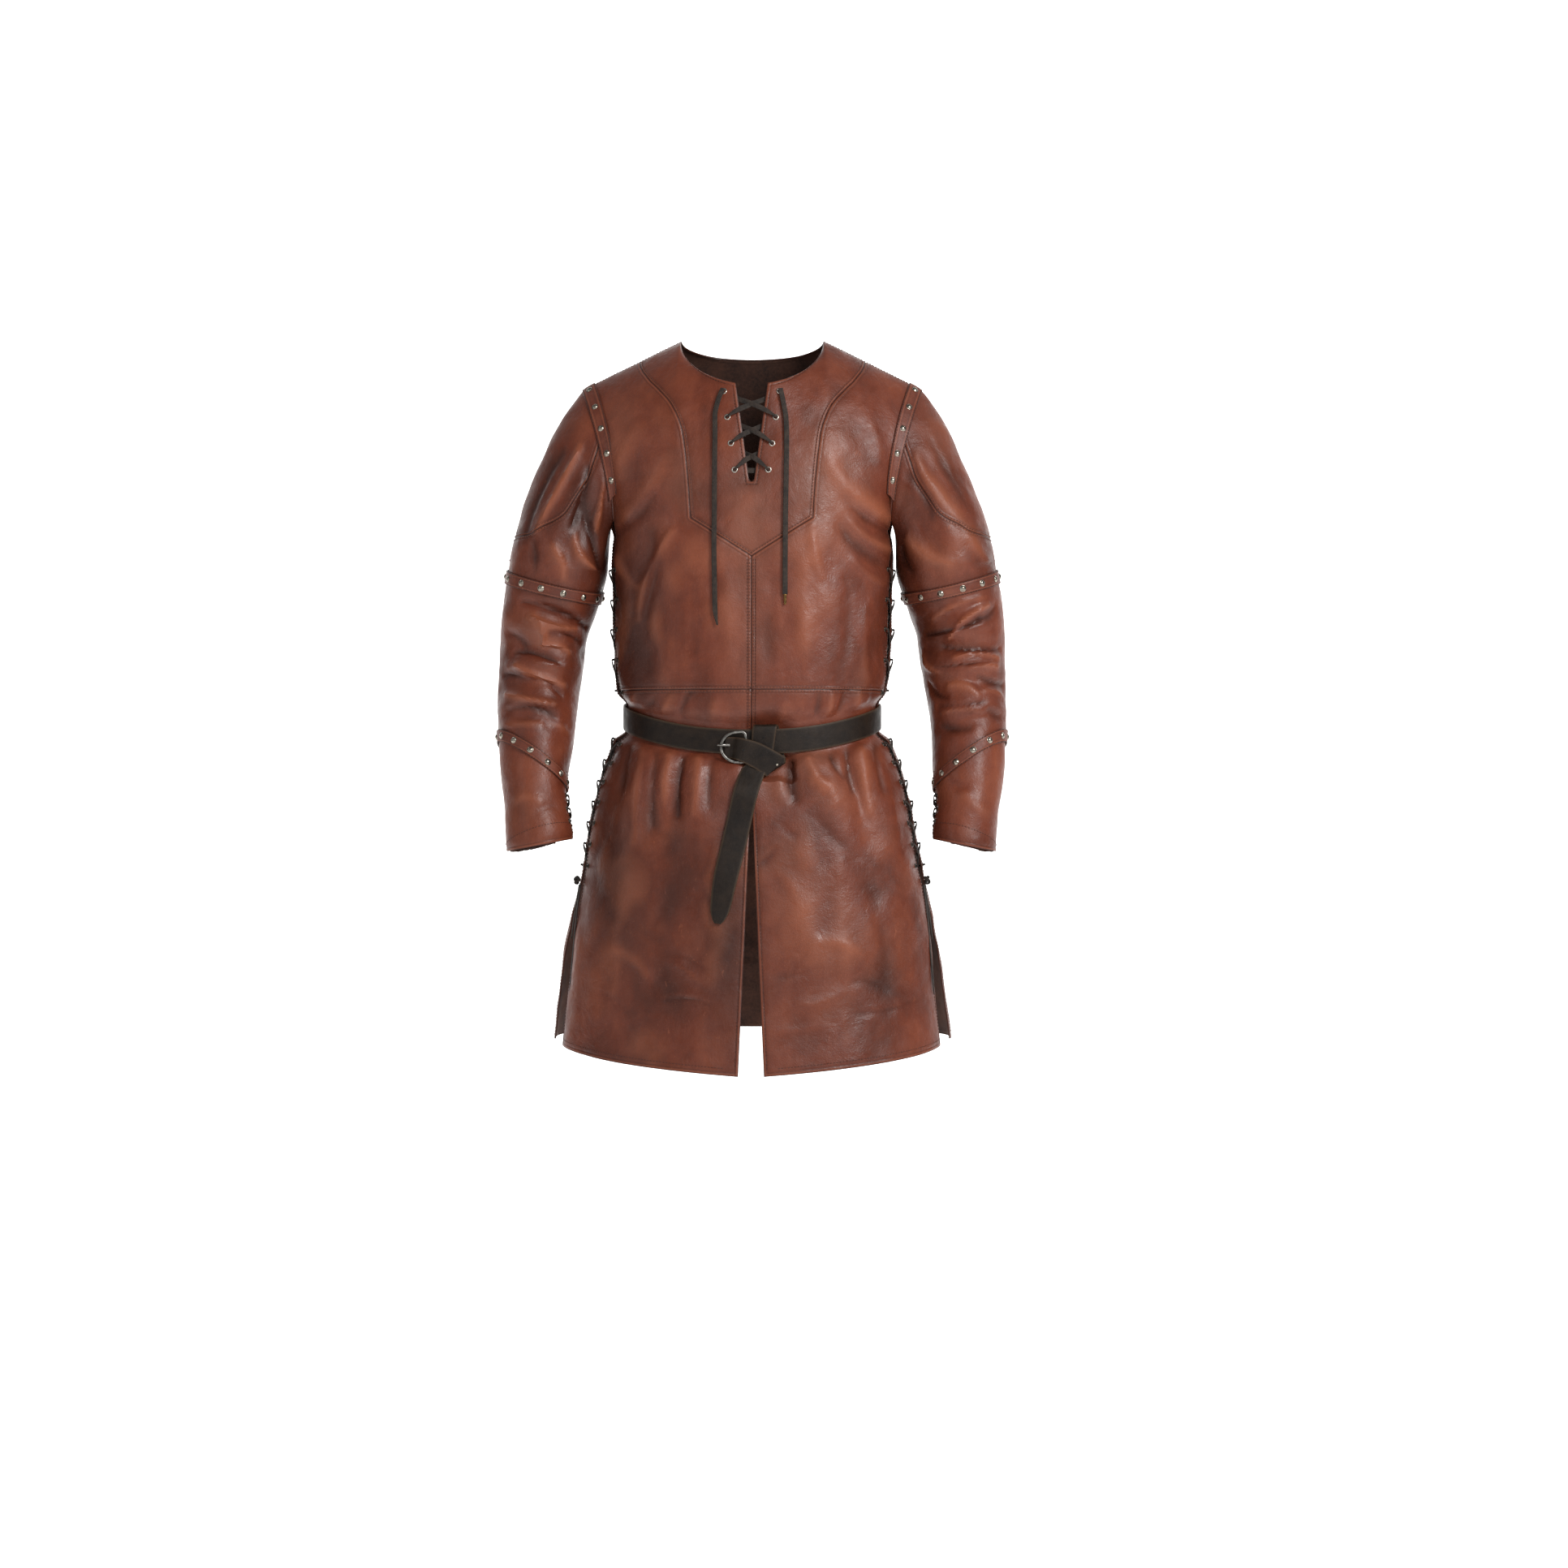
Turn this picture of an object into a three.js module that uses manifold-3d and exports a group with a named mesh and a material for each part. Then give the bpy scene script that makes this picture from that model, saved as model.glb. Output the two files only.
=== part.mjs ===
// A laced leather tunic with studded bands and its own knotted belt, as it is worn.
// Millimetres, +Z up. The wearer faces -Y, and +X is the wearer's left. The origin is the middle of
// the neck opening, level with the two points where the shoulder seams meet the neckline.
import * as THREE from "three";
import { mergeVertices } from "three/addons/utils/BufferGeometryUtils.js";
import Module from "manifold-3d";

const wasm = await Module();
wasm.setup();

// ---------------------------------------------------------------- driving dimensions

const LEATHER = 1.8; // wall thickness of every panel
const SEAM_GAP = 0.3; // between two pieces that are sewn together
const HALF_GAP = SEAM_GAP / 2;
const BAND_THICKNESS = 1.6;
const FAR = 500; // farther than any point from the part's middle, for the shapes that only cut

const ARMPIT_HEIGHT = -240;
const HEM_HEIGHT = -922; // back hem and side corners of the fronts
const FRONT_HEM_DROP = 38; // how much lower the front hem is at its middle
const HEM_TURN = 92; // degrees from the front at which the front hem would be level with the back's
const HEM_DROP_REACH = 280; // how far above the hem the fronts begin to lengthen
const WAIST_SEAM_HEIGHT = -465;

const SECTION_POWER = 0.851; // 1 is an ellipse, smaller is boxier
const FRONT_EDGE = 75.5; // degrees round from the front to the laced edge of a front panel
const BACK_EDGE = 83.5; // degrees round from the front to the laced edge of the back panel

const NECK = { halfWidth: 94, frontDrop: 67, backDrop: 16, y: 5, frontReach: 93, backReach: 63 };
const SHOULDER = { x: 217, y: 5, z: -60 };
const NECK_SHARE = 0.45; // share of a sheet's half width that ends at the neckline

const BELT = { width: 32, thickness: 2.8, lift: 1.1, height: -497, columns: 36 };
// How the belt dips at the front and rises at the back, how far above and below it the leather is drawn
// along with it, and within what distance of its middle it holds the folds flat.
const BELT_PULL = { frontDip: 38, dipPower: 3.2, backRise: 7, drawn: 62, gripped: 24 };
// Where the belt's tail passes behind the belt and folds below it, the leather under it is pressed in.
const TAIL_DENTS = [
  { x: 23, reach: 28, depth: 7.5, top: -470, bottom: -534 },
  { x: 24, reach: 29, depth: 15, top: -518, bottom: -567 },
];
const DENT_EDGE = 10;

// How the sheets turn in from the armpits to the neckline and the shoulder seams: powers of the
// height's share, and how far the middle of the armhole's edge stands behind its chord.
const TURN_IN = {
  front: { power: 2.2, root: 0.59, armhole: -24, armholeShare: 3, armholeRoot: 0.9 },
  back: { power: 2.6, root: 0.5, armhole: 84, armholeShare: 3.5, armholeRoot: 0.6 },
  flatPower: 1.7,
  widthPower: 1.8,
};

// Level sections of the body and skirt, from the hem up.
const SECTIONS = [
  { height: -925, halfWidth: 256, front: 180, back: 182 },
  { height: -860, halfWidth: 248, front: 170, back: 174 },
  { height: -768, halfWidth: 237, front: 158, back: 164 },
  { height: -684, halfWidth: 222, front: 146, back: 152 },
  { height: -598, halfWidth: 206, front: 135, back: 138 },
  { height: -565, halfWidth: 198, front: 130, back: 130 },
  { height: -546, halfWidth: 190, front: 127, back: 122 },
  { height: -528, halfWidth: 182, front: 121, back: 112 },
  { height: -514, halfWidth: 167, front: 113, back: 102 },
  { height: -480, halfWidth: 167, front: 113, back: 102 },
  { height: -464, halfWidth: 178.5, front: 124, back: 111 },
  { height: -430, halfWidth: 182.5, front: 127, back: 115 },
  { height: -366, halfWidth: 184, front: 124, back: 115 },
  { height: -300, halfWidth: 185.5, front: 121, back: 117 },
  { height: -240, halfWidth: 184.5, front: 118, back: 117 },
];

// How much wider than the fronts the back skirt spreads, below the laced sides.
const BACK_FLARE = [
  { height: -925, extra: 8 },
  { height: -768, extra: 4 },
  { height: -700, extra: 0 },
  { height: -240, extra: 0 },
];

// The left sleeve from the upper arm down: the middle of each ring and its half sizes.
const ARM = [
  { height: -662, x: 277.5, y: -54, halfWidth: 42.5, halfDepth: 46, tilt: 8 },
  { height: -624, x: 282.5, y: -44, halfWidth: 40.5, halfDepth: 46, tilt: 3 },
  { height: -570, x: 285.5, y: -28, halfWidth: 45.5, halfDepth: 50, tilt: 0 },
  { height: -521, x: 285.5, y: -14, halfWidth: 50, halfDepth: 54, tilt: 0 },
  { height: -478, x: 283.5, y: -2, halfWidth: 53, halfDepth: 58, tilt: 0 },
  { height: -430, x: 280, y: 8, halfWidth: 56, halfDepth: 62, tilt: 0 },
  { height: -385, x: 275.5, y: 11, halfWidth: 58, halfDepth: 64, tilt: 0 },
  { height: -345, x: 267.5, y: 9, halfWidth: 62.5, halfDepth: 66, tilt: 0 },
  { height: -300, x: 257, y: 4, halfWidth: 66, halfDepth: 68, tilt: 0 },
];
const ARM_TOP = -300;
const WRIST = -667;
// How the sleeve leaves the armhole and meets the upper arm: directions and pulls on its outer side and
// under the arm.
const SLEEVE_HEAD = {
  outer: { x: 0.93, z: -0.37, leave: 92, arrive: 205 },
  inner: { x: 0.78, z: -0.62, leave: 34, arrive: 60 },
};
const ELBOW_BAND = { row: 1.072, halfWidth: 8.5, lean: 0 };
const FOREARM_BAND = { row: 1.705, halfWidth: 8.5, lean: 0.088 };

// Folds of the body and skirt. Each is a soft ridge (or, with a negative rise, a trough) along a line
// from one place to the other. around: degrees from the front, + to the wearer's left.
const BODY_FOLDS = [
  { around: -26, height: -545, toAround: -30, toHeight: -690, width: 17, rise: -6 },
  { around: -15, height: -548, toAround: -16, toHeight: -700, width: 16, rise: 4 },
  { around: -44, height: -525, toAround: -50, toHeight: -760, width: 24, rise: 6 },
  { around: 37, height: -525, toAround: 41, toHeight: -660, width: 13, rise: -6 },
  { around: 26, height: -545, toAround: 27, toHeight: -700, width: 22, rise: 5 },
  { around: 52, height: -520, toAround: 58, toHeight: -760, width: 24, rise: 5 },
  { around: -36, height: -500, toAround: -32, toHeight: -455, width: 12, rise: -4 },
  { around: 38, height: -495, toAround: 45, toHeight: -450, width: 12, rise: -4 },
  { around: -72, height: -300, toAround: -38, toHeight: -440, width: 20, rise: 4 },
  { around: 72, height: -300, toAround: 40, toHeight: -420, width: 20, rise: 4 },
  { around: 135, height: -500, toAround: 138, toHeight: -860, width: 30, rise: 8 },
  { around: 160, height: -500, toAround: 159, toHeight: -820, width: 24, rise: -6 },
  { around: 182, height: -505, toAround: 180, toHeight: -880, width: 30, rise: 7 },
  { around: 206, height: -500, toAround: 204, toHeight: -820, width: 24, rise: -6 },
  { around: 228, height: -500, toAround: 224, toHeight: -860, width: 30, rise: 8 },
  { around: 150, height: -300, toAround: 168, toHeight: -440, width: 20, rise: 4 },
  { around: 210, height: -300, toAround: 192, toHeight: -440, width: 20, rise: 4 },
];
const FOLD_MM_PER_DEGREE = 2.9;
const FOLD_TAPER = 0.12; // share of a fold's length over which it is no lower than at its end

// Folds of a sleeve. around: degrees from the outer side over the front. row: 0 armhole, 1 upper arm,
// 2 wrist.
const SLEEVE_FOLDS = [
  { around: 96, row: 0.15, toAround: 70, toRow: 0.98, width: 13, rise: 5 },
  { around: 118, row: 0.3, toAround: 100, toRow: 1.0, width: 11, rise: -5 },
  { around: 40, row: 0.3, toAround: 52, toRow: 0.95, width: 15, rise: 3 },
  { around: 150, row: 1.18, toAround: 70, toRow: 1.12, width: 10, rise: -5 },
  { around: 160, row: 1.26, toAround: 30, toRow: 1.2, width: 11, rise: 5 },
  { around: 165, row: 1.3, toAround: 20, toRow: 1.3, width: 9, rise: -5 },
  { around: 160, row: 1.36, toAround: 20, toRow: 1.4, width: 10, rise: 4 },
  { around: 165, row: 1.44, toAround: 25, toRow: 1.47, width: 8, rise: -4 },
  { around: 155, row: 1.53, toAround: 15, toRow: 1.54, width: 9, rise: 4 },
  { around: 150, row: 1.62, toAround: 40, toRow: 1.57, width: 8, rise: -4 },
  { around: 205, row: 1.28, toAround: 320, toRow: 1.24, width: 12, rise: 5 },
  { around: 200, row: 1.4, toAround: 330, toRow: 1.36, width: 11, rise: -4 },
  { around: 205, row: 1.5, toAround: 320, toRow: 1.5, width: 11, rise: 4 },
];
const SLEEVE_MM_PER_DEGREE = 1.0;
const SLEEVE_MM_PER_ROW = { upper: 150, lower: 372 };
const BAND_GRIP = 0.045; // rows either side of a band within which the leather has no folds

// Half of the yoke's outline in the front view, from the middle of its point up to the shoulder seam.
const YOKE_OUTLINE = [
  { x: 0, z: -293 },
  { x: 79, z: -243 },
  { x: 82, z: -200 },
  { x: 86, z: -157 },
  { x: 92, z: -121 },
  { x: 105, z: -92 },
  { x: 123, z: -70 },
  { x: 137, z: -54 },
  { x: 150, z: -25 },
  { x: 152, z: 60 },
];
const NECK_SLIT = { bottom: -196, bottomHalf: 2.8, spread: 0.138 }; // half width grows by spread per mm
const FRONT_SLIT = { top: -622, topHalf: 0.8, spread: 0.0457 };

// Radii of an eyelet: the hole in the leather, the ring's flange, its barrel and its opening.
const EYELET = { hole: 3.3, flange: 4.4, barrel: 2.9, inner: 2.35, thickness: 0.8, sides: 6 };
const SIDE_HOLE_SIDES = 4;
const NECK_LACING = { first: -181, step: 34.7, rows: 4, inset: 17 };
const SIDE_LACING = [
  { first: -306, step: -39, rows: 5 }, // bodice
  { first: -528, step: -27.6, rows: 7 }, // skirt
];
const SIDE_INSET = 10;
const CUFF_LACING = { first: 1.845, step: 0.055, rows: 3, inset: 7, halfSlit: 5 };
// The shoulder cap's lower seam in the front view, from the armhole to the outer arm.
const CAP_OUTLINE = [
  { x: 150, z: -88 },
  { x: 186, z: -108 },
  { x: 205, z: -158 },
  { x: 215, z: -188 },
  { x: 232, z: -215 },
  { x: 246, z: -235 },
  { x: 271, z: -249 },
  { x: 293, z: -259 },
  { x: 360, z: -266 },
];
// spread: how far two crossing strands stand from the level between them.
const LACE = { width: 5, thickness: 1.4, inHole: 2.9, clear: 1.8, spread: 0.95, hugs: false };
const CUFF_LACE = { ...LACE, clear: 0.9, hugs: true };
const NECK_LACE = { width: 6.6, thickness: 1.6, inHole: 2.6, clear: 0.95, spread: 0.95, hugs: true };
// The neck lace's two ends hang from the top eyelets. Their middle lines in the front view.
const NECK_LACE_ENDS = {
  left: [
    { x: 36.5, z: -75 },
    { x: 41, z: -96 },
    { x: 44.5, z: -118 },
    { x: 45, z: -141 },
    { x: 44.5, z: -185 },
    { x: 43.5, z: -240 },
    { x: 43, z: -295 },
    { x: 43, z: -345 },
  ],
  right: [
    { x: -36.5, z: -75 },
    { x: -43, z: -92 },
    { x: -47, z: -112 },
    { x: -47, z: -160 },
    { x: -47.5, z: -215 },
    { x: -47.5, z: -270 },
    { x: -47, z: -325 },
    { x: -46, z: -362 },
    { x: -43, z: -384 },
  ],
};
const LACE_END_STEP = 14;
const AGLET = { length: 13, halfWidth: 3.1, halfDepth: 1.7 };
// The side laces end in a knot below the last eyelets, and their ends hang on the front panel's edge.
const SIDE_KNOT = { share: 1.05, level: -713, radius: 7.2, flatten: 0.72, clear: 1 };
const SIDE_LACE_ENDS = [
  [
    { share: 1.031, level: -718.6 },
    { share: 0.998, level: -760 },
    { share: 0.972, level: -800 },
    { share: 0.955, level: -858 },
  ],
  [
    { share: 1.057, level: -718.6 },
    { share: 1.046, level: -745 },
    { share: 1.03, level: -790 },
  ],
];

const BUCKLE = { x: -23, z: -539.5, halfWidth: 18, halfHeight: 21.5, bar: 4, y: -122.6, depth: 3.4 };
// The prong lies over the strap and the frame's round end, and bends in to the strap behind it.
const PRONG = { left: -43.5, bend: -36, right: -28, z: -537, y: -127.8, dip: 4.2 };
const PRONG_HALF_HEIGHT = 1.9;
const PRONG_THICKNESS = 2.6;
// The belt's tail: from the buckle it slants down over the belt's front, folds back under its lower
// edge, rises behind it, comes over its upper edge and hangs down in front. dx, dy, dz: half its width.
const TAIL_FRONT = [
  { x: -34, y: -119.8, z: -540.2, dx: 1, dy: 0, dz: 14 },
  { x: -24, y: -120.8, z: -540.6, dx: 1.5, dy: 0, dz: 14 },
  { x: -14, y: -128.2, z: -542.5, dx: 3, dy: 0, dz: 14.5 },
  { x: 4, y: -129, z: -549, dx: 5, dy: 0, dz: 15.4 },
  { x: 19, y: -129, z: -557, dx: 9, dy: 0, dz: 14 },
  { x: 32, y: -128, z: -565, dx: 12.5, dy: 0, dz: 12.5 },
];
const TAIL_LOOP = [
  { x: 31, y: -127.4, z: -563, dx: 12, dy: 0, dz: 11 },
  { x: 31, y: -122.5, z: -567, dx: 13, dy: 0, dz: 8 },
  { x: 30, y: -114, z: -559, dx: 14.5, dy: 0.6, dz: 4 },
  { x: 27, y: -110.6, z: -549, dx: 15, dy: 1.3, dz: 2 },
  { x: 21, y: -110.2, z: -517, dx: 15, dy: 1.3, dz: 1 },
  { x: 19, y: -113.2, z: -512.4, dx: 15.5, dy: 0.6, dz: 0.6 },
  { x: 18, y: -118.9, z: -512, dx: 15.5, dy: 0, dz: 0 },
  { x: 16.5, y: -121.3, z: -518, dx: 15.5, dy: 0, dz: -1 },
  { x: 14, y: -121.4, z: -540, dx: 14.8, dy: 0, dz: -2 },
  { x: 11.5, y: -126, z: -560, dx: 14.4, dy: 0, dz: -2 },
];
// lift: from the leather to the middle of the strap.
const TAIL_HANG = [
  { x: 0, z: -580, half: 15.5, lift: 8.6 },
  { x: -7.5, z: -600, half: 16, lift: 5.6 },
  { x: -14.5, z: -630, half: 16, lift: 3.8 },
  { x: -23.5, z: -670, half: 16, lift: 3.4 },
  { x: -32.5, z: -708, half: 15.5, lift: 3.4 },
  { x: -39, z: -745, half: 13, lift: 3.4 },
  { x: -41.5, z: -760, half: 8.5, lift: 3.4 },
  { x: -42.5, z: -766, half: 4, lift: 3.4 },
];
const STRAP_HALF = 1.4; // half the thickness of the belt's tail

const RIVET = { radius: 4.2, height: 2.1, sides: 5, bury: 0.5 };

// ---------------------------------------------------------------- small helpers

const V = (x, y, z) => new THREE.Vector3(x, y, z);
const lerp = THREE.MathUtils.lerp;
const rad = THREE.MathUtils.degToRad;
const deg = THREE.MathUtils.radToDeg;
const clamp = THREE.MathUtils.clamp;
const smooth = (t) => THREE.MathUtils.smoothstep(t, 0, 1);
const mix = (a, b, t) => a.clone().lerp(b, t);
const range = (n) => Array.from({ length: n }, (_, i) => i);
const signedPower = (v, p) => Math.sign(v) * Math.abs(v) ** p;

// A smooth curve through one column of a table, which never overshoots between two rows.
function curveOf(rows, along, column) {
  const sorted = [...rows].sort((a, b) => a[along] - b[along]);
  const xs = sorted.map((r) => r[along]);
  const ys = sorted.map((r) => r[column]);
  const last = xs.length - 1;
  const secant = range(last).map((i) => (ys[i + 1] - ys[i]) / (xs[i + 1] - xs[i]));
  const slope = ys.map((_, i) => {
    if (i === 0) return secant[0];
    if (i === last) return secant[last - 1];
    const [a, b] = [secant[i - 1], secant[i]];
    return a * b <= 0 ? 0 : (2 * a * b) / (a + b);
  });
  return (x) => {
    const at = clamp(x, xs[0], xs[last]);
    let i = 0;
    while (i < last - 1 && at > xs[i + 1]) i++;
    const span = xs[i + 1] - xs[i];
    const t = (at - xs[i]) / span;
    const [t2, t3] = [t * t, t * t * t];
    return (
      (2 * t3 - 3 * t2 + 1) * ys[i] +
      (t3 - 2 * t2 + t) * span * slope[i] +
      (3 * t2 - 2 * t3) * ys[i + 1] +
      (t3 - t2) * span * slope[i + 1]
    );
  };
}

// Height of one fold at a place, in the sheet's own millimetres (u across, v along).
function foldRise(u, v, fromU, fromV, toU, toV, width, rise) {
  const [du, dv] = [toU - fromU, toV - fromV];
  const length = Math.hypot(du, dv);
  const along = ((u - fromU) * du + (v - fromV) * dv) / length;
  const off = ((u - fromU) * dv - (v - fromV) * du) / length;
  const past = Math.max(-along, along - length, 0);
  const taper = Math.sin(Math.PI * clamp(along / length, FOLD_TAPER, 1 - FOLD_TAPER));
  return rise * taper * Math.exp(-((off / width) ** 2) - (past / width) ** 2);
}

// ---------------------------------------------------------------- body and skirt sheets

const halfWidthAt = curveOf(SECTIONS, "height", "halfWidth");
const frontAt = curveOf(SECTIONS, "height", "front");
const backAt = curveOf(SECTIONS, "height", "back");
const flareAt = curveOf(BACK_FLARE, "height", "extra");

// How far below its side height the belt lies, round the body. Negative is lower.
function beltDip(theta) {
  const facing = (1 + Math.cos(theta)) / 2;
  return BELT_PULL.backRise * (1 - facing) - BELT_PULL.frontDip * facing ** BELT_PULL.dipPower;
}

function bodyFold(theta, z) {
  const around = deg(theta);
  return BODY_FOLDS.reduce((sum, f) => {
    const turn = around - f.around;
    const near = turn - 360 * Math.round(turn / 360);
    const u = near * FOLD_MM_PER_DEGREE;
    const toU = (f.toAround - f.around) * FOLD_MM_PER_DEGREE;
    return sum + foldRise(u, z, 0, f.height, toU, f.toHeight, f.width, f.rise);
  }, 0);
}

function tailDent(x, level) {
  const depths = TAIL_DENTS.map(({ x: middle, reach, depth, top, bottom }) => {
    const within = smooth((top - level) / DENT_EDGE + 1) * smooth((level - bottom) / DENT_EDGE + 1);
    return depth * within * Math.exp(-(((x - middle) / reach) ** 4));
  });
  return Math.max(...depths);
}

// A point of the body's outer surface below the armholes. level is the height before the waist is
// pulled down by the belt and the front hem dips.
function bodyPoint(theta, level, isBack, underTail = true) {
  const lengthened = 1 - smooth((level - HEM_HEIGHT) / HEM_DROP_REACH);
  const hem = isBack ? 0 : -FRONT_HEM_DROP * lengthened * (1 - Math.abs(deg(theta)) / HEM_TURN);
  const nearBelt = Math.exp(-(((level - BELT.height) / BELT_PULL.drawn) ** 2));
  const z = level + beltDip(theta) * nearBelt + hem;
  const [sin, cos] = [Math.sin(theta), Math.cos(theta)];
  const halfWidth = halfWidthAt(level) + (isBack ? flareAt(level) : 0);
  const depth = cos > 0 ? frontAt(level) : backAt(level);
  const x = halfWidth * signedPower(sin, SECTION_POWER);
  const y = -depth * signedPower(cos, SECTION_POWER);
  const free = 1 - Math.exp(-(((level - BELT.height) / BELT_PULL.gripped) ** 4));
  const pressed = underTail && !isBack ? tailDent(x, level) : 0;
  const out = V(sin, -cos, 0).multiplyScalar(bodyFold(theta, z) * free - pressed);
  return V(x, y, z).add(out);
}

// Front sheet: s runs from the wearer's right (-1) to the left (1). v runs from the hem (-1) to the
// armpits (0) and on to the neckline and shoulder seams (1).
const sheetAngle = (s, isBack) => (isBack ? Math.PI - s * rad(180 - BACK_EDGE) : s * rad(FRONT_EDGE));

function topEdge(s, isBack) {
  const share = Math.abs(s);
  if (share <= NECK_SHARE) {
    const turn = (Math.PI / 2) * (share / NECK_SHARE);
    const drop = Math.cos(turn);
    const x = Math.sign(s) * NECK.halfWidth * Math.sin(turn);
    return isBack
      ? V(x, NECK.y + NECK.backReach * drop, -NECK.backDrop * drop)
      : V(x, NECK.y - NECK.frontReach * drop, -NECK.frontDrop * drop);
  }
  const out = (share - NECK_SHARE) / (1 - NECK_SHARE);
  const neckPoint = V(NECK.halfWidth, NECK.y, 0);
  const end = mix(neckPoint, V(SHOULDER.x, SHOULDER.y, SHOULDER.z), out);
  return V(Math.sign(s) * end.x, end.y, end.z);
}

function sheetPoint(s, v, isBack) {
  const theta = sheetAngle(s, isBack);
  if (v <= 0) return bodyPoint(theta, lerp(ARMPIT_HEIGHT, HEM_HEIGHT, -v), isBack);
  const base = bodyPoint(theta, ARMPIT_HEIGHT, isBack);
  const top = topEdge(s, isBack);
  const turn = isBack ? TURN_IN.back : TURN_IN.front;
  const round = (1 - v ** turn.power) ** turn.root;
  const flat = 1 - v ** TURN_IN.flatPower;
  const profile = lerp(flat, round, smooth(Math.abs(s) / NECK_SHARE));
  const armhole = turn.armhole * Math.abs(s) ** turn.armholeShare * Math.sin(Math.PI * v) ** turn.armholeRoot;
  const x = lerp(base.x, top.x, v ** TURN_IN.widthPower);
  const z = lerp(base.z, top.z, v);
  const fade = 1 - smooth(v * 2);
  const edge = 1 - Math.abs(s) ** 6;
  const out = V(Math.sin(theta), -Math.cos(theta), 0).multiplyScalar(bodyFold(theta, z) * (edge - 1) * fade);
  return V(x, lerp(top.y, base.y, profile) + armhole, z).add(v > 0 ? out.multiplyScalar(v) : out);
}

// The sheet's outward normal, by small steps.
function sheetNormal(s, v, isBack) {
  const [ds, dv] = [0.004, 0.004];
  const [s0, s1] = [Math.max(s - ds, -1), Math.min(s + ds, 1)];
  const [v0, v1] = [Math.max(v - dv, -1), Math.min(v + dv, 0.999)];
  const across = sheetPoint(s1, v, isBack).sub(sheetPoint(s0, v, isBack));
  const up = sheetPoint(s, v1, isBack).sub(sheetPoint(s, v0, isBack));
  const normal = across.cross(up).normalize();
  return isBack ? normal.negate() : normal;
}

// The place on the front sheet that is at x, z in the front view.
function onFront(x, z) {
  const reach = z > ARMPIT_HEIGHT ? -ARMPIT_HEIGHT : ARMPIT_HEIGHT - HEM_HEIGHT;
  let s = clamp(x / SHOULDER.x, -0.95, 0.95);
  let v = clamp((z - ARMPIT_HEIGHT) / reach, -0.95, 0.95);
  const step = 0.003;
  for (const _ of range(14)) {
    const p = sheetPoint(s, v, false);
    const [ex, ez] = [x - p.x, z - p.z];
    if (Math.hypot(ex, ez) < 0.01) break;
    const ps = sheetPoint(s + step, v, false).sub(p).divideScalar(step);
    const pv = sheetPoint(s, v - step, false).sub(p).divideScalar(-step);
    const det = ps.x * pv.z - ps.z * pv.x;
    s = clamp(s + (ex * pv.z - ez * pv.x) / det, -1, 1);
    v = clamp(v + (ez * ps.x - ex * ps.z) / det, -1, 0.99);
  }
  return { point: sheetPoint(s, v, false), normal: sheetNormal(s, v, false) };
}

// ---------------------------------------------------------------- sleeves

const armAt = Object.fromEntries(
  ["x", "y", "halfWidth", "halfDepth", "tilt"].map((column) => [column, curveOf(ARM, "height", column)]),
);
const ARMHOLE_STEPS = 7;
const armholeShare = (k) => 1 - (1 - k / ARMHOLE_STEPS) ** 1.5; // v of the k-th row above the armpit

// The left armhole seam, from the shoulder down the front, under the arm and up the back, as the
// sleeve's columns go.
const armholeLoop = (() => {
  const steps = range(ARMHOLE_STEPS + 1).map(armholeShare);
  const front = steps.map((v) => sheetPoint(1, v, false)).reverse();
  const back = steps.map((v) => sheetPoint(1, v, true));
  return [...front, ...back];
})();
const loopAngles = (() => {
  const lengths = [0];
  armholeLoop.slice(1).forEach((p, i) => lengths.push(lengths[i] + p.distanceTo(armholeLoop[i])));
  return lengths.map((l) => (360 * l) / lengths.at(-1));
})();

// A point of the armhole seam, at an angle from the shoulder over the front.
function armholePoint(angle) {
  const a = ((angle % 360) + 360) % 360;
  let i = 0;
  while (i < loopAngles.length - 2 && a > loopAngles[i + 1]) i++;
  return mix(armholeLoop[i], armholeLoop[i + 1], (a - loopAngles[i]) / (loopAngles[i + 1] - loopAngles[i]));
}

// A ring of the sleeve below the upper arm, before folds.
function ringPoint(angle, height) {
  const middle = (h) => V(armAt.x(h), armAt.y(h), h);
  const down = middle(height - 4).sub(middle(height + 4)).normalize();
  const outer = V(1, 0, 0).addScaledVector(down, -down.x).normalize();
  const front = down.clone().cross(outer).normalize();
  const point = middle(height)
    .addScaledVector(outer, armAt.halfWidth(height) * Math.cos(angle))
    .addScaledVector(front, armAt.halfDepth(height) * Math.sin(angle));
  point.z -= armAt.tilt(height) * Math.cos(angle);
  return { point, down };
}

const rowHeight = (row) => ARM_TOP + (row - 1) * (WRIST - ARM_TOP);

function sleeveFold(around, row) {
  const v = (r) => (r < 1 ? (r - 1) * SLEEVE_MM_PER_ROW.upper : (r - 1) * SLEEVE_MM_PER_ROW.lower);
  const turned = ((around % 360) + 360) % 360;
  return SLEEVE_FOLDS.reduce((sum, f) => {
    const u = (turned - f.around) * SLEEVE_MM_PER_DEGREE;
    const toU = (f.toAround - f.around) * SLEEVE_MM_PER_DEGREE;
    return sum + foldRise(u, v(row), 0, v(f.row), toU, v(f.toRow), f.width, f.rise);
  }, 0);
}

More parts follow.
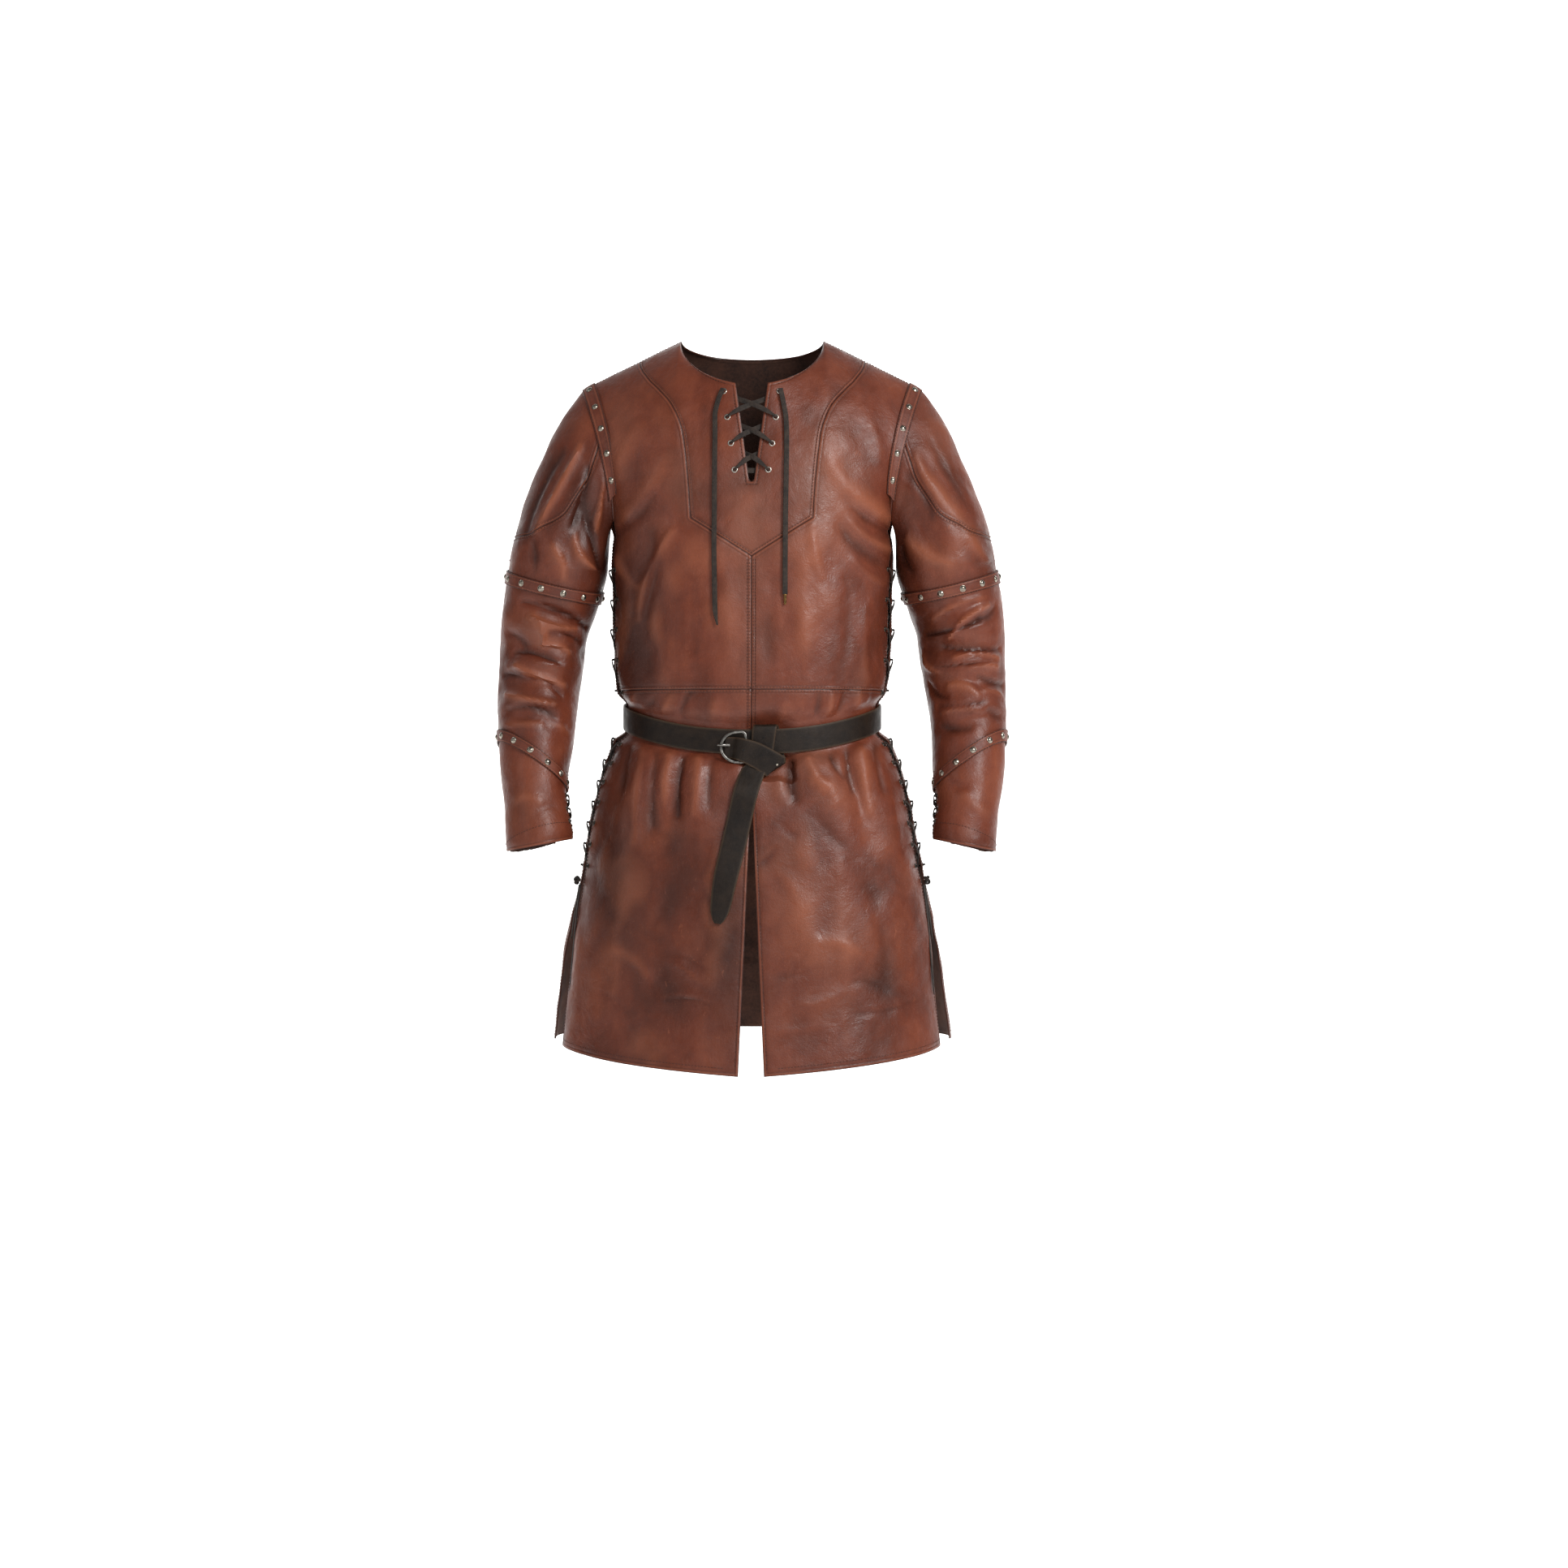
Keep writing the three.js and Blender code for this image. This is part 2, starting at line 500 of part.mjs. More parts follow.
// A point of the left sleeve. around: degrees from the outer side over the front; row: 0 to 2.
function sleevePoint(around, row, folded = true) {
  const angle = rad(around);
  const inner = (1 - Math.cos(angle)) / 2; // 0 on the outer side, 1 under the arm
  const { point: end, down } = ringPoint(angle, Math.min(rowHeight(Math.max(row, 1)), ARM_TOP));
  let point = end;
  if (row < 1) {
    const start = armholePoint(around);
    const blend = (column) => lerp(SLEEVE_HEAD.outer[column], SLEEVE_HEAD.inner[column], inner);
    const leave = V(blend("x"), 0, blend("z")).normalize().multiplyScalar(blend("leave"));
    const arrive = down.clone().multiplyScalar(blend("arrive"));
    const [t, t2, t3] = [row, row * row, row * row * row];
    point = start
      .multiplyScalar(2 * t3 - 3 * t2 + 1)
      .addScaledVector(leave, t3 - 2 * t2 + t)
      .addScaledVector(end, 3 * t2 - 2 * t3)
      .addScaledVector(arrive, t3 - t2);
  }
  if (!folded) return point;
  const clearOf = (band) => 1 - Math.exp(-(((row - bandRow(band, around)) / BAND_GRIP) ** 2));
  const inward = smooth(row * 3) * smooth((2 - row) * 6);
  const free = inward * clearOf(ELBOW_BAND) * clearOf(FOREARM_BAND);
  const out = V(Math.cos(angle), -Math.sin(angle), 0.2 * Math.cos(angle));
  return point.addScaledVector(out, sleeveFold(around, row) * free);
}

function sleeveNormal(around, row) {
  const [da, dr] = [1.5, 0.01];
  const turn = sleevePoint(around + da, row).sub(sleevePoint(around - da, row));
  const [r0, r1] = [Math.max(row - dr, 0), Math.min(row + dr, 2)];
  const along = sleevePoint(around, r1).sub(sleevePoint(around, r0));
  return turn.cross(along).normalize();
}

const bandRow = (band, around) => band.row - band.lean * Math.cos(rad(around));

// ---------------------------------------------------------------- turning points into solids

function solidFrom(points, faces) {
  const mesh = new wasm.Mesh({
    numProp: 3,
    vertProperties: new Float32Array(points.flatMap((p) => [p.x, p.y, p.z])),
    triVerts: new Uint32Array(faces.flat()),
  });
  mesh.merge();
  return new wasm.Manifold(mesh);
}

// A wall from rows of outer points, and the matching rows of inner points. Where columns close on
// themselves, the last column joins the first.
function wall(outer, inner, closed = false) {
  const [rows, columns] = [outer.length, outer[0].length];
  const count = rows * columns;
  const id = (r, c) => r * columns + (c % columns);
  const faces = [];
  const quad = (a, b, c, d) => faces.push([a, b, c], [a, c, d]);
  const spans = closed ? columns : columns - 1;
  for (let r = 0; r < rows - 1; r++)
    for (let c = 0; c < spans; c++) {
      quad(id(r, c), id(r, c + 1), id(r + 1, c + 1), id(r + 1, c));
      quad(count + id(r, c), count + id(r + 1, c), count + id(r + 1, c + 1), count + id(r, c + 1));
    }
  for (let c = 0; c < spans; c++) {
    quad(id(0, c), count + id(0, c), count + id(0, c + 1), id(0, c + 1));
    const r = rows - 1;
    quad(id(r, c), id(r, c + 1), count + id(r, c + 1), count + id(r, c));
  }
  if (!closed)
    for (let r = 0; r < rows - 1; r++) {
      const c = columns - 1;
      quad(id(r, 0), id(r + 1, 0), count + id(r + 1, 0), count + id(r, 0));
      quad(id(r, c), count + id(r, c), count + id(r + 1, c), id(r + 1, c));
    }
  return solidFrom([...outer.flat(), ...inner.flat()], faces);
}

// A wall whose outer points are point(row, column), and whose inner ones lie its thickness inward.
function wallOf(rows, columns, point, normal, thickness, closed = false) {
  const outer = rows.map((r) => columns.map((c) => point(r, c)));
  const inner = rows.map((r, i) =>
    columns.map((c, j) => outer[i][j].clone().addScaledVector(normal(r, c), -thickness)),
  );
  return wall(outer, inner, closed);
}

// A closed sweep of a flat strip: each station has a middle, a half-width vector and a thickness one.
function strip(stations) {
  const points = stations.flatMap(({ middle, across, thick }) =>
    [
      [1, 1],
      [-1, 1],
      [-1, -1],
      [1, -1],
    ].map(([a, b]) => middle.clone().addScaledVector(across, a).addScaledVector(thick, b)),
  );
  const faces = [
    [0, 1, 2],
    [0, 2, 3],
  ];
  const end = 4 * (stations.length - 1);
  faces.push([end, end + 2, end + 1], [end, end + 3, end + 2]);
  for (let i = 0; i < stations.length - 1; i++)
    for (const k of range(4)) {
      const [a, b] = [4 * i + k, 4 * i + ((k + 1) % 4)];
      faces.push([a, a + 4, b + 4], [a, b + 4, b]);
    }
  const solid = solidFrom(points, faces);
  return solid.volume() > 0 ? solid : solidFrom(points, faces.map(([a, b, c]) => [a, c, b]));
}

// A strip that turns back on itself is joined from its stretches, one by one.
const foldedStrip = (stations) =>
  stations
    .slice(1)
    .map((station, i) => strip([stations[i], station]))
    .reduce((joined, stretch) => joined.add(stretch));

// Stations of a lace along a path: it turns each corner half way, and its width lies as near to up as
// the path allows, or along up where it is narrowed in an eyelet.
function laceStations(path, width, thickness) {
  const direction = (i) => path[i + 1].point.clone().sub(path[i].point).normalize();
  const last = path.length - 1;
  return path.map(({ point, up, narrow }, i) => {
    const along = direction(Math.max(i - 1, 0)).add(direction(Math.min(i, last - 1)));
    if (narrow) along.addScaledVector(up, -up.dot(along));
    along.normalize();
    const across = up.clone().addScaledVector(along, -up.dot(along)).normalize();
    const thick = along.clone().cross(across).multiplyScalar(thickness / 2);
    return { middle: point, across: across.multiplyScalar((narrow ?? width) / 2), thick };
  });
}

// A prism along Y with its outline in the front view.
function frontPrism(outline) {
  const shape = new THREE.Shape(outline.map(({ x, z }) => new THREE.Vector2(x, z)));
  const g = new THREE.ExtrudeGeometry(shape, { depth: 2 * FAR, bevelEnabled: false, steps: 1 });
  g.rotateX(Math.PI / 2).translate(0, FAR, 0);
  return fromGeometry(g);
}

function fromGeometry(geometry) {
  const g = geometry.clone();
  ["normal", "uv"].forEach((name) => g.deleteAttribute(name));
  const merged = mergeVertices(g, 1e-4);
  return new wasm.Manifold(
    new wasm.Mesh({
      numProp: 3,
      vertProperties: new Float32Array(merged.attributes.position.array),
      triVerts: new Uint32Array(merged.index.array),
    }),
  );
}

// A short cylinder across a wall, to cut an eyelet's hole.
function punch({ point, normal }, radius, sides) {
  const g = new THREE.CylinderGeometry(radius, radius, 8 * LEATHER, sides);
  g.applyQuaternion(new THREE.Quaternion().setFromUnitVectors(V(0, 1, 0), normal));
  g.translate(point.x, point.y, point.z);
  return fromGeometry(g);
}

// A low dome that stands on a band at a place, sunk a little into it.
function rivetDome({ point, normal }) {
  const { radius, height, bury, sides } = RIVET;
  const profile = [
    [0, -bury],
    [radius, -bury],
    [0, height],
  ].map(([x, y]) => new THREE.Vector2(x, y));
  const g = new THREE.LatheGeometry(profile, sides);
  g.applyQuaternion(new THREE.Quaternion().setFromUnitVectors(V(0, 1, 0), normal));
  g.translate(point.x, point.y, point.z);
  return fromGeometry(g);
}

// ---------------------------------------------------------------- assembly

const tunic = new THREE.Group();
const COLOURS = {
  leather: { color: 0x7a4029, roughness: 0.5, metalness: 0 },
  strap: { color: 0x33291f, roughness: 0.55, metalness: 0 },
  lace: { color: 0x2c221b, roughness: 0.7, metalness: 0 },
  metal: { color: 0xb9b4ab, roughness: 0.3, metalness: 1 },
};

function add(name, solid, finish, sign = 1) {
  const mesh = solid.getMesh();
  const stride = mesh.numProp;
  const positions = new Float32Array(mesh.numVert * 3);
  for (const i of range(mesh.numVert))
    positions.set(mesh.vertProperties.subarray(i * stride, i * stride + 3), 3 * i);
  const g = new THREE.BufferGeometry();
  g.setAttribute("position", new THREE.BufferAttribute(positions, 3));
  g.setIndex(new THREE.BufferAttribute(mesh.triVerts, 1));
  g.computeVertexNormals();
  const piece = new THREE.Mesh(g, new THREE.MeshStandardMaterial(COLOURS[finish]));
  piece.name = name;
  piece.scale.x = sign;
  tunic.add(piece);
}

const mirrored = ({ point, normal }) => ({
  point: V(-point.x, point.y, point.z),
  normal: V(-normal.x, normal.y, normal.z),
});
const SIDES = [
  { side: "left", sign: 1 },
  { side: "right", sign: -1 },
];
// Adds a piece of the wearer's left, and its mirror image on the right.
function addPair(stem, solid, finish) {
  for (const { side, sign } of SIDES) add(`${stem}_${side}`, solid, finish, sign);
}

// Where each eyelet of an opening is: at(flap, along, inset) gives a place on one flap of it. flap is
// 1 or -1, along counts the rows of eyelets, and inset is the distance from the flap's edge.
const upright = ({ point, normal }) => ({
  point,
  normal,
  up: V(0, 0, 1).addScaledVector(normal, -normal.z).normalize(),
});
const neckSlitHalf = (z) => NECK_SLIT.bottomHalf + NECK_SLIT.spread * (z - NECK_SLIT.bottom);
const neckOpening = {
  rows: NECK_LACING.rows,
  inset: NECK_LACING.inset,
  gap: (along) => 2 * neckSlitHalf(NECK_LACING.first + NECK_LACING.step * along),
  at: (flap, along, inset) => {
    const z = NECK_LACING.first + NECK_LACING.step * along;
    return upright(onFront(flap * (neckSlitHalf(z) + inset), z));
  },
};

const sideRowHeights = SIDE_LACING.flatMap(({ first, step, rows }) =>
  range(rows).map((i) => first + i * step),
);
const sideRowAt = (along) => {
  const i = clamp(Math.floor(along), 0, sideRowHeights.length - 2);
  return lerp(sideRowHeights[i], sideRowHeights[i + 1], along - i);
};
// The left side: flap 1 is the front's laced edge and flap -1 the back's.
const sideOpening = {
  rows: sideRowHeights.length,
  inset: SIDE_INSET,
  gap: (along) => sideOpening.at(1, along, 0).point.distanceTo(sideOpening.at(-1, along, 0).point),
  at: (flap, along, inset) => {
    const isBack = flap < 0;
    const v = (sideRowAt(along) - ARMPIT_HEIGHT) / (ARMPIT_HEIGHT - HEM_HEIGHT);
    const probe = 0.02;
    const width = sheetPoint(1, v, isBack).distanceTo(sheetPoint(1 - probe, v, isBack)) / probe;
    const s = 1 - inset / width;
    return upright({ point: sheetPoint(s, v, isBack), normal: sheetNormal(Math.min(s, 1), v, isBack) });
  },
};

const cuffOpening = {
  rows: CUFF_LACING.rows,
  inset: CUFF_LACING.inset,
  gap: () => 2 * CUFF_LACING.halfSlit,
  at: (flap, along, inset) => {
    const row = CUFF_LACING.first + CUFF_LACING.step * along;
    const radius = armAt.halfDepth(rowHeight(row));
    const around = 180 - flap * deg((CUFF_LACING.halfSlit + inset) / radius);
    return upright({ point: sleevePoint(around, row), normal: sleeveNormal(around, row) });
  },
};

const eyelets = (opening, flap) => range(opening.rows).map((i) => opening.at(flap, i, opening.inset));

// How far a lace's middle stands out of the leather where it has come up through an eyelet.
const laceHeight = (lace) => EYELET.thickness + SEAM_GAP + lace.clear + lace.thickness / 2;

// The path of a lace that crosses an opening from row 0 to its last row. It leaves each eyelet on the
// outside, dives through the gap, and comes up through the next eyelet of the other flap.
function lacing(opening, lace) {
  const outside = laceHeight(lace);
  const inside = -(LEATHER + 2 * lace.clear + lace.thickness / 2);
  const place = (flap, along, inset, height, narrow) => {
    const { point, normal, up } = opening.at(flap, along, inset);
    return { point: point.addScaledVector(normal, height), up, narrow };
  };
  const strand = (first) => {
    const path = [];
    for (const i of range(opening.rows)) {
      const flap = i % 2 ? -first : first;
      const e = opening.inset;
      path.push(place(flap, i, e - 0.5, inside, lace.inHole));
      path.push(place(flap, i, e - 0.5, outside, lace.inHole));
      if (i === opening.rows - 1) break;
      const share = e / (2 * e + opening.gap(i + 0.5));
      const low = lace.clear + lace.thickness / 2 + 1.4;
      if (lace.hugs) path.push(place(flap, i + share, 1, low));
      const nearSide = place(flap, i + 0.5, 0, 0);
      const farSide = place(-flap, i + 0.5, 0, 0);
      const middle = mix(nearSide.point, farSide.point, 0.5);
      const { normal } = opening.at(flap, i + 0.5, 0);
      const over = 1 + ((first > 0) === (i % 2 === 0) ? lace.spread : -lace.spread);
      path.push({ point: middle.addScaledVector(normal, over - LEATHER / 2), up: nearSide.up });
      if (lace.hugs) path.push(place(-flap, i + 1 - share, 1, inside));
    }
    return path;
  };
  const [a, b] = [strand(1), strand(-1)];
  const bar = [1, -1].map((flap) => place(flap, 0, opening.inset / 2, inside));
  return [...a.reverse(), ...bar, ...b];
}

// ---------------------------------------------------------------- fronts and back

const BODY_LEVELS = [
  -922, -860, -800, -740, -690, -645, -605, -578, -560, -545, -528, -514, -480, -464, -430, -370, -305, -240,
];
const sheetRows = [
  ...BODY_LEVELS.map((level) => (level - ARMPIT_HEIGHT) / (ARMPIT_HEIGHT - HEM_HEIGHT)),
  ...range(ARMHOLE_STEPS).map((k) => armholeShare(k + 1)),
];
// Shares of half a sheet's width where its columns lie. One is at the neck point.
const FRONT_SHARES = [0, 0.11, 0.22, 0.33, NECK_SHARE, 0.58, 0.72, 0.87, 1];
const BACK_SHARES = [0, 0.15, 0.3, NECK_SHARE, 0.63, 0.82, 1];
function sheet(isBack) {
  const half = isBack ? BACK_SHARES : FRONT_SHARES;
  const across = [...half.slice(1).map((s) => -s).reverse(), ...half];
  const shares = isBack ? across.reverse() : across;
  const inTop = (v) => Math.min(v, 1);
  return wallOf(
    sheetRows,
    shares,
    (v, s) => sheetPoint(s, inTop(v), isBack),
    (v, s) => sheetNormal(s, inTop(v), isBack),
    LEATHER,
  );
}

const box = (x0, x1, z0, z1) => [
  { x: x0, z: z0 },
  { x: x1, z: z0 },
  { x: x1, z: z1 },
  { x: x0, z: z1 },
];

// The yoke's outline, grown outward by a distance, on both sides of the middle.
function yokeOutline(grow) {
  const half = YOKE_OUTLINE.map(({ x, z }, i) => {
    const before = YOKE_OUTLINE[Math.max(i - 1, 0)];
    const after = YOKE_OUTLINE[Math.min(i + 1, YOKE_OUTLINE.length - 1)];
    const out = V(after.z - before.z, 0, before.x - after.x).normalize();
    return i === 0 ? { x: 0, z: z - grow * 1.2 } : { x: x + out.x * grow, z: z + out.z * grow };
  });
  const other = half
    .slice(1)
    .reverse()
    .map(({ x, z }) => ({ x: -x, z }));
  return [...half, ...other];
}

const wedge = (bottom, top, halfAtBottom, halfAtTop) => [
  { x: -halfAtBottom, z: bottom },
  { x: halfAtBottom, z: bottom },
  { x: halfAtTop, z: top },
  { x: -halfAtTop, z: top },
];

const cutAway = (solid, cutters) => cutters.reduce((left, cutter) => left.subtract(cutter), solid);

// Sheets end a hair under the shoulder seam, so that front and back don't meet there.
const pastShoulderSeam = (toBack) => {
  const middle = V(0, NECK.y + toBack * (FAR / 2 - HALF_GAP), FAR / 2 - 80);
  return fromGeometry(new THREE.BoxGeometry(2 * FAR, FAR, FAR).translate(middle.x, middle.y, middle.z));
};
const frontSheet = sheet(false).subtract(pastShoulderSeam(1));
const backSheet = sheet(true).subtract(pastShoulderSeam(-1));

const neckPunch = (place) => punch(place, EYELET.hole, EYELET.sides);
const neckPunches = [1, -1].flatMap((flap) => eyelets(neckOpening, flap).map(neckPunch));
const yokeTop = 60; // above every point of the neckline
add(
  "yoke",
  cutAway(frontSheet.intersect(frontPrism(yokeOutline(-HALF_GAP))), [
    frontPrism(wedge(NECK_SLIT.bottom, yokeTop, NECK_SLIT.bottomHalf, neckSlitHalf(yokeTop))),
    ...neckPunches,
  ]),
  "leather",
);

const sidePunch = (place) => punch(place, EYELET.hole, SIDE_HOLE_SIDES);
const sidePlaces = { front: eyelets(sideOpening, 1), back: eyelets(sideOpening, -1) };
const yokeCut = frontPrism(yokeOutline(HALF_GAP));
const waist = { over: WAIST_SEAM_HEIGHT + HALF_GAP, under: WAIST_SEAM_HEIGHT - HALF_GAP };
const frontSlitHalf = (z) => FRONT_SLIT.topHalf + FRONT_SLIT.spread * (FRONT_SLIT.top - z);

for (const { side, sign } of SIDES) {
  const [x0, x1] = sign > 0 ? [HALF_GAP, FAR] : [-FAR, -HALF_GAP];
  const punches = sidePlaces.front.map((p) => sidePunch(sign > 0 ? p : mirrored(p)));
  const chest = frontSheet.intersect(frontPrism(box(x0, x1, waist.over, FAR)));
  add(`chest_${side}`, cutAway(chest, [yokeCut, ...punches]), "leather");
  const slit = frontPrism(
    wedge(FRONT_SLIT.top - FAR, FRONT_SLIT.top, frontSlitHalf(FRONT_SLIT.top - FAR), FRONT_SLIT.topHalf),
  );
  const skirt = frontSheet.intersect(frontPrism(box(x0, x1, -2 * FAR, waist.under)));
  add(`skirt_front_${side}`, cutAway(skirt, [slit, ...punches]), "leather");
}

const backHoles = sidePlaces.back.flatMap((p) => [sidePunch(p), sidePunch(mirrored(p))]);
const backBody = backSheet.intersect(frontPrism(box(-FAR, FAR, waist.over, FAR)));
const backSkirt = backSheet.intersect(frontPrism(box(-FAR, FAR, -2 * FAR, waist.under)));
add("back", cutAway(backBody, backHoles), "leather");
add("skirt_back", cutAway(backSkirt, backHoles), "leather");

// ---------------------------------------------------------------- sleeves and their bands

// The sleeve's columns: one for each point of the armhole seam, but the last, which is the first again.
const sleeveColumns = loopAngles.slice(0, -1);
const seamShift = SEAM_GAP / 150; // a seam gap, in rows of the upper sleeve

// A piece of the left sleeve between two seams, start and end, with rows at some shares of its length.
function sleevePiece(columns, start, end, shares, closed) {
  const rowOf = (share, a) => lerp(start(a), end(a), share);
  return wallOf(
    shares,
    columns,
    (share, a) => sleevePoint(a, rowOf(share, a)),
    (share, a) => sleeveNormal(a, rowOf(share, a)),
    LEATHER,
    closed,
  );
}

// The armhole's edge, grown past the leather on both sides, which trims the sleeve's upper end.
const armholePlug = (() => {
  const centre = armholeLoop.reduce((sum, p) => sum.add(p), V(0, 0, 0)).divideScalar(armholeLoop.length);
  const loop = sleeveColumns.map((a) => armholePoint(a));
  const backSlack = 1.4;
  const rim = (depth, grow) =>
    loop.map((p) => mix(centre, p, grow).add(V(depth + backSlack * smooth((p.y - 20) / 30), 0, 0)));
  return wall([rim(-90, 1.6), rim(SEAM_GAP, 1.6)], [rim(-90, 0.3), rim(SEAM_GAP, 0.3)], true);
})();
const CAP_TOP = 40; // above every point of the shoulder
const capPrism = (drop) => {
  const seam = CAP_OUTLINE.map(({ x, z }) => ({ x, z: z + drop }));
  return frontPrism([...seam, { x: seam.at(-1).x, z: CAP_TOP }, { x: seam[0].x, z: CAP_TOP }]);
};

const evenShares = (steps) => range(steps + 1).map((i) => i / steps);
const HEAD_SHARES = [0, 0.13, 0.28, 0.44, 0.6, 0.77, 0.91, 0.972, 1];
const headEnd = ELBOW_BAND.row - seamShift / 2;
const wholeHead = sleevePiece(sleeveColumns, () => 0, () => headEnd, HEAD_SHARES, true);
const sleeveHead = wholeHead.subtract(armholePlug);
addPair("shoulder_cap", sleeveHead.intersect(capPrism(HALF_GAP)), "leather");
addPair("sleeve_upper", sleeveHead.subtract(capPrism(-HALF_GAP)), "leather");
const LOWER_COLUMNS = range(15).map((i) => i * 24);
const elbowRow = () => ELBOW_BAND.row;
const forearmRow = (a) => bandRow(FOREARM_BAND, a);
const lowerEnd = (a) => forearmRow(a) - 1.5 * seamShift;
addPair("sleeve_lower", sleevePiece(LOWER_COLUMNS, elbowRow, lowerEnd, evenShares(9), true), "leather");

// The cuff piece is open along the inner side of the forearm, where it is laced.
const slitAngle = deg(CUFF_LACING.halfSlit / armAt.halfDepth(rowHeight(1.9)));
const cuffColumns = range(16).map((i) => lerp(-180 + slitAngle, 180 - slitAngle, i / 15));
const cuffWall = sleevePiece(cuffColumns, forearmRow, () => 2, evenShares(4), false);
const cuffPunches = [1, -1].flatMap((flap) => eyelets(cuffOpening, flap).map(sidePunch));
addPair("sleeve_cuff", cutAway(cuffWall, cuffPunches), "leather");

// A studded band: a strip over a seam with a row of rivets along its middle. place(a, d) is a point of
// what carries it, d from -1 at one edge to 1 at the other.
function studdedBand(columns, place, rivets, closed, lift) {
  const rows = [-1, 0, 1];
  const raise = (a, d, height) => {
    const { point, normal } = place(a, d);
    return point.addScaledVector(normal, height);
  };
  const outer = rows.map((d) => columns.map((a) => raise(a, d, lift + BAND_THICKNESS)));
  const inner = rows.map((d) => columns.map((a) => raise(a, d, lift)));
  // A rivet stands on the flat stretch between two columns.
  const middle = closed ? [...outer[1], outer[1][0]] : outer[1];
  const stops = closed ? [...columns, columns[0] + 360] : columns;
  return rivets.reduce((solid, a) => {
    const i = clamp(stops.findIndex((stop) => stop > a) - 1, 0, stops.length - 2);
    const point = mix(middle[i], middle[i + 1], (a - stops[i]) / (stops[i + 1] - stops[i]));
    return solid.add(rivetDome({ point, normal: place(a, 0).normal }));
  }, wall(outer, inner, closed));
}

function sleeveBandPlace(band) {
  return (a, d) => {
    const row = bandRow(band, a) + (d * band.halfWidth) / SLEEVE_MM_PER_ROW.lower;
    return { point: sleevePoint(a, row), normal: sleeveNormal(a, row) };
  };
}
const BAND_LIFT = 1.6; // so that a flat band clears the rounder sleeve under it
const ELBOW_RIVETS = range(10).map((i) => 18 + 36 * i);
const FOREARM_RIVETS = range(8).map((i) => -147 + 42 * i);
const elbowPlace = sleeveBandPlace(ELBOW_BAND);
const forearmPlace = sleeveBandPlace(FOREARM_BAND);
addPair("elbow_band", studdedBand(LOWER_COLUMNS, elbowPlace, ELBOW_RIVETS, true, BAND_LIFT), "leather");
addPair("forearm_band", studdedBand(cuffColumns, forearmPlace, FOREARM_RIVETS, false, BAND_LIFT), "leather");

// The armhole band lies half on the body and half on the sleeve, from the front over the shoulder.
const ARMHOLE_BAND = { halfWidth: 10, lift: 1.84, reach: 132, rivets: 9, rivetFrom: -94, rivetTo: 116 };
function armholeBandPlace(angle, d) {
  const a = (angle + 360) % 360;
  const isBack = a > 180;
  const i = Math.max(loopAngles.findIndex((l) => l >= a) - 1, 0);
  const index = i + (a - loopAngles[i]) / (loopAngles[i + 1] - loopAngles[i]);
  const step = isBack ? index - ARMHOLE_STEPS - 1 : ARMHOLE_STEPS - index;
  const v = armholeShare(clamp(step, 0, ARMHOLE_STEPS));
  const seam = armholePoint(a);
  const onto = (target) => seam.clone().addScaledVector(target.sub(seam).normalize(), ARMHOLE_BAND.halfWidth);
  const facet = 1 - (isBack ? BACK_SHARES : FRONT_SHARES).at(-2);
  const bodyNormal = sheetNormal(1 - facet / 2, v, isBack);
  const headNormal = sleeveNormal(a, 0.06);
  if (d < 0) return { point: onto(sheetPoint(1 - facet, v, isBack)), normal: bodyNormal };
  if (d > 0) return { point: onto(sleevePoint(a, 0.13)), normal: headNormal };
  return { point: seam, normal: bodyNormal.add(headNormal).normalize() };
}
const armholeColumns = sleeveColumns
  .map((a) => (a > 180 ? a - 360 : a))
  .filter((a) => Math.abs(a) < ARMHOLE_BAND.reach)
  .sort((p, q) => p - q);
const armholeRivets = range(ARMHOLE_BAND.rivets).map((i) =>
  lerp(ARMHOLE_BAND.rivetFrom, ARMHOLE_BAND.rivetTo, i / (ARMHOLE_BAND.rivets - 1)),
);
const armholeBand = studdedBand(armholeColumns, armholeBandPlace, armholeRivets, false, ARMHOLE_BAND.lift);
addPair("armhole_band", armholeBand, "leather");

// ---------------------------------------------------------------- laces and eyelets

// A ring that lines a hole: a flange on the outside and a short barrel through the leather.
function eyeletRing({ point, normal }) {
  const { flange, barrel, inner, thickness, sides } = EYELET;
  const profile = [
    [inner, -LEATHER],
    [barrel, -LEATHER],
    [barrel, SEAM_GAP],
    [flange, SEAM_GAP],
    [inner, SEAM_GAP + thickness],
    [inner, -LEATHER],
  ].map(([x, y]) => new THREE.Vector2(x, y));
  const g = new THREE.LatheGeometry(profile, sides);
  g.applyQuaternion(new THREE.Quaternion().setFromUnitVectors(V(0, 1, 0), normal));
  g.translate(point.x, point.y, point.z);
  return fromGeometry(g);
}
for (const { side, sign } of SIDES)
  eyelets(neckOpening, sign).forEach((e, i) => add(`neck_eyelet_${side}_${i + 1}`, eyeletRing(e), "metal"));

// A stretch of the side opening, which has a lace of its own.
const laced = (rows, first) => ({
  inset: sideOpening.inset,
  rows,
  at: (flap, along, inset) => sideOpening.at(flap, along + first, inset),
  gap: (along) => sideOpening.gap(along + first),
});
const [bodiceRows, skirtRows] = SIDE_LACING.map(({ rows }) => rows);
const laceStrip = (opening, lace) => strip(laceStations(lacing(opening, lace), lace.width, lace.thickness));
add("neck_lace", laceStrip(neckOpening, NECK_LACE), "lace");
addPair("bodice_lace", laceStrip(laced(bodiceRows, 0), LACE), "lace");
addPair("skirt_lace", laceStrip(laced(skirtRows, bodiceRows), LACE), "lace");
addPair("cuff_lace", laceStrip(cuffOpening, CUFF_LACE), "lace");

// ---------------------------------------------------------------- belt

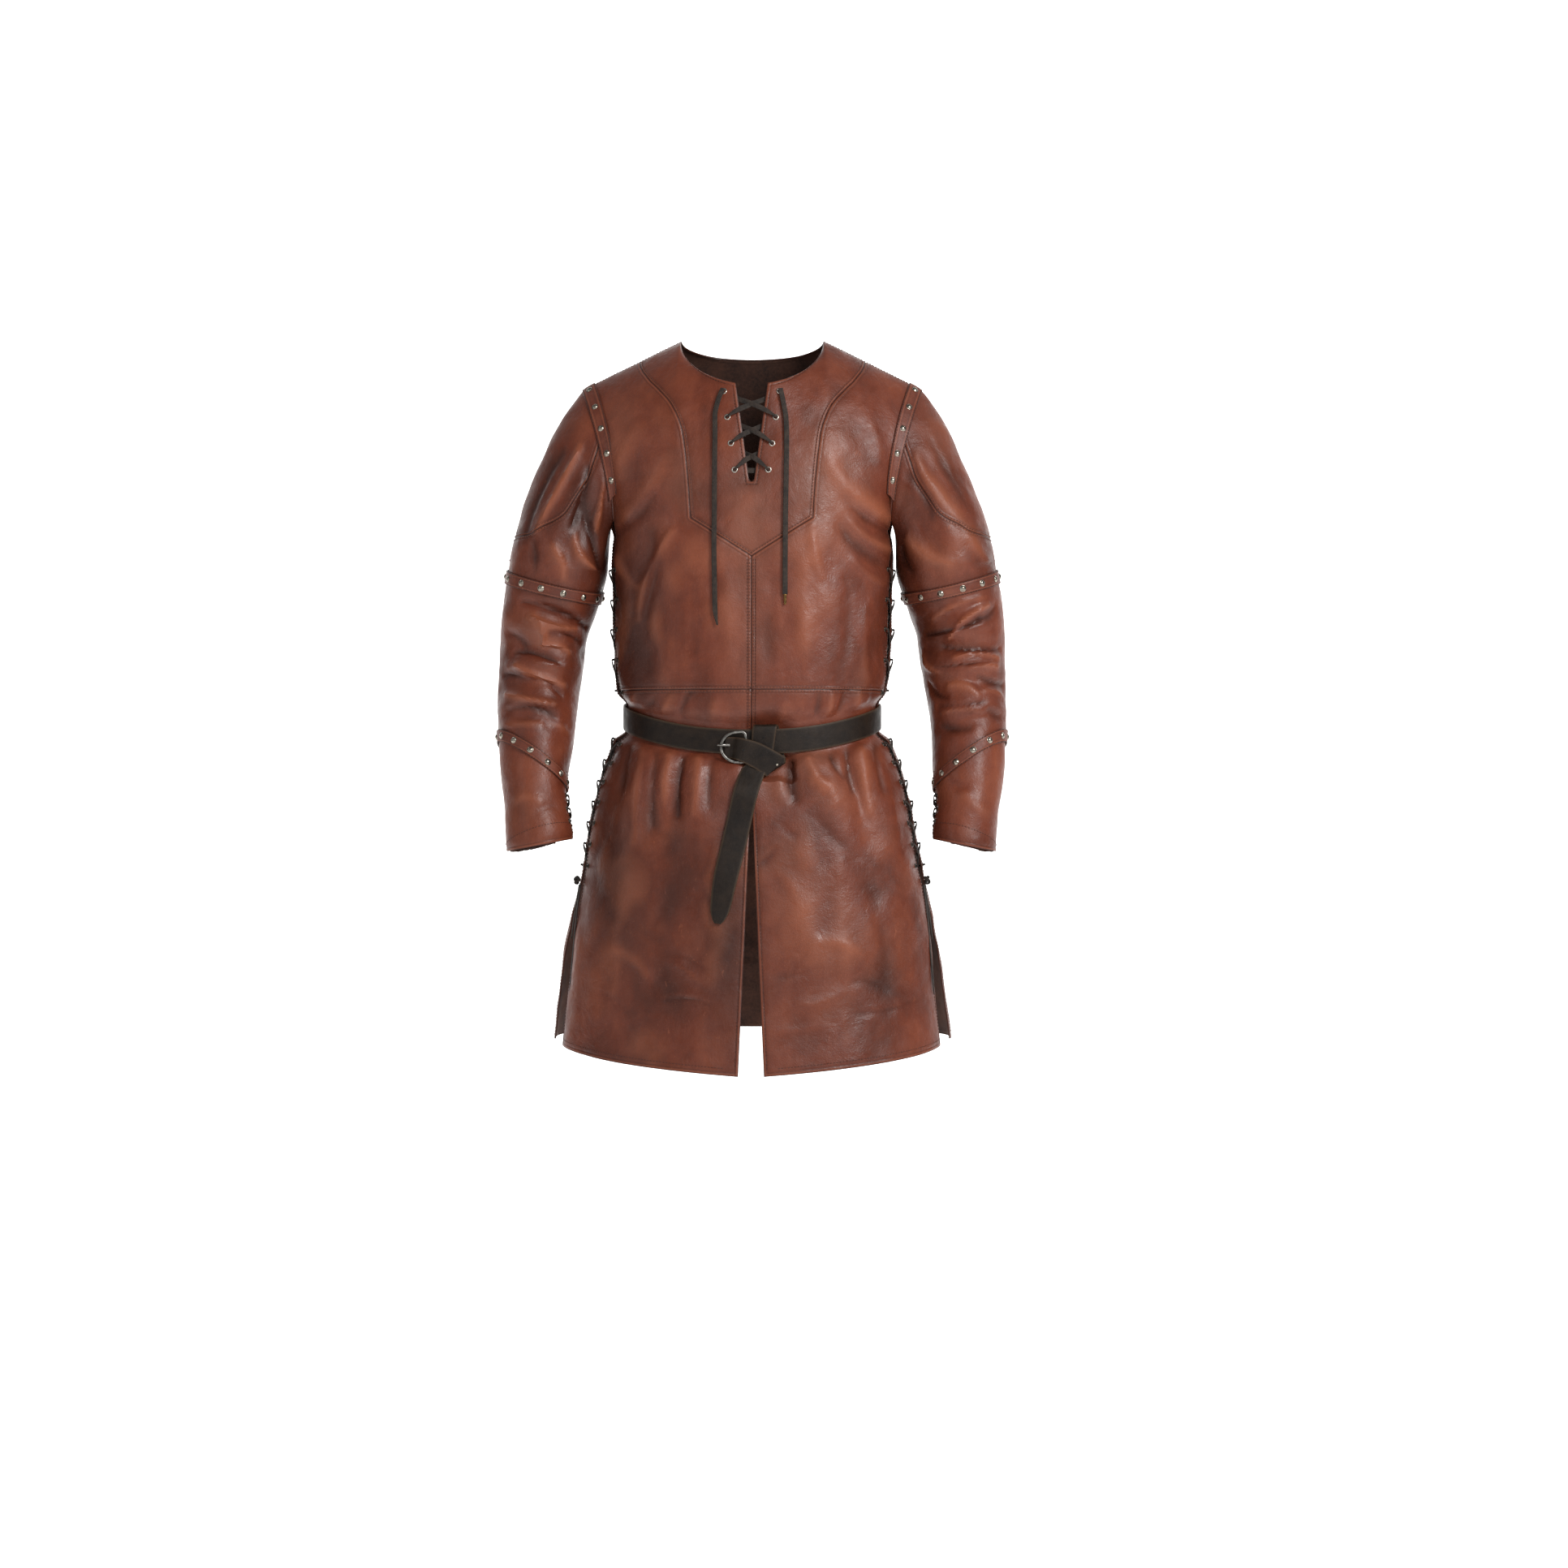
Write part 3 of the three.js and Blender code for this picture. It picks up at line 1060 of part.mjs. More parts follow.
// A point of the leather under the belt, across: -1 at the belt's lower edge and 1 at its upper one.
function beltPoint(theta, across, lift) {
  const isBack = Math.cos(theta) < 0;
  const point = bodyPoint(theta, BELT.height + (across * BELT.width) / 2, isBack, false);
  return point.add(V(Math.sin(theta), -Math.cos(theta), 0).multiplyScalar(lift));
}
const beltTurns = range(BELT.columns).map((i) => (i * 2 * Math.PI) / BELT.columns);
const beltEdge = (across, lift) => beltTurns.map((t) => beltPoint(t, across, lift));
const beltFace = (lift) => [beltEdge(-1, lift), beltEdge(1, lift)];
add("belt", wall(beltFace(BELT.lift + BELT.thickness), beltFace(BELT.lift), true), "strap");

// ---------------------------------------------------------------- free lace ends

// A strap or lace that hangs on the front: its middle line in the front view, dense enough to follow it.
function hangingPath(rows, lift) {
  const alongX = curveOf(rows, "z", "x");
  const [top, bottom] = [rows[0].z, rows.at(-1).z];
  const steps = Math.ceil((top - bottom) / LACE_END_STEP);
  return range(steps + 1).map((i) => {
    const z = lerp(top, bottom, i / steps);
    const { point, normal } = onFront(alongX(z), z);
    return { point: point.addScaledVector(normal, lift), normal };
  });
}

// Stations of a strip whose flat face lies on what is under it.
function flatStations(path, halfWidthOf, thickness) {
  return path.map(({ point, normal }, i) => {
    const before = path[Math.max(i - 1, 0)].point;
    const after = path[Math.min(i + 1, path.length - 1)].point;
    const along = after.clone().sub(before).normalize();
    const across = along.clone().cross(normal).normalize().multiplyScalar(halfWidthOf(i));
    return { middle: point, across, thick: normal.clone().multiplyScalar(thickness / 2) };
  });
}

const laceEndLift = laceHeight(NECK_LACE) + SEAM_GAP + NECK_LACE.thickness / 2;
for (const { side } of SIDES) {
  const rows = NECK_LACE_ENDS[side];
  const path = hangingPath(rows, laceEndLift);
  const tapers = side === "right";
  const last = path.length - 1;
  const half = (i) => (NECK_LACE.width / 2) * (tapers ? clamp((last - i) / 2 + 0.35, 0.35, 1) : 1);
  add(`neck_lace_end_${side}`, strip(flatStations(path, half, NECK_LACE.thickness)), "lace");
  if (tapers) continue;
  const { point, normal } = path[last];
  const top = point.clone().add(V(0, 0, -SEAM_GAP));
  const bottom = top.clone().add(V(0, 0, -AGLET.length));
  const ends = [top, bottom].map((p) => ({ point: p, normal }));
  add("neck_lace_aglet", strip(flatStations(ends, () => AGLET.halfWidth, 2 * AGLET.halfDepth)), "metal");
}

const sidePlace = (share, level, lift) => {
  const v = (level - ARMPIT_HEIGHT) / (ARMPIT_HEIGHT - HEM_HEIGHT);
  const normal = sheetNormal(Math.min(share, 1), v, false);
  return { point: sheetPoint(share, v, false).addScaledVector(normal, lift), normal };
};
const knotLift = SIDE_KNOT.radius * SIDE_KNOT.flatten + SIDE_KNOT.clear;
const knotAt = sidePlace(SIDE_KNOT.share, SIDE_KNOT.level, knotLift);
const knotBall = new THREE.SphereGeometry(SIDE_KNOT.radius, 8, 6).scale(1, SIDE_KNOT.flatten, 1);
knotBall.applyQuaternion(new THREE.Quaternion().setFromUnitVectors(V(0, 1, 0), knotAt.normal));
knotBall.translate(knotAt.point.x, knotAt.point.y, knotAt.point.z);
const knot = fromGeometry(knotBall);
addPair("side_knot", knot, "lace");
// The first end lies just off the leather, and the second just off the first.
const SIDE_END_LIFT = 1.1;
const SIDE_END_STEP = 0.6;
SIDE_LACE_ENDS.forEach((rows, n) => {
  const shareAt = curveOf(rows, "level", "share");
  const [top, bottom] = [rows[0].level, rows.at(-1).level];
  const steps = Math.ceil((top - bottom) / LACE_END_STEP);
  const path = range(steps + 1).map((i) => {
    const level = lerp(top, bottom, i / steps);
    return sidePlace(shareAt(level), level, SIDE_END_LIFT + n * SIDE_END_STEP);
  });
  addPair(`side_lace_end_${n + 1}`, strip(flatStations(path, () => LACE.width / 2, LACE.thickness)), "lace");
});

// ---------------------------------------------------------------- buckle and knotted tail

const frameOutline = (shrink) => {
  const [w, h] = [BUCKLE.halfWidth - shrink, BUCKLE.halfHeight - shrink];
  const curve = range(9).map((i) => {
    const t = Math.PI / 2 + (i * Math.PI) / 8;
    return new THREE.Vector2(w * (1.35 * Math.cos(t) + 0.35), h * Math.sin(t));
  });
  return [new THREE.Vector2(w, h * 0.92), ...curve, new THREE.Vector2(w, -h * 0.92)];
};
const frameShape = new THREE.Shape(frameOutline(0));
frameShape.holes.push(new THREE.Path(frameOutline(BUCKLE.bar)));
const frame = new THREE.ExtrudeGeometry(frameShape, { depth: BUCKLE.depth, bevelEnabled: false });
frame.rotateX(Math.PI / 2).translate(BUCKLE.x, BUCKLE.y, BUCKLE.z);
add("buckle", fromGeometry(frame), "metal");
const prongEnds = [
  { x: PRONG.left, y: PRONG.y },
  { x: PRONG.bend, y: PRONG.y },
  { x: PRONG.right, y: PRONG.y + PRONG.dip },
];
const prong = prongEnds.map(({ x, y }) => ({
  middle: V(x, y, PRONG.z),
  across: V(0, 0, PRONG_HALF_HEIGHT),
  thick: V(0, PRONG_THICKNESS / 2, 0),
}));
add("buckle_prong", strip(prong), "metal");

const tailStations = (rows) =>
  rows.map(({ x, y, z, dx, dy, dz }, i) => {
    const at = (r) => V(r.x, r.y, r.z);
    const along = at(rows[Math.min(i + 1, rows.length - 1)]).sub(at(rows[Math.max(i - 1, 0)]));
    const across = V(dx, dy, dz);
    return { middle: V(x, y, z), across, thick: along.cross(across).normalize().multiplyScalar(STRAP_HALF) };
  });
const hang = TAIL_HANG.map(({ x, z, lift }) => {
  const { point, normal } = onFront(x, z);
  return { point: point.addScaledVector(normal, lift), normal };
});
const hangStations = flatStations(hang, (i) => TAIL_HANG[i].half, 2 * STRAP_HALF).map((station) => ({
  ...station,
  across: station.across.x > 0 ? station.across : station.across.negate(),
  thick: station.thick.y < 0 ? station.thick : station.thick.negate(),
}));
const hangingTail = foldedStrip([...tailStations(TAIL_LOOP), ...hangStations]);
add("belt_tail", foldedStrip(tailStations(TAIL_FRONT)).add(hangingTail), "strap");

export default tunic;
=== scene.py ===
# The looks of a laced leather tunic with studded bands and its own knotted belt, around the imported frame.
# Forms are worked out in millimetres, from the same sizes as the part's solids, and become metres where a
# mesh is made. +Z is up, the wearer faces -Y, and +X is the wearer's left.
import math

import bpy
import numpy as np
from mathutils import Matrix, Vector


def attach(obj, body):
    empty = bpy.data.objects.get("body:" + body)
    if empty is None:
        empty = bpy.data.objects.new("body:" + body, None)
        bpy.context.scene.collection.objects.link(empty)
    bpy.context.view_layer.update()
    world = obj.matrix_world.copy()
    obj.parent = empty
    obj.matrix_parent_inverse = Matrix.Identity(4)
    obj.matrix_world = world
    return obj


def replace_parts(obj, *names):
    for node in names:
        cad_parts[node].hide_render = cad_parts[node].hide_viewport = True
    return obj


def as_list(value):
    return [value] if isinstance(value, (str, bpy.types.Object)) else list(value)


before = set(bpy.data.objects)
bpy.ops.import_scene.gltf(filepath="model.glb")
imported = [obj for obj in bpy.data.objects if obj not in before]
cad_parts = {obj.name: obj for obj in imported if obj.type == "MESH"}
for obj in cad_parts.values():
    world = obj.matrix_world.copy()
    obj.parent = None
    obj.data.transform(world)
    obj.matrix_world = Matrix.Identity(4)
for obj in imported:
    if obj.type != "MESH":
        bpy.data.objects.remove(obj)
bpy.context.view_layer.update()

MM = 0.001

# ---------------------------------------------------------------- camera

CAMERA_PLACE = (0.042, -4.3, -0.587)
CAMERA_LENS = 74.5
SENSOR_WIDTH = 36.0

camera = bpy.data.objects.new("camera", bpy.data.cameras.new("camera"))
bpy.context.scene.collection.objects.link(camera)
camera.location = CAMERA_PLACE
camera.rotation_euler = (math.pi / 2, 0, 0)
camera.data.lens = CAMERA_LENS
camera.data.sensor_width = SENSOR_WIDTH
bpy.context.scene.camera = camera

# ---------------------------------------------------------------- driving sizes, in millimetres

LEATHER = 1.8  # wall thickness of every panel
SEAM_GAP = 0.3  # between two pieces that are sewn together
HALF_GAP = SEAM_GAP / 2
ARMPIT_HEIGHT = -240
HEM_HEIGHT = -922  # back hem and side corners of the fronts
FRONT_HEM_DROP = 38  # how much lower the front hem is at its middle
HEM_TURN = 92  # degrees from the front at which the front hem would be level with the back's
HEM_DROP_REACH = 280  # how far above the hem the fronts begin to lengthen
WAIST_SEAM_HEIGHT = -465
SECTION_POWER = 0.851  # 1 is an ellipse, smaller is boxier
FRONT_EDGE = 75.5  # degrees round from the front to the laced edge of a front panel
BACK_EDGE = 83.5  # degrees round from the front to the laced edge of the back panel
NECK = {"half_width": 94, "front_drop": 67, "back_drop": 16, "y": 5, "front_reach": 93, "back_reach": 63}
SHOULDER = (217, 5, -60)
NECK_SHARE = 0.45  # share of a sheet's half width that ends at the neckline
BELT = {"width": 32, "thickness": 2.8, "lift": 1.1, "height": -497}
# How the belt dips at the front and rises at the back, how far above and below it the leather is drawn
# along with it, and within what distance of its middle it holds the folds flat.
BELT_PULL = {"front_dip": 38, "dip_power": 3.2, "back_rise": 7, "drawn": 62, "gripped": 24}
DENT_EDGE = 10
# How the front (False) and back (True) sheets turn in from the armpits to the neckline and the shoulder
# seams: powers of the height's share, and how far the middle of the armhole's edge stands behind its chord.
TURN_IN = {
    False: {"power": 2.2, "root": 0.59, "armhole": -24, "share": 3, "armhole_root": 0.9},
    True: {"power": 2.6, "root": 0.5, "armhole": 84, "share": 3.5, "armhole_root": 0.6},
}
FLAT_POWER = 1.7
WIDTH_POWER = 1.8


def table(columns, *rows):
    """Rows with named columns."""
    names = columns.split()
    return [dict(zip(names, row)) for row in rows]


# Where the belt's tail passes behind the belt and folds below it, the leather under it is pressed in.
TAIL_DENTS = table("x reach depth top bottom", (23, 28, 7.5, -470, -534), (24, 29, 15, -518, -567))

# Level sections of the body and skirt.
SECTIONS = table(
    "height half_width front back",
    (-925, 256, 180, 182),
    (-860, 248, 170, 174),
    (-768, 237, 158, 164),
    (-684, 222, 146, 152),
    (-598, 206, 135, 138),
    (-565, 198, 130, 130),
    (-546, 190, 127, 122),
    (-528, 182, 121, 112),
    (-514, 167, 113, 102),
    (-480, 167, 113, 102),
    (-464, 178.5, 124, 111),
    (-430, 182.5, 127, 115),
    (-366, 184, 124, 115),
    (-300, 185.5, 121, 117),
    (-240, 184.5, 118, 117),
)
BACK_FLARE = table("height extra", (-925, 8), (-768, 4), (-700, 0), (-240, 0))
ARM = table(
    "height x y half_width half_depth tilt",
    (-662, 277.5, -54, 42.5, 46, 8),
    (-624, 282.5, -44, 40.5, 46, 3),
    (-570, 285.5, -28, 45.5, 50, 0),
    (-521, 285.5, -14, 50, 54, 0),
    (-478, 283.5, -2, 53, 58, 0),
    (-430, 280, 8, 56, 62, 0),
    (-385, 275.5, 11, 58, 64, 0),
    (-345, 267.5, 9, 62.5, 66, 0),
    (-300, 257, 4, 66, 68, 0),
)
ARM_TOP = -300
WRIST = -667
SLEEVE_HEAD = {"x": (0.93, 0.78), "z": (-0.37, -0.62), "leave": (92, 34), "arrive": (205, 60)}
ELBOW_BAND = {"row": 1.072, "half_width": 8.5, "lean": 0}
FOREARM_BAND = {"row": 1.705, "half_width": 8.5, "lean": 0.088}

# The large folds of the body, as in the solids. around: degrees from the front, + to the wearer's left.
BODY_FOLDS = table(
    "u v to_u to_v width rise",
    (-26, -545, -30, -690, 17, -6),
    (-15, -548, -16, -700, 16, 4),
    (-44, -525, -50, -760, 24, 6),
    (37, -525, 41, -660, 13, -6),
    (26, -545, 27, -700, 22, 5),
    (52, -520, 58, -760, 24, 5),
    (-36, -500, -32, -455, 12, -4),
    (38, -495, 45, -450, 12, -4),
    (-72, -300, -38, -440, 20, 4),
    (72, -300, 40, -420, 20, 4),
    (135, -500, 138, -860, 30, 8),
    (160, -500, 159, -820, 24, -6),
    (182, -505, 180, -880, 30, 7),
    (206, -500, 204, -820, 24, -6),
    (228, -500, 224, -860, 30, 8),
    (150, -300, 168, -440, 20, 4),
    (210, -300, 192, -440, 20, 4),
)
FOLD_MM_PER_DEGREE = 2.9
FOLD_TAPER = 0.12
# The large folds of a sleeve. u: degrees from the outer side over the front, v: rows.
SLEEVE_FOLDS = table(
    "u v to_u to_v width rise",
    (96, 0.15, 70, 0.98, 13, 5),
    (118, 0.3, 100, 1.0, 11, -5),
    (40, 0.3, 52, 0.95, 15, 3),
    (150, 1.18, 70, 1.12, 10, -5),
    (160, 1.26, 30, 1.2, 11, 5),
    (165, 1.3, 20, 1.3, 9, -5),
    (160, 1.36, 20, 1.4, 10, 4),
    (165, 1.44, 25, 1.47, 8, -4),
    (155, 1.53, 15, 1.54, 9, 4),
    (150, 1.62, 40, 1.57, 8, -4),
    (205, 1.28, 320, 1.24, 12, 5),
    (200, 1.4, 330, 1.36, 11, -4),
    (205, 1.5, 320, 1.5, 11, 4),
)
SLEEVE_MM_PER_ROW = {"upper": 150, "lower": 372}
BAND_GRIP = 0.045

YOKE_OUTLINE = [
    (0, -293),
    (79, -243),
    (82, -200),
    (86, -157),
    (92, -121),
    (105, -92),
    (123, -70),
    (137, -54),
    (150, -25),
    (152, 60),
]
CAP_OUTLINE = [
    (150, -88),
    (186, -108),
    (205, -158),
    (215, -188),
    (232, -215),
    (246, -235),
    (271, -249),
    (293, -259),
    (360, -266),
]
NECK_SLIT = {"bottom": -196, "bottom_half": 2.8, "spread": 0.138}
FRONT_SLIT = {"top": -622, "top_half": 0.8, "spread": 0.0457}
NECK_LACING = {"first": -181, "step": 34.7, "rows": 4, "inset": 17}
SIDE_LACING = [(-306, -39, 5), (-528, -27.6, 7)]
SIDE_INSET = 10
CUFF_LACING = {"first": 1.845, "step": 0.055, "rows": 3, "inset": 7, "half_slit": 5}
EYELET_THICKNESS = 0.8
# spread: how far two crossing strands stand from the level between them.
SIDE_LACE = {"width": 5, "thickness": 1.4, "in_hole": 2.9, "clear": 1.8, "spread": 0.95, "hugs": False}
CUFF_LACE = {**SIDE_LACE, "clear": 0.9, "hugs": True}
NECK_LACE = {"width": 6.6, "thickness": 1.6, "in_hole": 2.6, "clear": 0.95, "spread": 0.95, "hugs": True}

# ---------------------------------------------------------------- small helpers


def smooth(t):
    """0 to 1 with level ends."""
    t = np.clip(t, 0, 1)
    return t * t * (3 - 2 * t)


def lerp(a, b, t):
    return a + (b - a) * t


def unit(v):
    return v / np.maximum(np.linalg.norm(v, axis=-1, keepdims=True), 1e-12)


def dot(a, b):
    return (a * b).sum(-1, keepdims=True)


def signed_power(v, p):
    return np.sign(v) * np.abs(v) ** p


def stack(x, y, z):
    return np.stack(np.broadcast_arrays(x, y, z), -1).astype(float)


def curve_of(rows, along, column):
    """A smooth curve through one column of a table, which never overshoots between two rows."""
    ordered = sorted(rows, key=lambda row: row[along])
    xs = np.array([row[along] for row in ordered], float)
    ys = np.array([row[column] for row in ordered], float)
    secant = np.diff(ys) / np.diff(xs)
    a, b = secant[:-1], secant[1:]
    same_way = a * b > 0
    inner = np.where(same_way, 2 * a * b / np.where(same_way, a + b, 1), 0)
    slope = np.concatenate([secant[:1], inner, secant[-1:]])

    def at(x):
        x = np.clip(x, xs[0], xs[-1])
        i = np.clip(np.searchsorted(xs, x, side="right") - 1, 0, len(xs) - 2)
        span = xs[i + 1] - xs[i]
        t = (x - xs[i]) / span
        t2, t3 = t * t, t * t * t
        start = (2 * t3 - 3 * t2 + 1) * ys[i] + (t3 - 2 * t2 + t) * span * slope[i]
        return start + (3 * t2 - 2 * t3) * ys[i + 1] + (t3 - t2) * span * slope[i + 1]

    return at


def fold_rise(u, v, to_u, to_v, width, rise):
    """Height of one large fold at u, v from its start, in the sheet's own millimetres."""
    length = math.hypot(to_u, to_v)
    along = (u * to_u + v * to_v) / length
    off = (u * to_v - v * to_u) / length
    past = np.maximum(np.maximum(-along, along - length), 0)
    taper = np.sin(math.pi * np.clip(along / length, FOLD_TAPER, 1 - FOLD_TAPER))
    return rise * taper * np.exp(-((off / width) ** 2) - (past / width) ** 2)


def crease_rise(u, v, rows):
    """Height of small creases: soft ridges or troughs, bowed sideways, highest near their middle."""
    total = np.zeros(np.broadcast(u, v).shape)
    for row in rows:
        du, dv = row["to_u"] - row["u"], row["to_v"] - row["v"]
        at_u, at_v = u - row["u"], v - row["v"]
        length = math.hypot(du, dv)
        t = (at_u * du + at_v * dv) / length**2
        near = np.clip(t, 0, 1)
        off = (at_u * dv - at_v * du) / length - row["bow"] * 4 * near * (1 - near)
        past = np.maximum(np.maximum(-t, t - 1), 0) * length
        away = (off**2 + past**2) / row["width"] ** 2
        swell = 0.45 + 0.55 * np.sin(math.pi * (0.12 + 0.76 * near))
        total += row["rise"] * swell / (1 + away) ** 2
    return total


# ---------------------------------------------------------------- body and skirt sheets

half_width_at = curve_of(SECTIONS, "height", "half_width")
front_at = curve_of(SECTIONS, "height", "front")
back_at = curve_of(SECTIONS, "height", "back")
flare_at = curve_of(BACK_FLARE, "height", "extra")


def belt_dip(theta):
    """How far the belt lies above its mean height, round the body."""
    facing = (1 + np.cos(theta)) / 2
    return BELT_PULL["back_rise"] * (1 - facing) - BELT_PULL["front_dip"] * facing ** BELT_PULL["dip_power"]


def body_fold(theta, z):
    """How far the body's large folds stand out."""
    total = 0
    for f in BODY_FOLDS:
        turn = np.degrees(theta) - f["u"]
        u = (turn - 360 * np.round(turn / 360)) * FOLD_MM_PER_DEGREE
        to_u = (f["to_u"] - f["u"]) * FOLD_MM_PER_DEGREE
        total = total + fold_rise(u, z - f["v"], to_u, f["to_v"] - f["v"], f["width"], f["rise"])
    return total


def tail_dent(x, level):
    """How far the belt's tail presses the leather in."""
    deepest = 0
    for d in TAIL_DENTS:
        within = smooth((d["top"] - level) / DENT_EDGE + 1) * smooth((level - d["bottom"]) / DENT_EDGE + 1)
        deepest = np.maximum(deepest, d["depth"] * within * np.exp(-(((x - d["x"]) / d["reach"]) ** 4)))
    return deepest


def body_point(theta, level, is_back, under_tail=True):
    """A point of the body's outer surface below the armholes, before small creases."""
    theta, level = np.broadcast_arrays(np.asarray(theta, float), np.asarray(level, float))
    lengthened = 1 - smooth((level - HEM_HEIGHT) / HEM_DROP_REACH)
    hem = 0 if is_back else -FRONT_HEM_DROP * lengthened * (1 - np.abs(np.degrees(theta)) / HEM_TURN)
    near_belt = np.exp(-(((level - BELT["height"]) / BELT_PULL["drawn"]) ** 2))
    z = level + belt_dip(theta) * near_belt + hem
    sin, cos = np.sin(theta), np.cos(theta)
    half_width = half_width_at(level) + (flare_at(level) if is_back else 0)
    depth = np.where(cos > 0, front_at(level), back_at(level))
    x = half_width * signed_power(sin, SECTION_POWER)
    y = -depth * signed_power(cos, SECTION_POWER)
    free = 1 - np.exp(-(((level - BELT["height"]) / BELT_PULL["gripped"]) ** 4))
    pressed = tail_dent(x, level) if under_tail and not is_back else 0
    out = body_fold(theta, z) * free - pressed
    return stack(x + sin * out, y - cos * out, z)


def sheet_angle(s, is_back):
    return math.pi - s * math.radians(180 - BACK_EDGE) if is_back else s * math.radians(FRONT_EDGE)


def top_edge(s, is_back):
    """The neckline and the shoulder seam across a sheet."""
    share = np.abs(s)
    turn = (math.pi / 2) * np.clip(share / NECK_SHARE, 0, 1)
    drop = np.cos(turn)
    x = np.sign(s) * NECK["half_width"] * np.sin(turn)
    y = NECK["y"] + (NECK["back_reach"] if is_back else -NECK["front_reach"]) * drop
    z = -(NECK["back_drop"] if is_back else NECK["front_drop"]) * drop
    out = (share - NECK_SHARE) / (1 - NECK_SHARE)
    seam = stack(
        np.sign(s) * lerp(NECK["half_width"], SHOULDER[0], out),
        lerp(NECK["y"], SHOULDER[1], out),
        lerp(0, SHOULDER[2], out),
    )
    return np.where((share <= NECK_SHARE)[..., None], stack(x, y, z), seam)


def sheet_point(s, v, is_back):
    """A point of the front or back sheet. s: -1 at the wearer's right edge to 1 at the left. v: -1 at the
    hem, 0 at the armpits, 1 at the neckline and shoulder seams."""
    s, v = np.broadcast_arrays(np.asarray(s, float), np.asarray(v, float))
    theta = sheet_angle(s, is_back)
    below = body_point(theta, lerp(ARMPIT_HEIGHT, HEM_HEIGHT, np.maximum(-v, 0)), is_back)
    base = body_point(theta, np.full_like(theta, ARMPIT_HEIGHT), is_back)
    top = top_edge(s, is_back)
    turn = TURN_IN[is_back]
    up = np.clip(v, 0, 1)
    round_in = (1 - up ** turn["power"]) ** turn["root"]
    profile = lerp(1 - up**FLAT_POWER, round_in, smooth(np.abs(s) / NECK_SHARE))
    bulge = np.maximum(np.sin(math.pi * up), 0) ** turn["armhole_root"]
    armhole = turn["armhole"] * np.abs(s) ** turn["share"] * bulge
    x = lerp(base[..., 0], top[..., 0], up**WIDTH_POWER)
    z = lerp(base[..., 2], top[..., 2], up)
    y = lerp(top[..., 1], base[..., 1], profile) + armhole
    out = body_fold(theta, z) * -(np.abs(s) ** 6) * (1 - smooth(up * 2)) * up
    above = stack(x + np.sin(theta) * out, y - np.cos(theta) * out, z)
    return np.where((v <= 0)[..., None], below, above)


def sheet_normal(s, v, is_back):
    s, v = np.broadcast_arrays(np.asarray(s, float), np.asarray(v, float))
    step = 0.004
    s0, s1 = np.maximum(s - step, -1), np.minimum(s + step, 1)
    v0, v1 = np.clip(v - step, -1, 0.994), np.minimum(v + step, 0.999)
    across = sheet_point(s1, v, is_back) - sheet_point(s0, v, is_back)
    up = sheet_point(s, v1, is_back) - sheet_point(s, v0, is_back)
    normal = unit(np.cross(across, up))
    return -normal if is_back else normal


def on_front(x, z):
    """Where the front sheet is at x, z in the front view, as its s and v."""
    x, z = np.broadcast_arrays(np.asarray(x, float), np.asarray(z, float))
    reach = np.where(z > ARMPIT_HEIGHT, -ARMPIT_HEIGHT, ARMPIT_HEIGHT - HEM_HEIGHT)
    s = np.clip(x / SHOULDER[0], -0.95, 0.95)
    v = np.clip((z - ARMPIT_HEIGHT) / reach, -0.95, 0.95)
    step = 0.003
    for _ in range(14):
        p = sheet_point(s, v, False)
        ex, ez = x - p[..., 0], z - p[..., 2]
        ps = (sheet_point(s + step, v, False) - p) / step
        pv = (sheet_point(s, v - step, False) - p) / -step
        det = ps[..., 0] * pv[..., 2] - ps[..., 2] * pv[..., 0]
        s = np.clip(s + (ex * pv[..., 2] - ez * pv[..., 0]) / det, -1, 1)
        v = np.clip(v + (ez * ps[..., 0] - ex * ps[..., 2]) / det, -1, 0.99)
    return s, v


# ---------------------------------------------------------------- sleeves

arm_at = {name: curve_of(ARM, "height", name) for name in ("x", "y", "half_width", "half_depth", "tilt")}
ARMHOLE_STEPS = 48
hole_v = 1 - (1 - np.linspace(0, 1, ARMHOLE_STEPS + 1)) ** 1.5
armhole_loop = np.concatenate([sheet_point(1, hole_v, False)[::-1], sheet_point(1, hole_v, True)])
hole_lengths = np.concatenate([[0], np.cumsum(np.linalg.norm(np.diff(armhole_loop, axis=0), axis=1))])
hole_angles = 360 * hole_lengths / hole_lengths[-1]
hole_sheet_v = np.concatenate([hole_v[::-1], hole_v])
HOLE_TURN_BACK = float(hole_angles[ARMHOLE_STEPS])


def armhole_point(angle):
    return np.stack([np.interp(angle % 360, hole_angles, armhole_loop[:, k]) for k in range(3)], -1)


def ring_point(angle, height):
    """A point of a ring of the left sleeve below the upper arm, and the way down the arm."""

    def middle(h):
        return stack(arm_at["x"](h), arm_at["y"](h), h)

    down = unit(middle(height - 4) - middle(height + 4))
    side = np.broadcast_to(np.array([1.0, 0, 0]), down.shape)
    outer = unit(side - down * down[..., :1])
    front = unit(np.cross(down, outer))
    point = middle(height)
    point = point + outer * (arm_at["half_width"](height) * np.cos(angle))[..., None]
    point = point + front * (arm_at["half_depth"](height) * np.sin(angle))[..., None]
    point[..., 2] -= arm_at["tilt"](height) * np.cos(angle)
    return point, down


def row_height(row):
    return ARM_TOP + (row - 1) * (WRIST - ARM_TOP)


def band_row(band, around):
    return band["row"] - band["lean"] * np.cos(np.radians(around))


def row_mm(row):
    return (row - 1) * np.where(np.asarray(row) < 1, SLEEVE_MM_PER_ROW["upper"], SLEEVE_MM_PER_ROW["lower"])


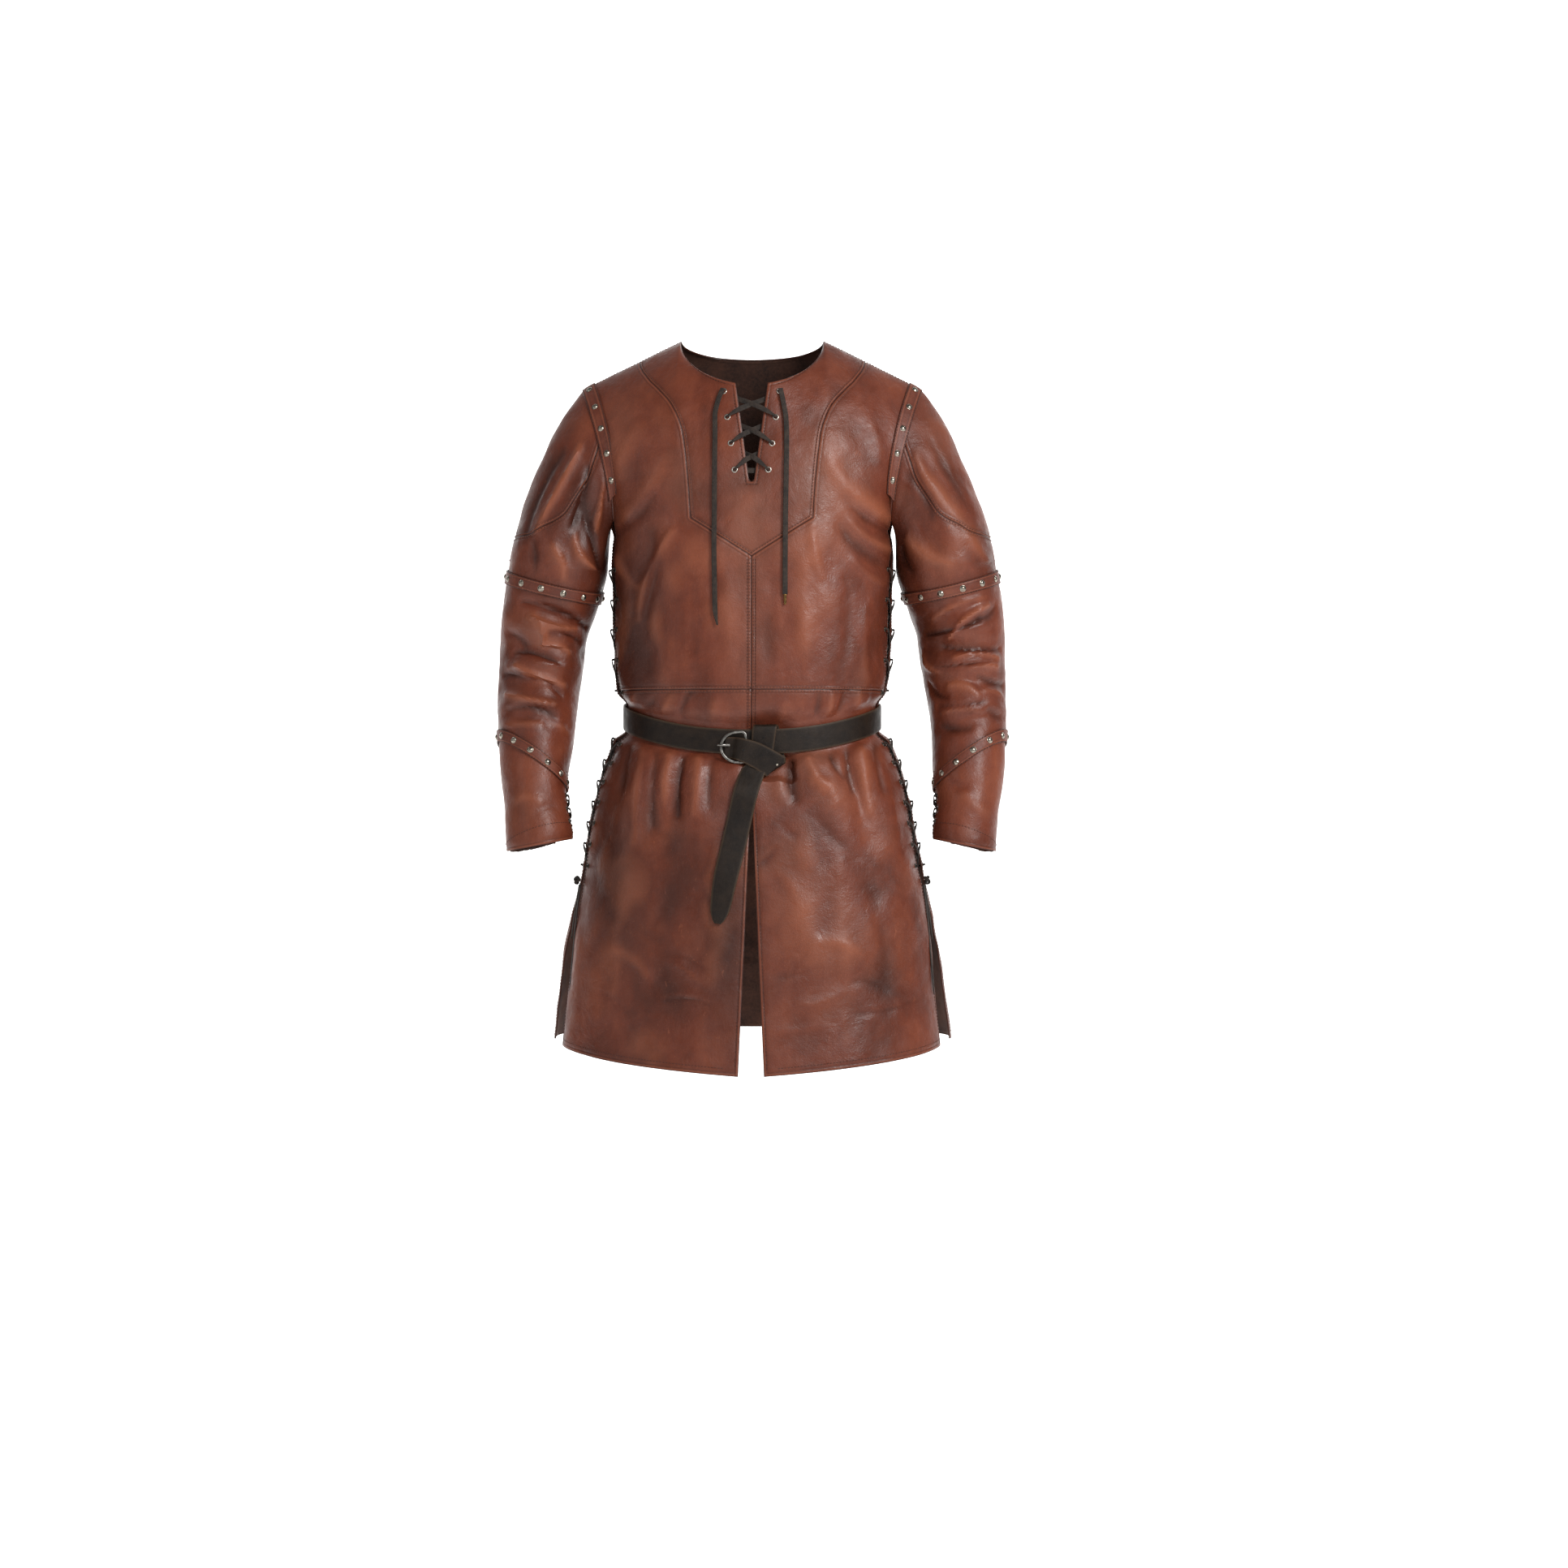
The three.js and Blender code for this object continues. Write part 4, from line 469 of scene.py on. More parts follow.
def sleeve_free(around, row):
    """How free the leather is to fold: not at the armhole, under the bands or at the cuff's edge."""
    clear = 1 - np.exp(-(((row - band_row(ELBOW_BAND, around)) / BAND_GRIP) ** 2))
    clear = clear * (1 - np.exp(-(((row - band_row(FOREARM_BAND, around)) / BAND_GRIP) ** 2)))
    return clear * smooth(row * 3) * smooth((2 - row) * 6)


def sleeve_point(around, row):
    """A point of the left sleeve. around: degrees from the outer side over the front; row: 0 to 2."""
    around, row = np.broadcast_arrays(np.asarray(around, float), np.asarray(row, float))
    angle = np.radians(around)
    inner = (1 - np.cos(angle)) / 2
    end, down = ring_point(angle, np.minimum(row_height(np.maximum(row, 1)), ARM_TOP))
    blend = {name: lerp(*ends, inner)[..., None] for name, ends in SLEEVE_HEAD.items()}
    leave = unit(np.concatenate([blend["x"], np.zeros_like(blend["x"]), blend["z"]], -1)) * blend["leave"]
    t = np.clip(row, 0, 1)[..., None]
    head = armhole_point(around) * (2 * t**3 - 3 * t**2 + 1) + leave * (t**3 - 2 * t**2 + t)
    head = head + end * (3 * t**2 - 2 * t**3) + down * blend["arrive"] * (t**3 - t**2)
    point = np.where((row < 1)[..., None], head, end)
    turned = around % 360
    rise = 0
    for f in SLEEVE_FOLDS:
        du, dv = f["to_u"] - f["u"], float(row_mm(f["to_v"]) - row_mm(f["v"]))
        rise = rise + fold_rise(turned - f["u"], row_mm(row) - row_mm(f["v"]), du, dv, f["width"], f["rise"])
    out = stack(np.cos(angle), -np.sin(angle), 0.2 * np.cos(angle))
    return point + out * (rise * sleeve_free(around, row))[..., None]


def sleeve_normal(around, row):
    row = np.asarray(row, float)
    turn = sleeve_point(around + 1.5, row) - sleeve_point(around - 1.5, row)
    along = sleeve_point(around, np.minimum(row + 0.01, 2)) - sleeve_point(around, np.maximum(row - 0.01, 0))
    return unit(np.cross(turn, along))


# ---------------------------------------------------------------- small creases, placed one by one

# On the front, in the front view: u is x and v is z.
CREASE_COLUMNS = "u v to_u to_v bow width rise"
FRONT_CREASES = table(
    CREASE_COLUMNS,
    # chest, wearer's right: drawn in from the armpit
    (-172, -246, -110, -165, 6, 17, 3.2),
    (-182, -262, -128, -214, 4, 9, -3.0),
    (-131, -262, -141, -366, -8, 15, -4.2),
    (-104, -262, -146, -372, 9, 9, 4.6),
    (-176, -292, -150, -330, 3, 9, 3.0),
    (-160, -330, -172, -420, -3, 12, 2.4),
    (-150, -120, -172, -180, 5, 14, 2.2),
    # chest, wearer's left
    (182, -240, 104, -176, -8, 19, 4.6),
    (188, -259, 121, -218, -5, 8, -4.4),
    (184, -280, 128, -248, -6, 8, 3.4),
    (176, -300, 114, -252, -7, 11, -3.8),
    (168, -326, 132, -296, -3, 9, 2.6),
    (78, -246, 90, -318, 4, 9, 3.0),
    (150, -110, 168, -176, -5, 13, 2.4),
    (34, -130, 48, -176, 3, 9, 1.4),
    # belly: long soft drapes above the waist seam
    (68, -300, 74, -455, 4, 16, 2.6),
    (124, -322, 116, -452, -5, 13, -2.4),
    (-124, -330, -112, -452, 5, 15, 2.3),
    (-78, -320, -70, -450, 0, 14, -1.8),
    (-34, -310, -28, -452, -2, 13, 1.4),
    (28, -330, 22, -454, 3, 10, -1.3),
    (152, -350, 148, -458, 3, 9, 1.9),
    # pulled in above the belt
    (-80, -470, -95, -512, 3, 6, -4.4),
    (-104, -474, -117, -508, 2, 7, 3.2),
    (-126, -478, -139, -504, 2, 6, -3.6),
    (-152, -470, -158, -498, 1, 6, 2.6),
    (-48, -482, -56, -520, -2, 7, 2.2),
    (-20, -488, -24, -524, 2, 8, -1.8),
    (88, -474, 75, -512, -3, 6, -4.0),
    (104, -470, 93, -508, -2, 6, 3.2),
    (121, -470, 107, -504, -2, 6, -4.0),
    (140, -468, 130, -500, -2, 6, 3.0),
    (160, -466, 150, -494, -1, 6, -2.8),
    (44, -486, 38, -520, 2, 8, 2.0),
    # gathers below the belt
    (-84, -536, -96, -626, 4, 7, -5.6),
    (-70, -542, -74, -622, -3, 9, 4.4),
    (-104, -532, -112, -640, 3, 9, 3.8),
    (-121, -530, -127, -640, 3, 7, -4.0),
    (-140, -528, -150, -660, 4, 10, 3.6),
    (-50, -552, -54, -616, 2, 7, -3.2),
    (-156, -522, -170, -610, 3, 7, -3.2),
    (26, -566, 2, -612, 5, 11, 3.6),
    (50, -540, 56, -606, 3, 7, -5.4),
    (36, -552, 38, -606, 2, 8, 2.8),
    (70, -528, 92, -588, 6, 9, 4.8),
    (98, -525, 118, -578, 4, 6, -3.8),
    (80, -584, 108, -608, -8, 13, 3.4),
    (123, -522, 131, -596, 2, 7, -4.4),
    (142, -520, 152, -622, 3, 10, 4.2),
    (160, -518, 172, -596, 3, 7, -3.4),
    # skirt: long weak drapes and slack diagonal wrinkles
    (40, -641, 57, -654, 2, 4, -1.9),
    (8, -692, 31, -672, 2, 5, -2.0),
    (88, -634, 152, -686, 6, 13, -2.2),
    (36, -700, 60, -742, -5, 9, 1.6),
    (72, -640, 80, -820, 6, 26, 2.6),
    (-46, -640, -52, -840, -5, 24, 2.6),
    (-100, -660, -112, -850, 6, 22, -2.8),
    (-158, -690, -176, -880, 5, 20, 2.4),
    (150, -700, 178, -880, -6, 18, -2.6),
    (112, -700, 132, -850, 4, 20, 2.0),
    (-108, -814, -70, -838, -4, 7, 2.4),
    (-96, -806, -62, -824, -3, 6, -1.8),
    (-176, -800, -132, -833, -5, 9, 2.2),
    (-150, -770, -118, -786, 3, 8, -1.6),
    (86, -788, 142, -806, -6, 9, 2.2),
    (30, -832, 84, -820, 4, 7, -1.7),
    (60, -868, 118, -852, 5, 8, 1.8),
    (128, -838, 186, -858, -5, 8, -1.9),
    (-70, -716, -34, -744, 5, 9, -1.5),
    (-112, -864, -45, -871, -6, 3.2, -1.6),
    (-112, -858, -50, -865, -6, 4, 1.3),
    (136, -880, 206, -868, 5, 3.4, -1.6),
    (26, -900, 92, -894, 3, 5, 1.2),
    (-196, -856, -160, -880, -2, 6, -1.6),
)
# On the back, in the same view: u is x and v is z.
BACK_CREASES = table(
    CREASE_COLUMNS,
    (182, -236, 96, -196, 9, 15, 3.6),
    (184, -258, 112, -226, 7, 9, -3.6),
    (176, -284, 120, -262, 6, 10, 2.8),
    (-180, -240, -92, -190, -9, 16, 3.8),
    (-186, -262, -118, -232, -6, 9, -3.4),
    (-172, -290, -126, -272, -5, 10, 3.0),
    (-60, -80, -34, -150, 6, 13, 2.0),
    (64, -84, 40, -160, -6, 14, 2.2),
    (-6, -180, 4, -300, 5, 15, 1.6),
    (-96, -300, -70, -440, -7, 15, 2.8),
    (-60, -320, -44, -450, -4, 11, -2.6),
    (88, -310, 72, -446, 6, 14, 2.6),
    (52, -330, 46, -452, 3, 11, -2.4),
    (4, -340, -2, -452, 3, 12, 2.2),
    (-128, -330, -138, -440, 4, 11, -2.4),
    (130, -320, 138, -446, -4, 12, -2.4),
    (-120, -466, -108, -486, 3, 6, -3.6),
    (-84, -464, -78, -484, 2, 6, 3.0),
    (-50, -462, -44, -484, 2, 6, -3.8),
    (-18, -466, -16, -484, 1, 6, 2.6),
    (20, -464, 18, -484, 1, 6, -3.4),
    (54, -462, 46, -484, 2, 6, 3.2),
    (92, -464, 82, -486, 3, 6, -3.8),
    (128, -466, 118, -488, 2, 6, 2.8),
    (-132, -514, -146, -612, 4, 8, -4.6),
    (-104, -512, -112, -626, 3, 9, 4.2),
    (-76, -510, -84, -596, 3, 7, -4.4),
    (-46, -508, -50, -640, 2, 10, 4.0),
    (-20, -508, -22, -590, 2, 7, -4.2),
    (12, -508, 10, -620, -2, 9, 3.8),
    (38, -508, 42, -604, -2, 7, -4.4),
    (68, -510, 76, -632, -3, 10, 4.2),
    (98, -512, 108, -600, -3, 7, -4.4),
    (130, -514, 142, -636, -4, 9, 4.0),
    (154, -518, 168, -600, -3, 7, -3.6),
    (-40, -680, 6, -712, 6, 8, -1.9),
    (60, -660, 104, -700, 7, 10, 2.0),
    (-120, -700, -74, -734, 6, 9, 1.9),
    (-170, -760, -120, -790, 5, 9, -1.9),
    (24, -770, 80, -750, 5, 9, -1.8),
    (120, -780, 176, -806, -5, 9, 2.0),
    (-60, -836, -6, -824, 4, 7, 1.8),
    (70, -850, 130, -862, -5, 8, -1.8),
    (-200, -850, -150, -868, -4, 8, 1.8),
)
SLEEVE_CREASES = {
    # wearer's left: long soft ridge on the cap, and a slanting loop below the elbow's band
    "left": table(
        CREASE_COLUMNS,
        (76, 0.26, 66, 0.66, 6, 11, 3.6),
        (98, 0.24, 92, 0.6, -4, 8, -2.8),
        (46, 0.3, 44, 0.7, 3, 9, -2.0),
        (132, 0.62, 92, 0.96, 6, 11, 3.4),
        (150, 0.66, 138, 0.98, 4, 9, -4.0),
        (62, 0.72, 40, 0.98, 4, 10, 2.0),
        (128, 1.165, 57, 1.122, -5, 5, 3.8),
        (142, 1.228, 66, 1.198, 5, 6, -4.2),
        (108, 1.262, 50, 1.158, -9, 6, 4.6),
        (64, 1.2, 34, 1.17, 3, 6, -2.8),
        (120, 1.3, 30, 1.318, 4, 6, -3.6),
        (104, 1.345, 42, 1.352, -5, 6, 3.2),
        (160, 1.3, 132, 1.392, 5, 6, 3.6),
        (132, 1.376, 60, 1.374, 4, 5, -3.0),
        (84, 1.4, 48, 1.392, -3, 6, 3.0),
        (156, 1.43, 124, 1.5, 5, 6, -3.4),
        (118, 1.462, 78, 1.502, -5, 7, 3.6),
        (74, 1.44, 22, 1.45, 4, 6, -2.8),
        (66, 1.486, 26, 1.5, -3, 6, 2.4),
        (138, 1.526, 68, 1.53, 5, 5, -2.8),
        (132, 1.556, 72, 1.566, -4, 6, 2.6),
        (60, 1.56, 24, 1.57, 3, 6, -2.2),
        (140, 1.6, 90, 1.622, 4, 6, -2.4),
        (100, 1.86, 52, 1.9, 4, 9, 1.8),
        (130, 1.8, 96, 1.83, 4, 8, -1.8),
        (210, 1.2, 300, 1.16, 6, 7, 3.4),
        (216, 1.26, 306, 1.22, -6, 6, -3.4),
        (204, 1.34, 292, 1.3, 5, 7, 3.4),
        (212, 1.42, 300, 1.4, -4, 6, -3.0),
        (220, 1.5, 290, 1.47, 4, 6, 2.6),
        (240, 0.4, 262, 0.9, 6, 11, 3.0),
        (282, 0.3, 300, 0.86, -5, 11, -2.6),
        (320, 0.4, 318, 0.9, 4, 12, 2.2),
    ),
    # wearer's right: a sharper vertical ridge on the cap, and a C-shaped loop
    "right": table(
        CREASE_COLUMNS,
        (60, 0.28, 58, 0.78, 4, 8, 5.0),
        (84, 0.3, 98, 0.66, 5, 7, -4.4),
        (112, 0.2, 126, 0.56, 4, 7, 4.2),
        (40, 0.4, 42, 0.8, -3, 9, -3.0),
        (104, 0.5, 150, 0.92, 6, 8, -4.2),
        (84, 0.84, 102, 1.03, 4, 6, 3.4),
        (102, 0.68, 138, 0.95, -5, 7, 3.6),
        (58, 0.86, 66, 1.02, 3, 7, -2.6),
        (58, 1.138, 160, 1.188, 6, 6, -4.0),
        (78, 1.19, 136, 1.2, -6, 6, 3.4),
        (76, 1.186, 94, 1.296, 7, 6, 4.4),
        (94, 1.296, 132, 1.312, 5, 6, 4.0),
        (104, 1.24, 150, 1.262, 4, 6, -3.4),
        (44, 1.26, 70, 1.31, 4, 7, -3.0),
        (56, 1.332, 120, 1.362, 5, 6, -4.2),
        (62, 1.392, 132, 1.452, -6, 7, 4.4),
        (84, 1.44, 130, 1.49, 4, 5, -3.2),
        (36, 1.42, 74, 1.45, 3, 6, -2.6),
        (44, 1.494, 118, 1.53, -5, 6, 3.4),
        (50, 1.556, 124, 1.574, 4, 6, -3.0),
        (36, 1.592, 104, 1.604, -4, 6, 2.6),
        (118, 1.606, 152, 1.62, 3, 6, 2.2),
        (56, 1.86, 100, 1.88, 4, 9, 1.8),
        (92, 1.92, 132, 1.9, 4, 8, -1.6),
        (206, 1.18, 296, 1.2, 6, 7, 3.2),
        (214, 1.27, 302, 1.25, -5, 6, -3.4),
        (210, 1.36, 298, 1.33, 5, 7, 3.2),
        (218, 1.44, 294, 1.43, -4, 6, -2.8),
        (214, 1.52, 290, 1.5, 4, 6, 2.6),
        (248, 0.4, 268, 0.92, 6, 10, 3.2),
        (288, 0.34, 302, 0.9, -5, 10, -2.8),
        (326, 0.44, 322, 0.92, 4, 11, 2.4),
    ),
}
# Painted shade (below 0) and painted highlight (above 0), as clouds placed in the front view.
PAINTED_SHADE_AND_HIGHLIGHT = table(
    "x z reach_x reach_z amount",
    (-160, -390, 52, 140, -0.95),
    (-178, -700, 36, 110, -0.85),
    (-30, -770, 28, 130, -0.75),
    (-105, -800, 90, 150, -0.4),
    (110, -830, 110, 140, -0.3),
    (78, -552, 30, 24, 0.65),
    (36, -592, 22, 20, 0.5),
    (120, -600, 34, 40, 0.3),
    (100, -200, 46, 80, 0.6),
    (182, -300, 22, 95, -0.5),
    (-6, -245, 30, 80, 0.5),
    (-6, -400, 26, 110, 0.26),
    (-90, -195, 32, 52, 0.4),
    (-172, -112, 26, 42, 0.35),
    (-216, -235, 30, 62, -0.6),
    (-292, -625, 40, 36, -0.35),
    (206, -275, 20, 60, -0.5),
    (236, -400, 22, 70, -0.35),
    (250, -130, 30, 50, 0.3),
)
# The same painted shade and painted highlight, on the back.
BACK_PAINTED_SHADE_AND_HIGHLIGHT = table(
    "x z reach_x reach_z amount",
    (150, -380, 50, 130, -0.45),
    (-150, -340, 44, 110, -0.4),
    (-70, -170, 60, 70, 0.35),
    (60, -220, 46, 80, 0.3),
    (20, -420, 60, 60, -0.25),
    (-120, -600, 50, 70, 0.3),
    (90, -640, 60, 80, 0.25),
    (170, -760, 50, 120, -0.4),
    (-180, -780, 44, 110, -0.4),
    (-20, -800, 90, 90, -0.25),
)


def painted_shade_and_highlight_at(p, n):
    """Painted shade (below 0) and painted highlight (above 0) at points, by the side that they face."""
    total = np.zeros(p.shape[:-1])
    for side, rows in ((-1, PAINTED_SHADE_AND_HIGHLIGHT), (1, BACK_PAINTED_SHADE_AND_HIGHLIGHT)):
        facing = smooth(n[..., 1] * side * 2 + 0.3)
        for row in rows:
            x_away = (p[..., 0] - row["x"]) / row["reach_x"]
            z_away = (p[..., 2] - row["z"]) / row["reach_z"]
            total += row["amount"] * facing * np.exp(-(x_away**2 + z_away**2))
    return total


# Weak unevenness everywhere: waves of some lengths, in millimetres, with their height.
WAVES = table("length height", (150, 0.9), (96, 0.7), (61, 0.45), (39, 0.28), (24, 0.16))


def unevenness(p, seed):
    """A smooth uneven field over points, the same each run."""
    random = np.random.default_rng(seed)
    total = np.zeros(p.shape[:-1])
    for wave in WAVES:
        for _ in range(5):
            way = unit(random.normal(size=3)) * (2 * math.pi / (wave["length"] * random.uniform(0.8, 1.25)))
            total += wave["height"] / 2 * np.sin(p @ way + random.uniform(0, 2 * math.pi))
    return total


# ---------------------------------------------------------------- surfaces with their creases

BELT_HOLD = 18  # within this distance of the belt's middle the leather lies flat


def sheet_surface(is_back):
    """The front or back sheet's surface with its creases, as a function of s and v."""

    creases = BACK_CREASES if is_back else FRONT_CREASES

    def surface(s, v):
        """Point, outward normal and relief in millimetres at s, v."""
        p = sheet_point(s, v, is_back)
        n = sheet_normal(s, v, is_back)
        level = lerp(ARMPIT_HEIGHT, HEM_HEIGHT, -v)
        free = smooth((np.abs(level - BELT["height"]) - BELT_HOLD) / 14)
        relief = crease_rise(p[..., 0], p[..., 2], creases) + unevenness(p, 7 + is_back)
        relief = relief * free * (1 - 0.75 * smooth((v - 0.55) / 0.4))
        return p + n * relief[..., None], n, relief

    return surface


def sleeve_surface(side):
    """A sleeve's surface with its creases, as a function of degrees around and row."""

    sign = 1 if side == "left" else -1

    def surface(around, row):
        p = sleeve_point(around, row)
        n = sleeve_normal(around, row)
        creases = crease_rise(around % 360, row_mm(row), sleeve_rows[side])
        relief = 1.5 * creases * sleeve_free(around, row) + 0.8 * unevenness(p, 20 + sign) * smooth(row * 4)
        p = p + n * relief[..., None]
        return p * (sign, 1, 1), n * (sign, 1, 1), relief

    return surface


# The sleeves' creases with their rows as millimetres along the arm.
sleeve_rows = {
    side: [{**row, "v": float(row_mm(row["v"])), "to_v": float(row_mm(row["to_v"]))} for row in rows]
    for side, rows in SLEEVE_CREASES.items()
}
SURFACES = {
    "front": sheet_surface(False),
    "back": sheet_surface(True),
    "left": sleeve_surface("left"),
    "right": sleeve_surface("right"),
}

# ---------------------------------------------------------------- patches: grids that can be cut


class Patch:
    """Polygons over a surface's own two coordinates, which can be cut along fields of them."""

    def __init__(self, across, along):
        a, b = np.meshgrid(across, along)
        self.at = list(zip(a.ravel().tolist(), b.ravel().tolist()))
        n = len(across)
        self.faces = [
            (r * n + c, r * n + c + 1, (r + 1) * n + c + 1, (r + 1) * n + c)
            for r in range(len(along) - 1)
            for c in range(n - 1)
        ]

    def coordinates(self):
        at = np.array(self.at)
        return at[:, 0], at[:, 1]

    def cut(self, field, level=0.0, drop=False):
        """Splits the polygons where field is level, and drops what lies below it."""
        value = field(*self.coordinates()) - level
        value[np.abs(value) < 1e-6] = 1e-6
        above = (value > 0).tolist()
        value = value.tolist()
        made = {}
        faces = []
        for face in self.faces:
            ups = sum(above[i] for i in face)
            if ups == len(face) or ups == 0:
                if ups or not drop:
                    faces.append(face)
                continue
            parts = {True: [], False: []}
            for i, j in zip(face, face[1:] + face[:1]):
                parts[above[i]].append(i)
                if above[i] == above[j]:
                    continue
                key = (min(i, j), max(i, j))
                if key not in made:
                    t = value[i] / (value[i] - value[j])
                    made[key] = len(self.at)
                    self.at.append(tuple(lerp(a, b, t) for a, b in zip(self.at[i], self.at[j])))
                parts[True].append(made[key])
                parts[False].append(made[key])
            for up, part in parts.items():
                if len(part) > 2 and (up or not drop):
                    faces.append(tuple(part))
        self.faces = faces
        self.compact()

    def compact(self):
        used = sorted({i for face in self.faces for i in face})
        place = {old: new for new, old in enumerate(used)}
        self.at = [self.at[i] for i in used]
        self.faces = [tuple(place[i] for i in face) for face in self.faces]


def outline_distance(outline, x, z):
    """Signed distance to a closed outline in the front view, positive inside it."""
    nearest = np.full(x.shape, 1e9)
    inside = np.zeros(x.shape, bool)
    for (x0, z0), (x1, z1) in zip(outline, outline[1:] + outline[:1]):
        dx, dz = x1 - x0, z1 - z0
        t = np.clip(((x - x0) * dx + (z - z0) * dz) / (dx * dx + dz * dz), 0, 1)
        nearest = np.minimum(nearest, np.hypot(x - x0 - t * dx, z - z0 - t * dz))
        crosses = (z0 > z) != (z1 > z)
        inside ^= crosses & (x < x0 + (z - z0) * dx / (dz if dz else 1))
    return np.where(inside, nearest, -nearest)


def rounded(points, steps=4):
    """A smooth line through points, by Catmull and Rom's rule."""
    p = np.asarray(points, float)
    ends = np.concatenate([[2 * p[0] - p[1]], p, [2 * p[-1] - p[-2]]])
    t = np.linspace(0, 1, steps, endpoint=False)[:, None]
    spans = []
    for a, b, c, d in zip(ends, ends[1:], ends[2:], ends[3:]):
        square, cube = 2 * a - 5 * b + 4 * c - d, 3 * b - a - 3 * c + d
        spans.append(0.5 * (2 * b + (c - a) * t + square * t**2 + cube * t**3))
    return np.concatenate([*spans, p[-1:]])


yoke_half = [YOKE_OUTLINE[0], *map(tuple, rounded(YOKE_OUTLINE[1:]).tolist())]
yoke_outline = yoke_half + [(-x, z) for x, z in reversed(yoke_half[1:])]
cap_seam = list(map(tuple, rounded(CAP_OUTLINE).tolist()))
cap_outline = [*cap_seam, (360, 60), (150, 60)]


def neck_slit_half(z):
    return NECK_SLIT["bottom_half"] + NECK_SLIT["spread"] * (z - NECK_SLIT["bottom"])


def front_slit_half(z):
    return np.maximum(FRONT_SLIT["top_half"] + FRONT_SLIT["spread"] * (FRONT_SLIT["top"] - z), 0)


def in_view(shape, is_back=False):
    """A field of the front or back sheet from a function of x and z."""

    def field(s, v):
        p = sheet_point(s, v, is_back)
        return shape(p[..., 0], p[..., 2])

    return field


def to_edge(surface_point, axis, value):
    """Distance to the edge of a sheet where one of its coordinates has a value."""

    def field(a, b):
        edge = [a, b]
        edge[axis] = np.full_like(a, value)
        return np.linalg.norm(surface_point(a, b) - surface_point(*edge), axis=-1)

    return field


# ---------------------------------------------------------------- meshes


def to_object(name, points, faces, materials, slot, face_materials=None, attributes=None, sharp=40):
    """A smooth-shaded piece from points in millimetres, riding on the part's one body."""
    mesh = bpy.data.meshes.new(name)
    mesh.from_pydata((np.asarray(points) * MM).tolist(), [], faces)
    for material in materials:
        mesh.materials.append(material)
    if face_materials is not None:
        mesh.polygons.foreach_set("material_index", face_materials)
    for key, values in (attributes or {}).items():
        mesh.attributes.new(key, "FLOAT", "POINT").data.foreach_set("value", np.asarray(values, np.float32))
    mesh.shade_smooth()
    mesh.set_sharp_from_angle(angle=math.radians(sharp))
    mesh.validate()
    piece = bpy.data.objects.new(name, mesh)
    bpy.context.scene.collection.objects.link(piece)
    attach(piece, "root")
    return piece


def vertex_normals(points, faces):
    """Outward normals of a mesh's points, from the faces round each."""
    triangles = np.array([(f[0], f[k], f[k + 1]) for f in faces for k in range(1, len(f) - 1)])
    a, b, c = points[triangles[:, 0]], points[triangles[:, 1]], points[triangles[:, 2]]
    area = np.cross(b - a, c - a)
    normals = np.zeros_like(points)
    for k in range(3):
        np.add.at(normals, triangles[:, k], area)
    return unit(normals)


def welded(points, faces, *values):
    """Joins points that lie together, and drops faces that this flattens."""
    keys = np.round(points * 500).astype(np.int64)
    _, first, place = np.unique(keys, axis=0, return_index=True, return_inverse=True)
    place = place.ravel()
    kept = []
    for face in faces:
        joined = [int(place[i]) for i in face]
        joined = [i for i, before in zip(joined, joined[-1:] + joined[:-1]) if i != before]
        if len(joined) > 2:
            kept.append(tuple(joined))
    return points[first], kept, *[value[first] for value in values]


def shell(points, faces, thickness):
    """A wall from its outer faces: the same faces set inward, and a rim along every open edge."""
    inner = points - vertex_normals(points, faces) * thickness
    count = len(points)
    uses = {}
    for face in faces:
        for i, j in zip(face, face[1:] + face[:1]):
            uses[(i, j)] = True
    rim = [(j, i, i + count, j + count) for i, j in uses if (j, i) not in uses]
    back = [tuple(i + count for i in reversed(face)) for face in faces]
    kinds = [0] * len(faces) + [1] * len(back) + [0] * len(rim)
    return np.concatenate([points, inner]), [*faces, *back, *rim], kinds


SEAM_ROLL = {"depth": 0.95, "reach": 1.5}
STITCH_LINE = {"inset": 4.6, "depth": 0.4, "reach": 0.9}
EDGE_ROLL = {"depth": 0.5, "reach": 1.2}
SPLITS = [1.1, 2.8, 3.7, 4.6, 5.5]


def panel(name, node, patch, surface, cuts, edges, flat, area, sewn=True, mirror=False, hangs_from=()):
    """One panel of leather. cuts are fields that drop what lies below half a gap, edges are fields that
    only give the distance to an edge that the patch already has."""
    for field in cuts:
        patch.cut(field, HALF_GAP, drop=True)
    for field in [*cuts, *edges]:
        for level in SPLITS:
            patch.cut(field, level)
    a, b = patch.coordinates()
    points, normals, relief = surface(a, b)
    distances = [field(a, b) for field in [*cuts, *edges]]
    rolled = np.zeros(len(points))
    for k, distance in enumerate(distances):
        roll = SEAM_ROLL if k < len(cuts) and sewn else EDGE_ROLL
        rolled -= roll["depth"] * np.exp(-((distance / roll["reach"]) ** 2))
        line = (distance - STITCH_LINE["inset"]) / STITCH_LINE["reach"]
        rolled -= STITCH_LINE["depth"] * np.exp(-(line**2))
    points = points + normals * rolled[:, None]
    nearest = np.min(distances, axis=0) if distances else np.full(len(points), 99.0)
    faces = [tuple(reversed(f)) for f in patch.faces] if mirror else patch.faces
    points, faces, relief, nearest, normals = welded(points, faces, relief, nearest, normals)
    # The last attribute holds the painted shade and painted highlight from the clouds.
    attributes = {"relief": relief, "edge": nearest, "painted_light": painted_shade_and_highlight_at(points, normals)}
    attributes = {key: np.tile(values, 2) for key, values in attributes.items()}
    points, faces, kinds = shell(points, faces, LEATHER)
    piece = to_object(name, points, faces, [LEATHER_FACE, LEATHER_BACK], "leather", kinds, attributes)
    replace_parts(piece, node)
    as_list(hangs_from)
    return piece


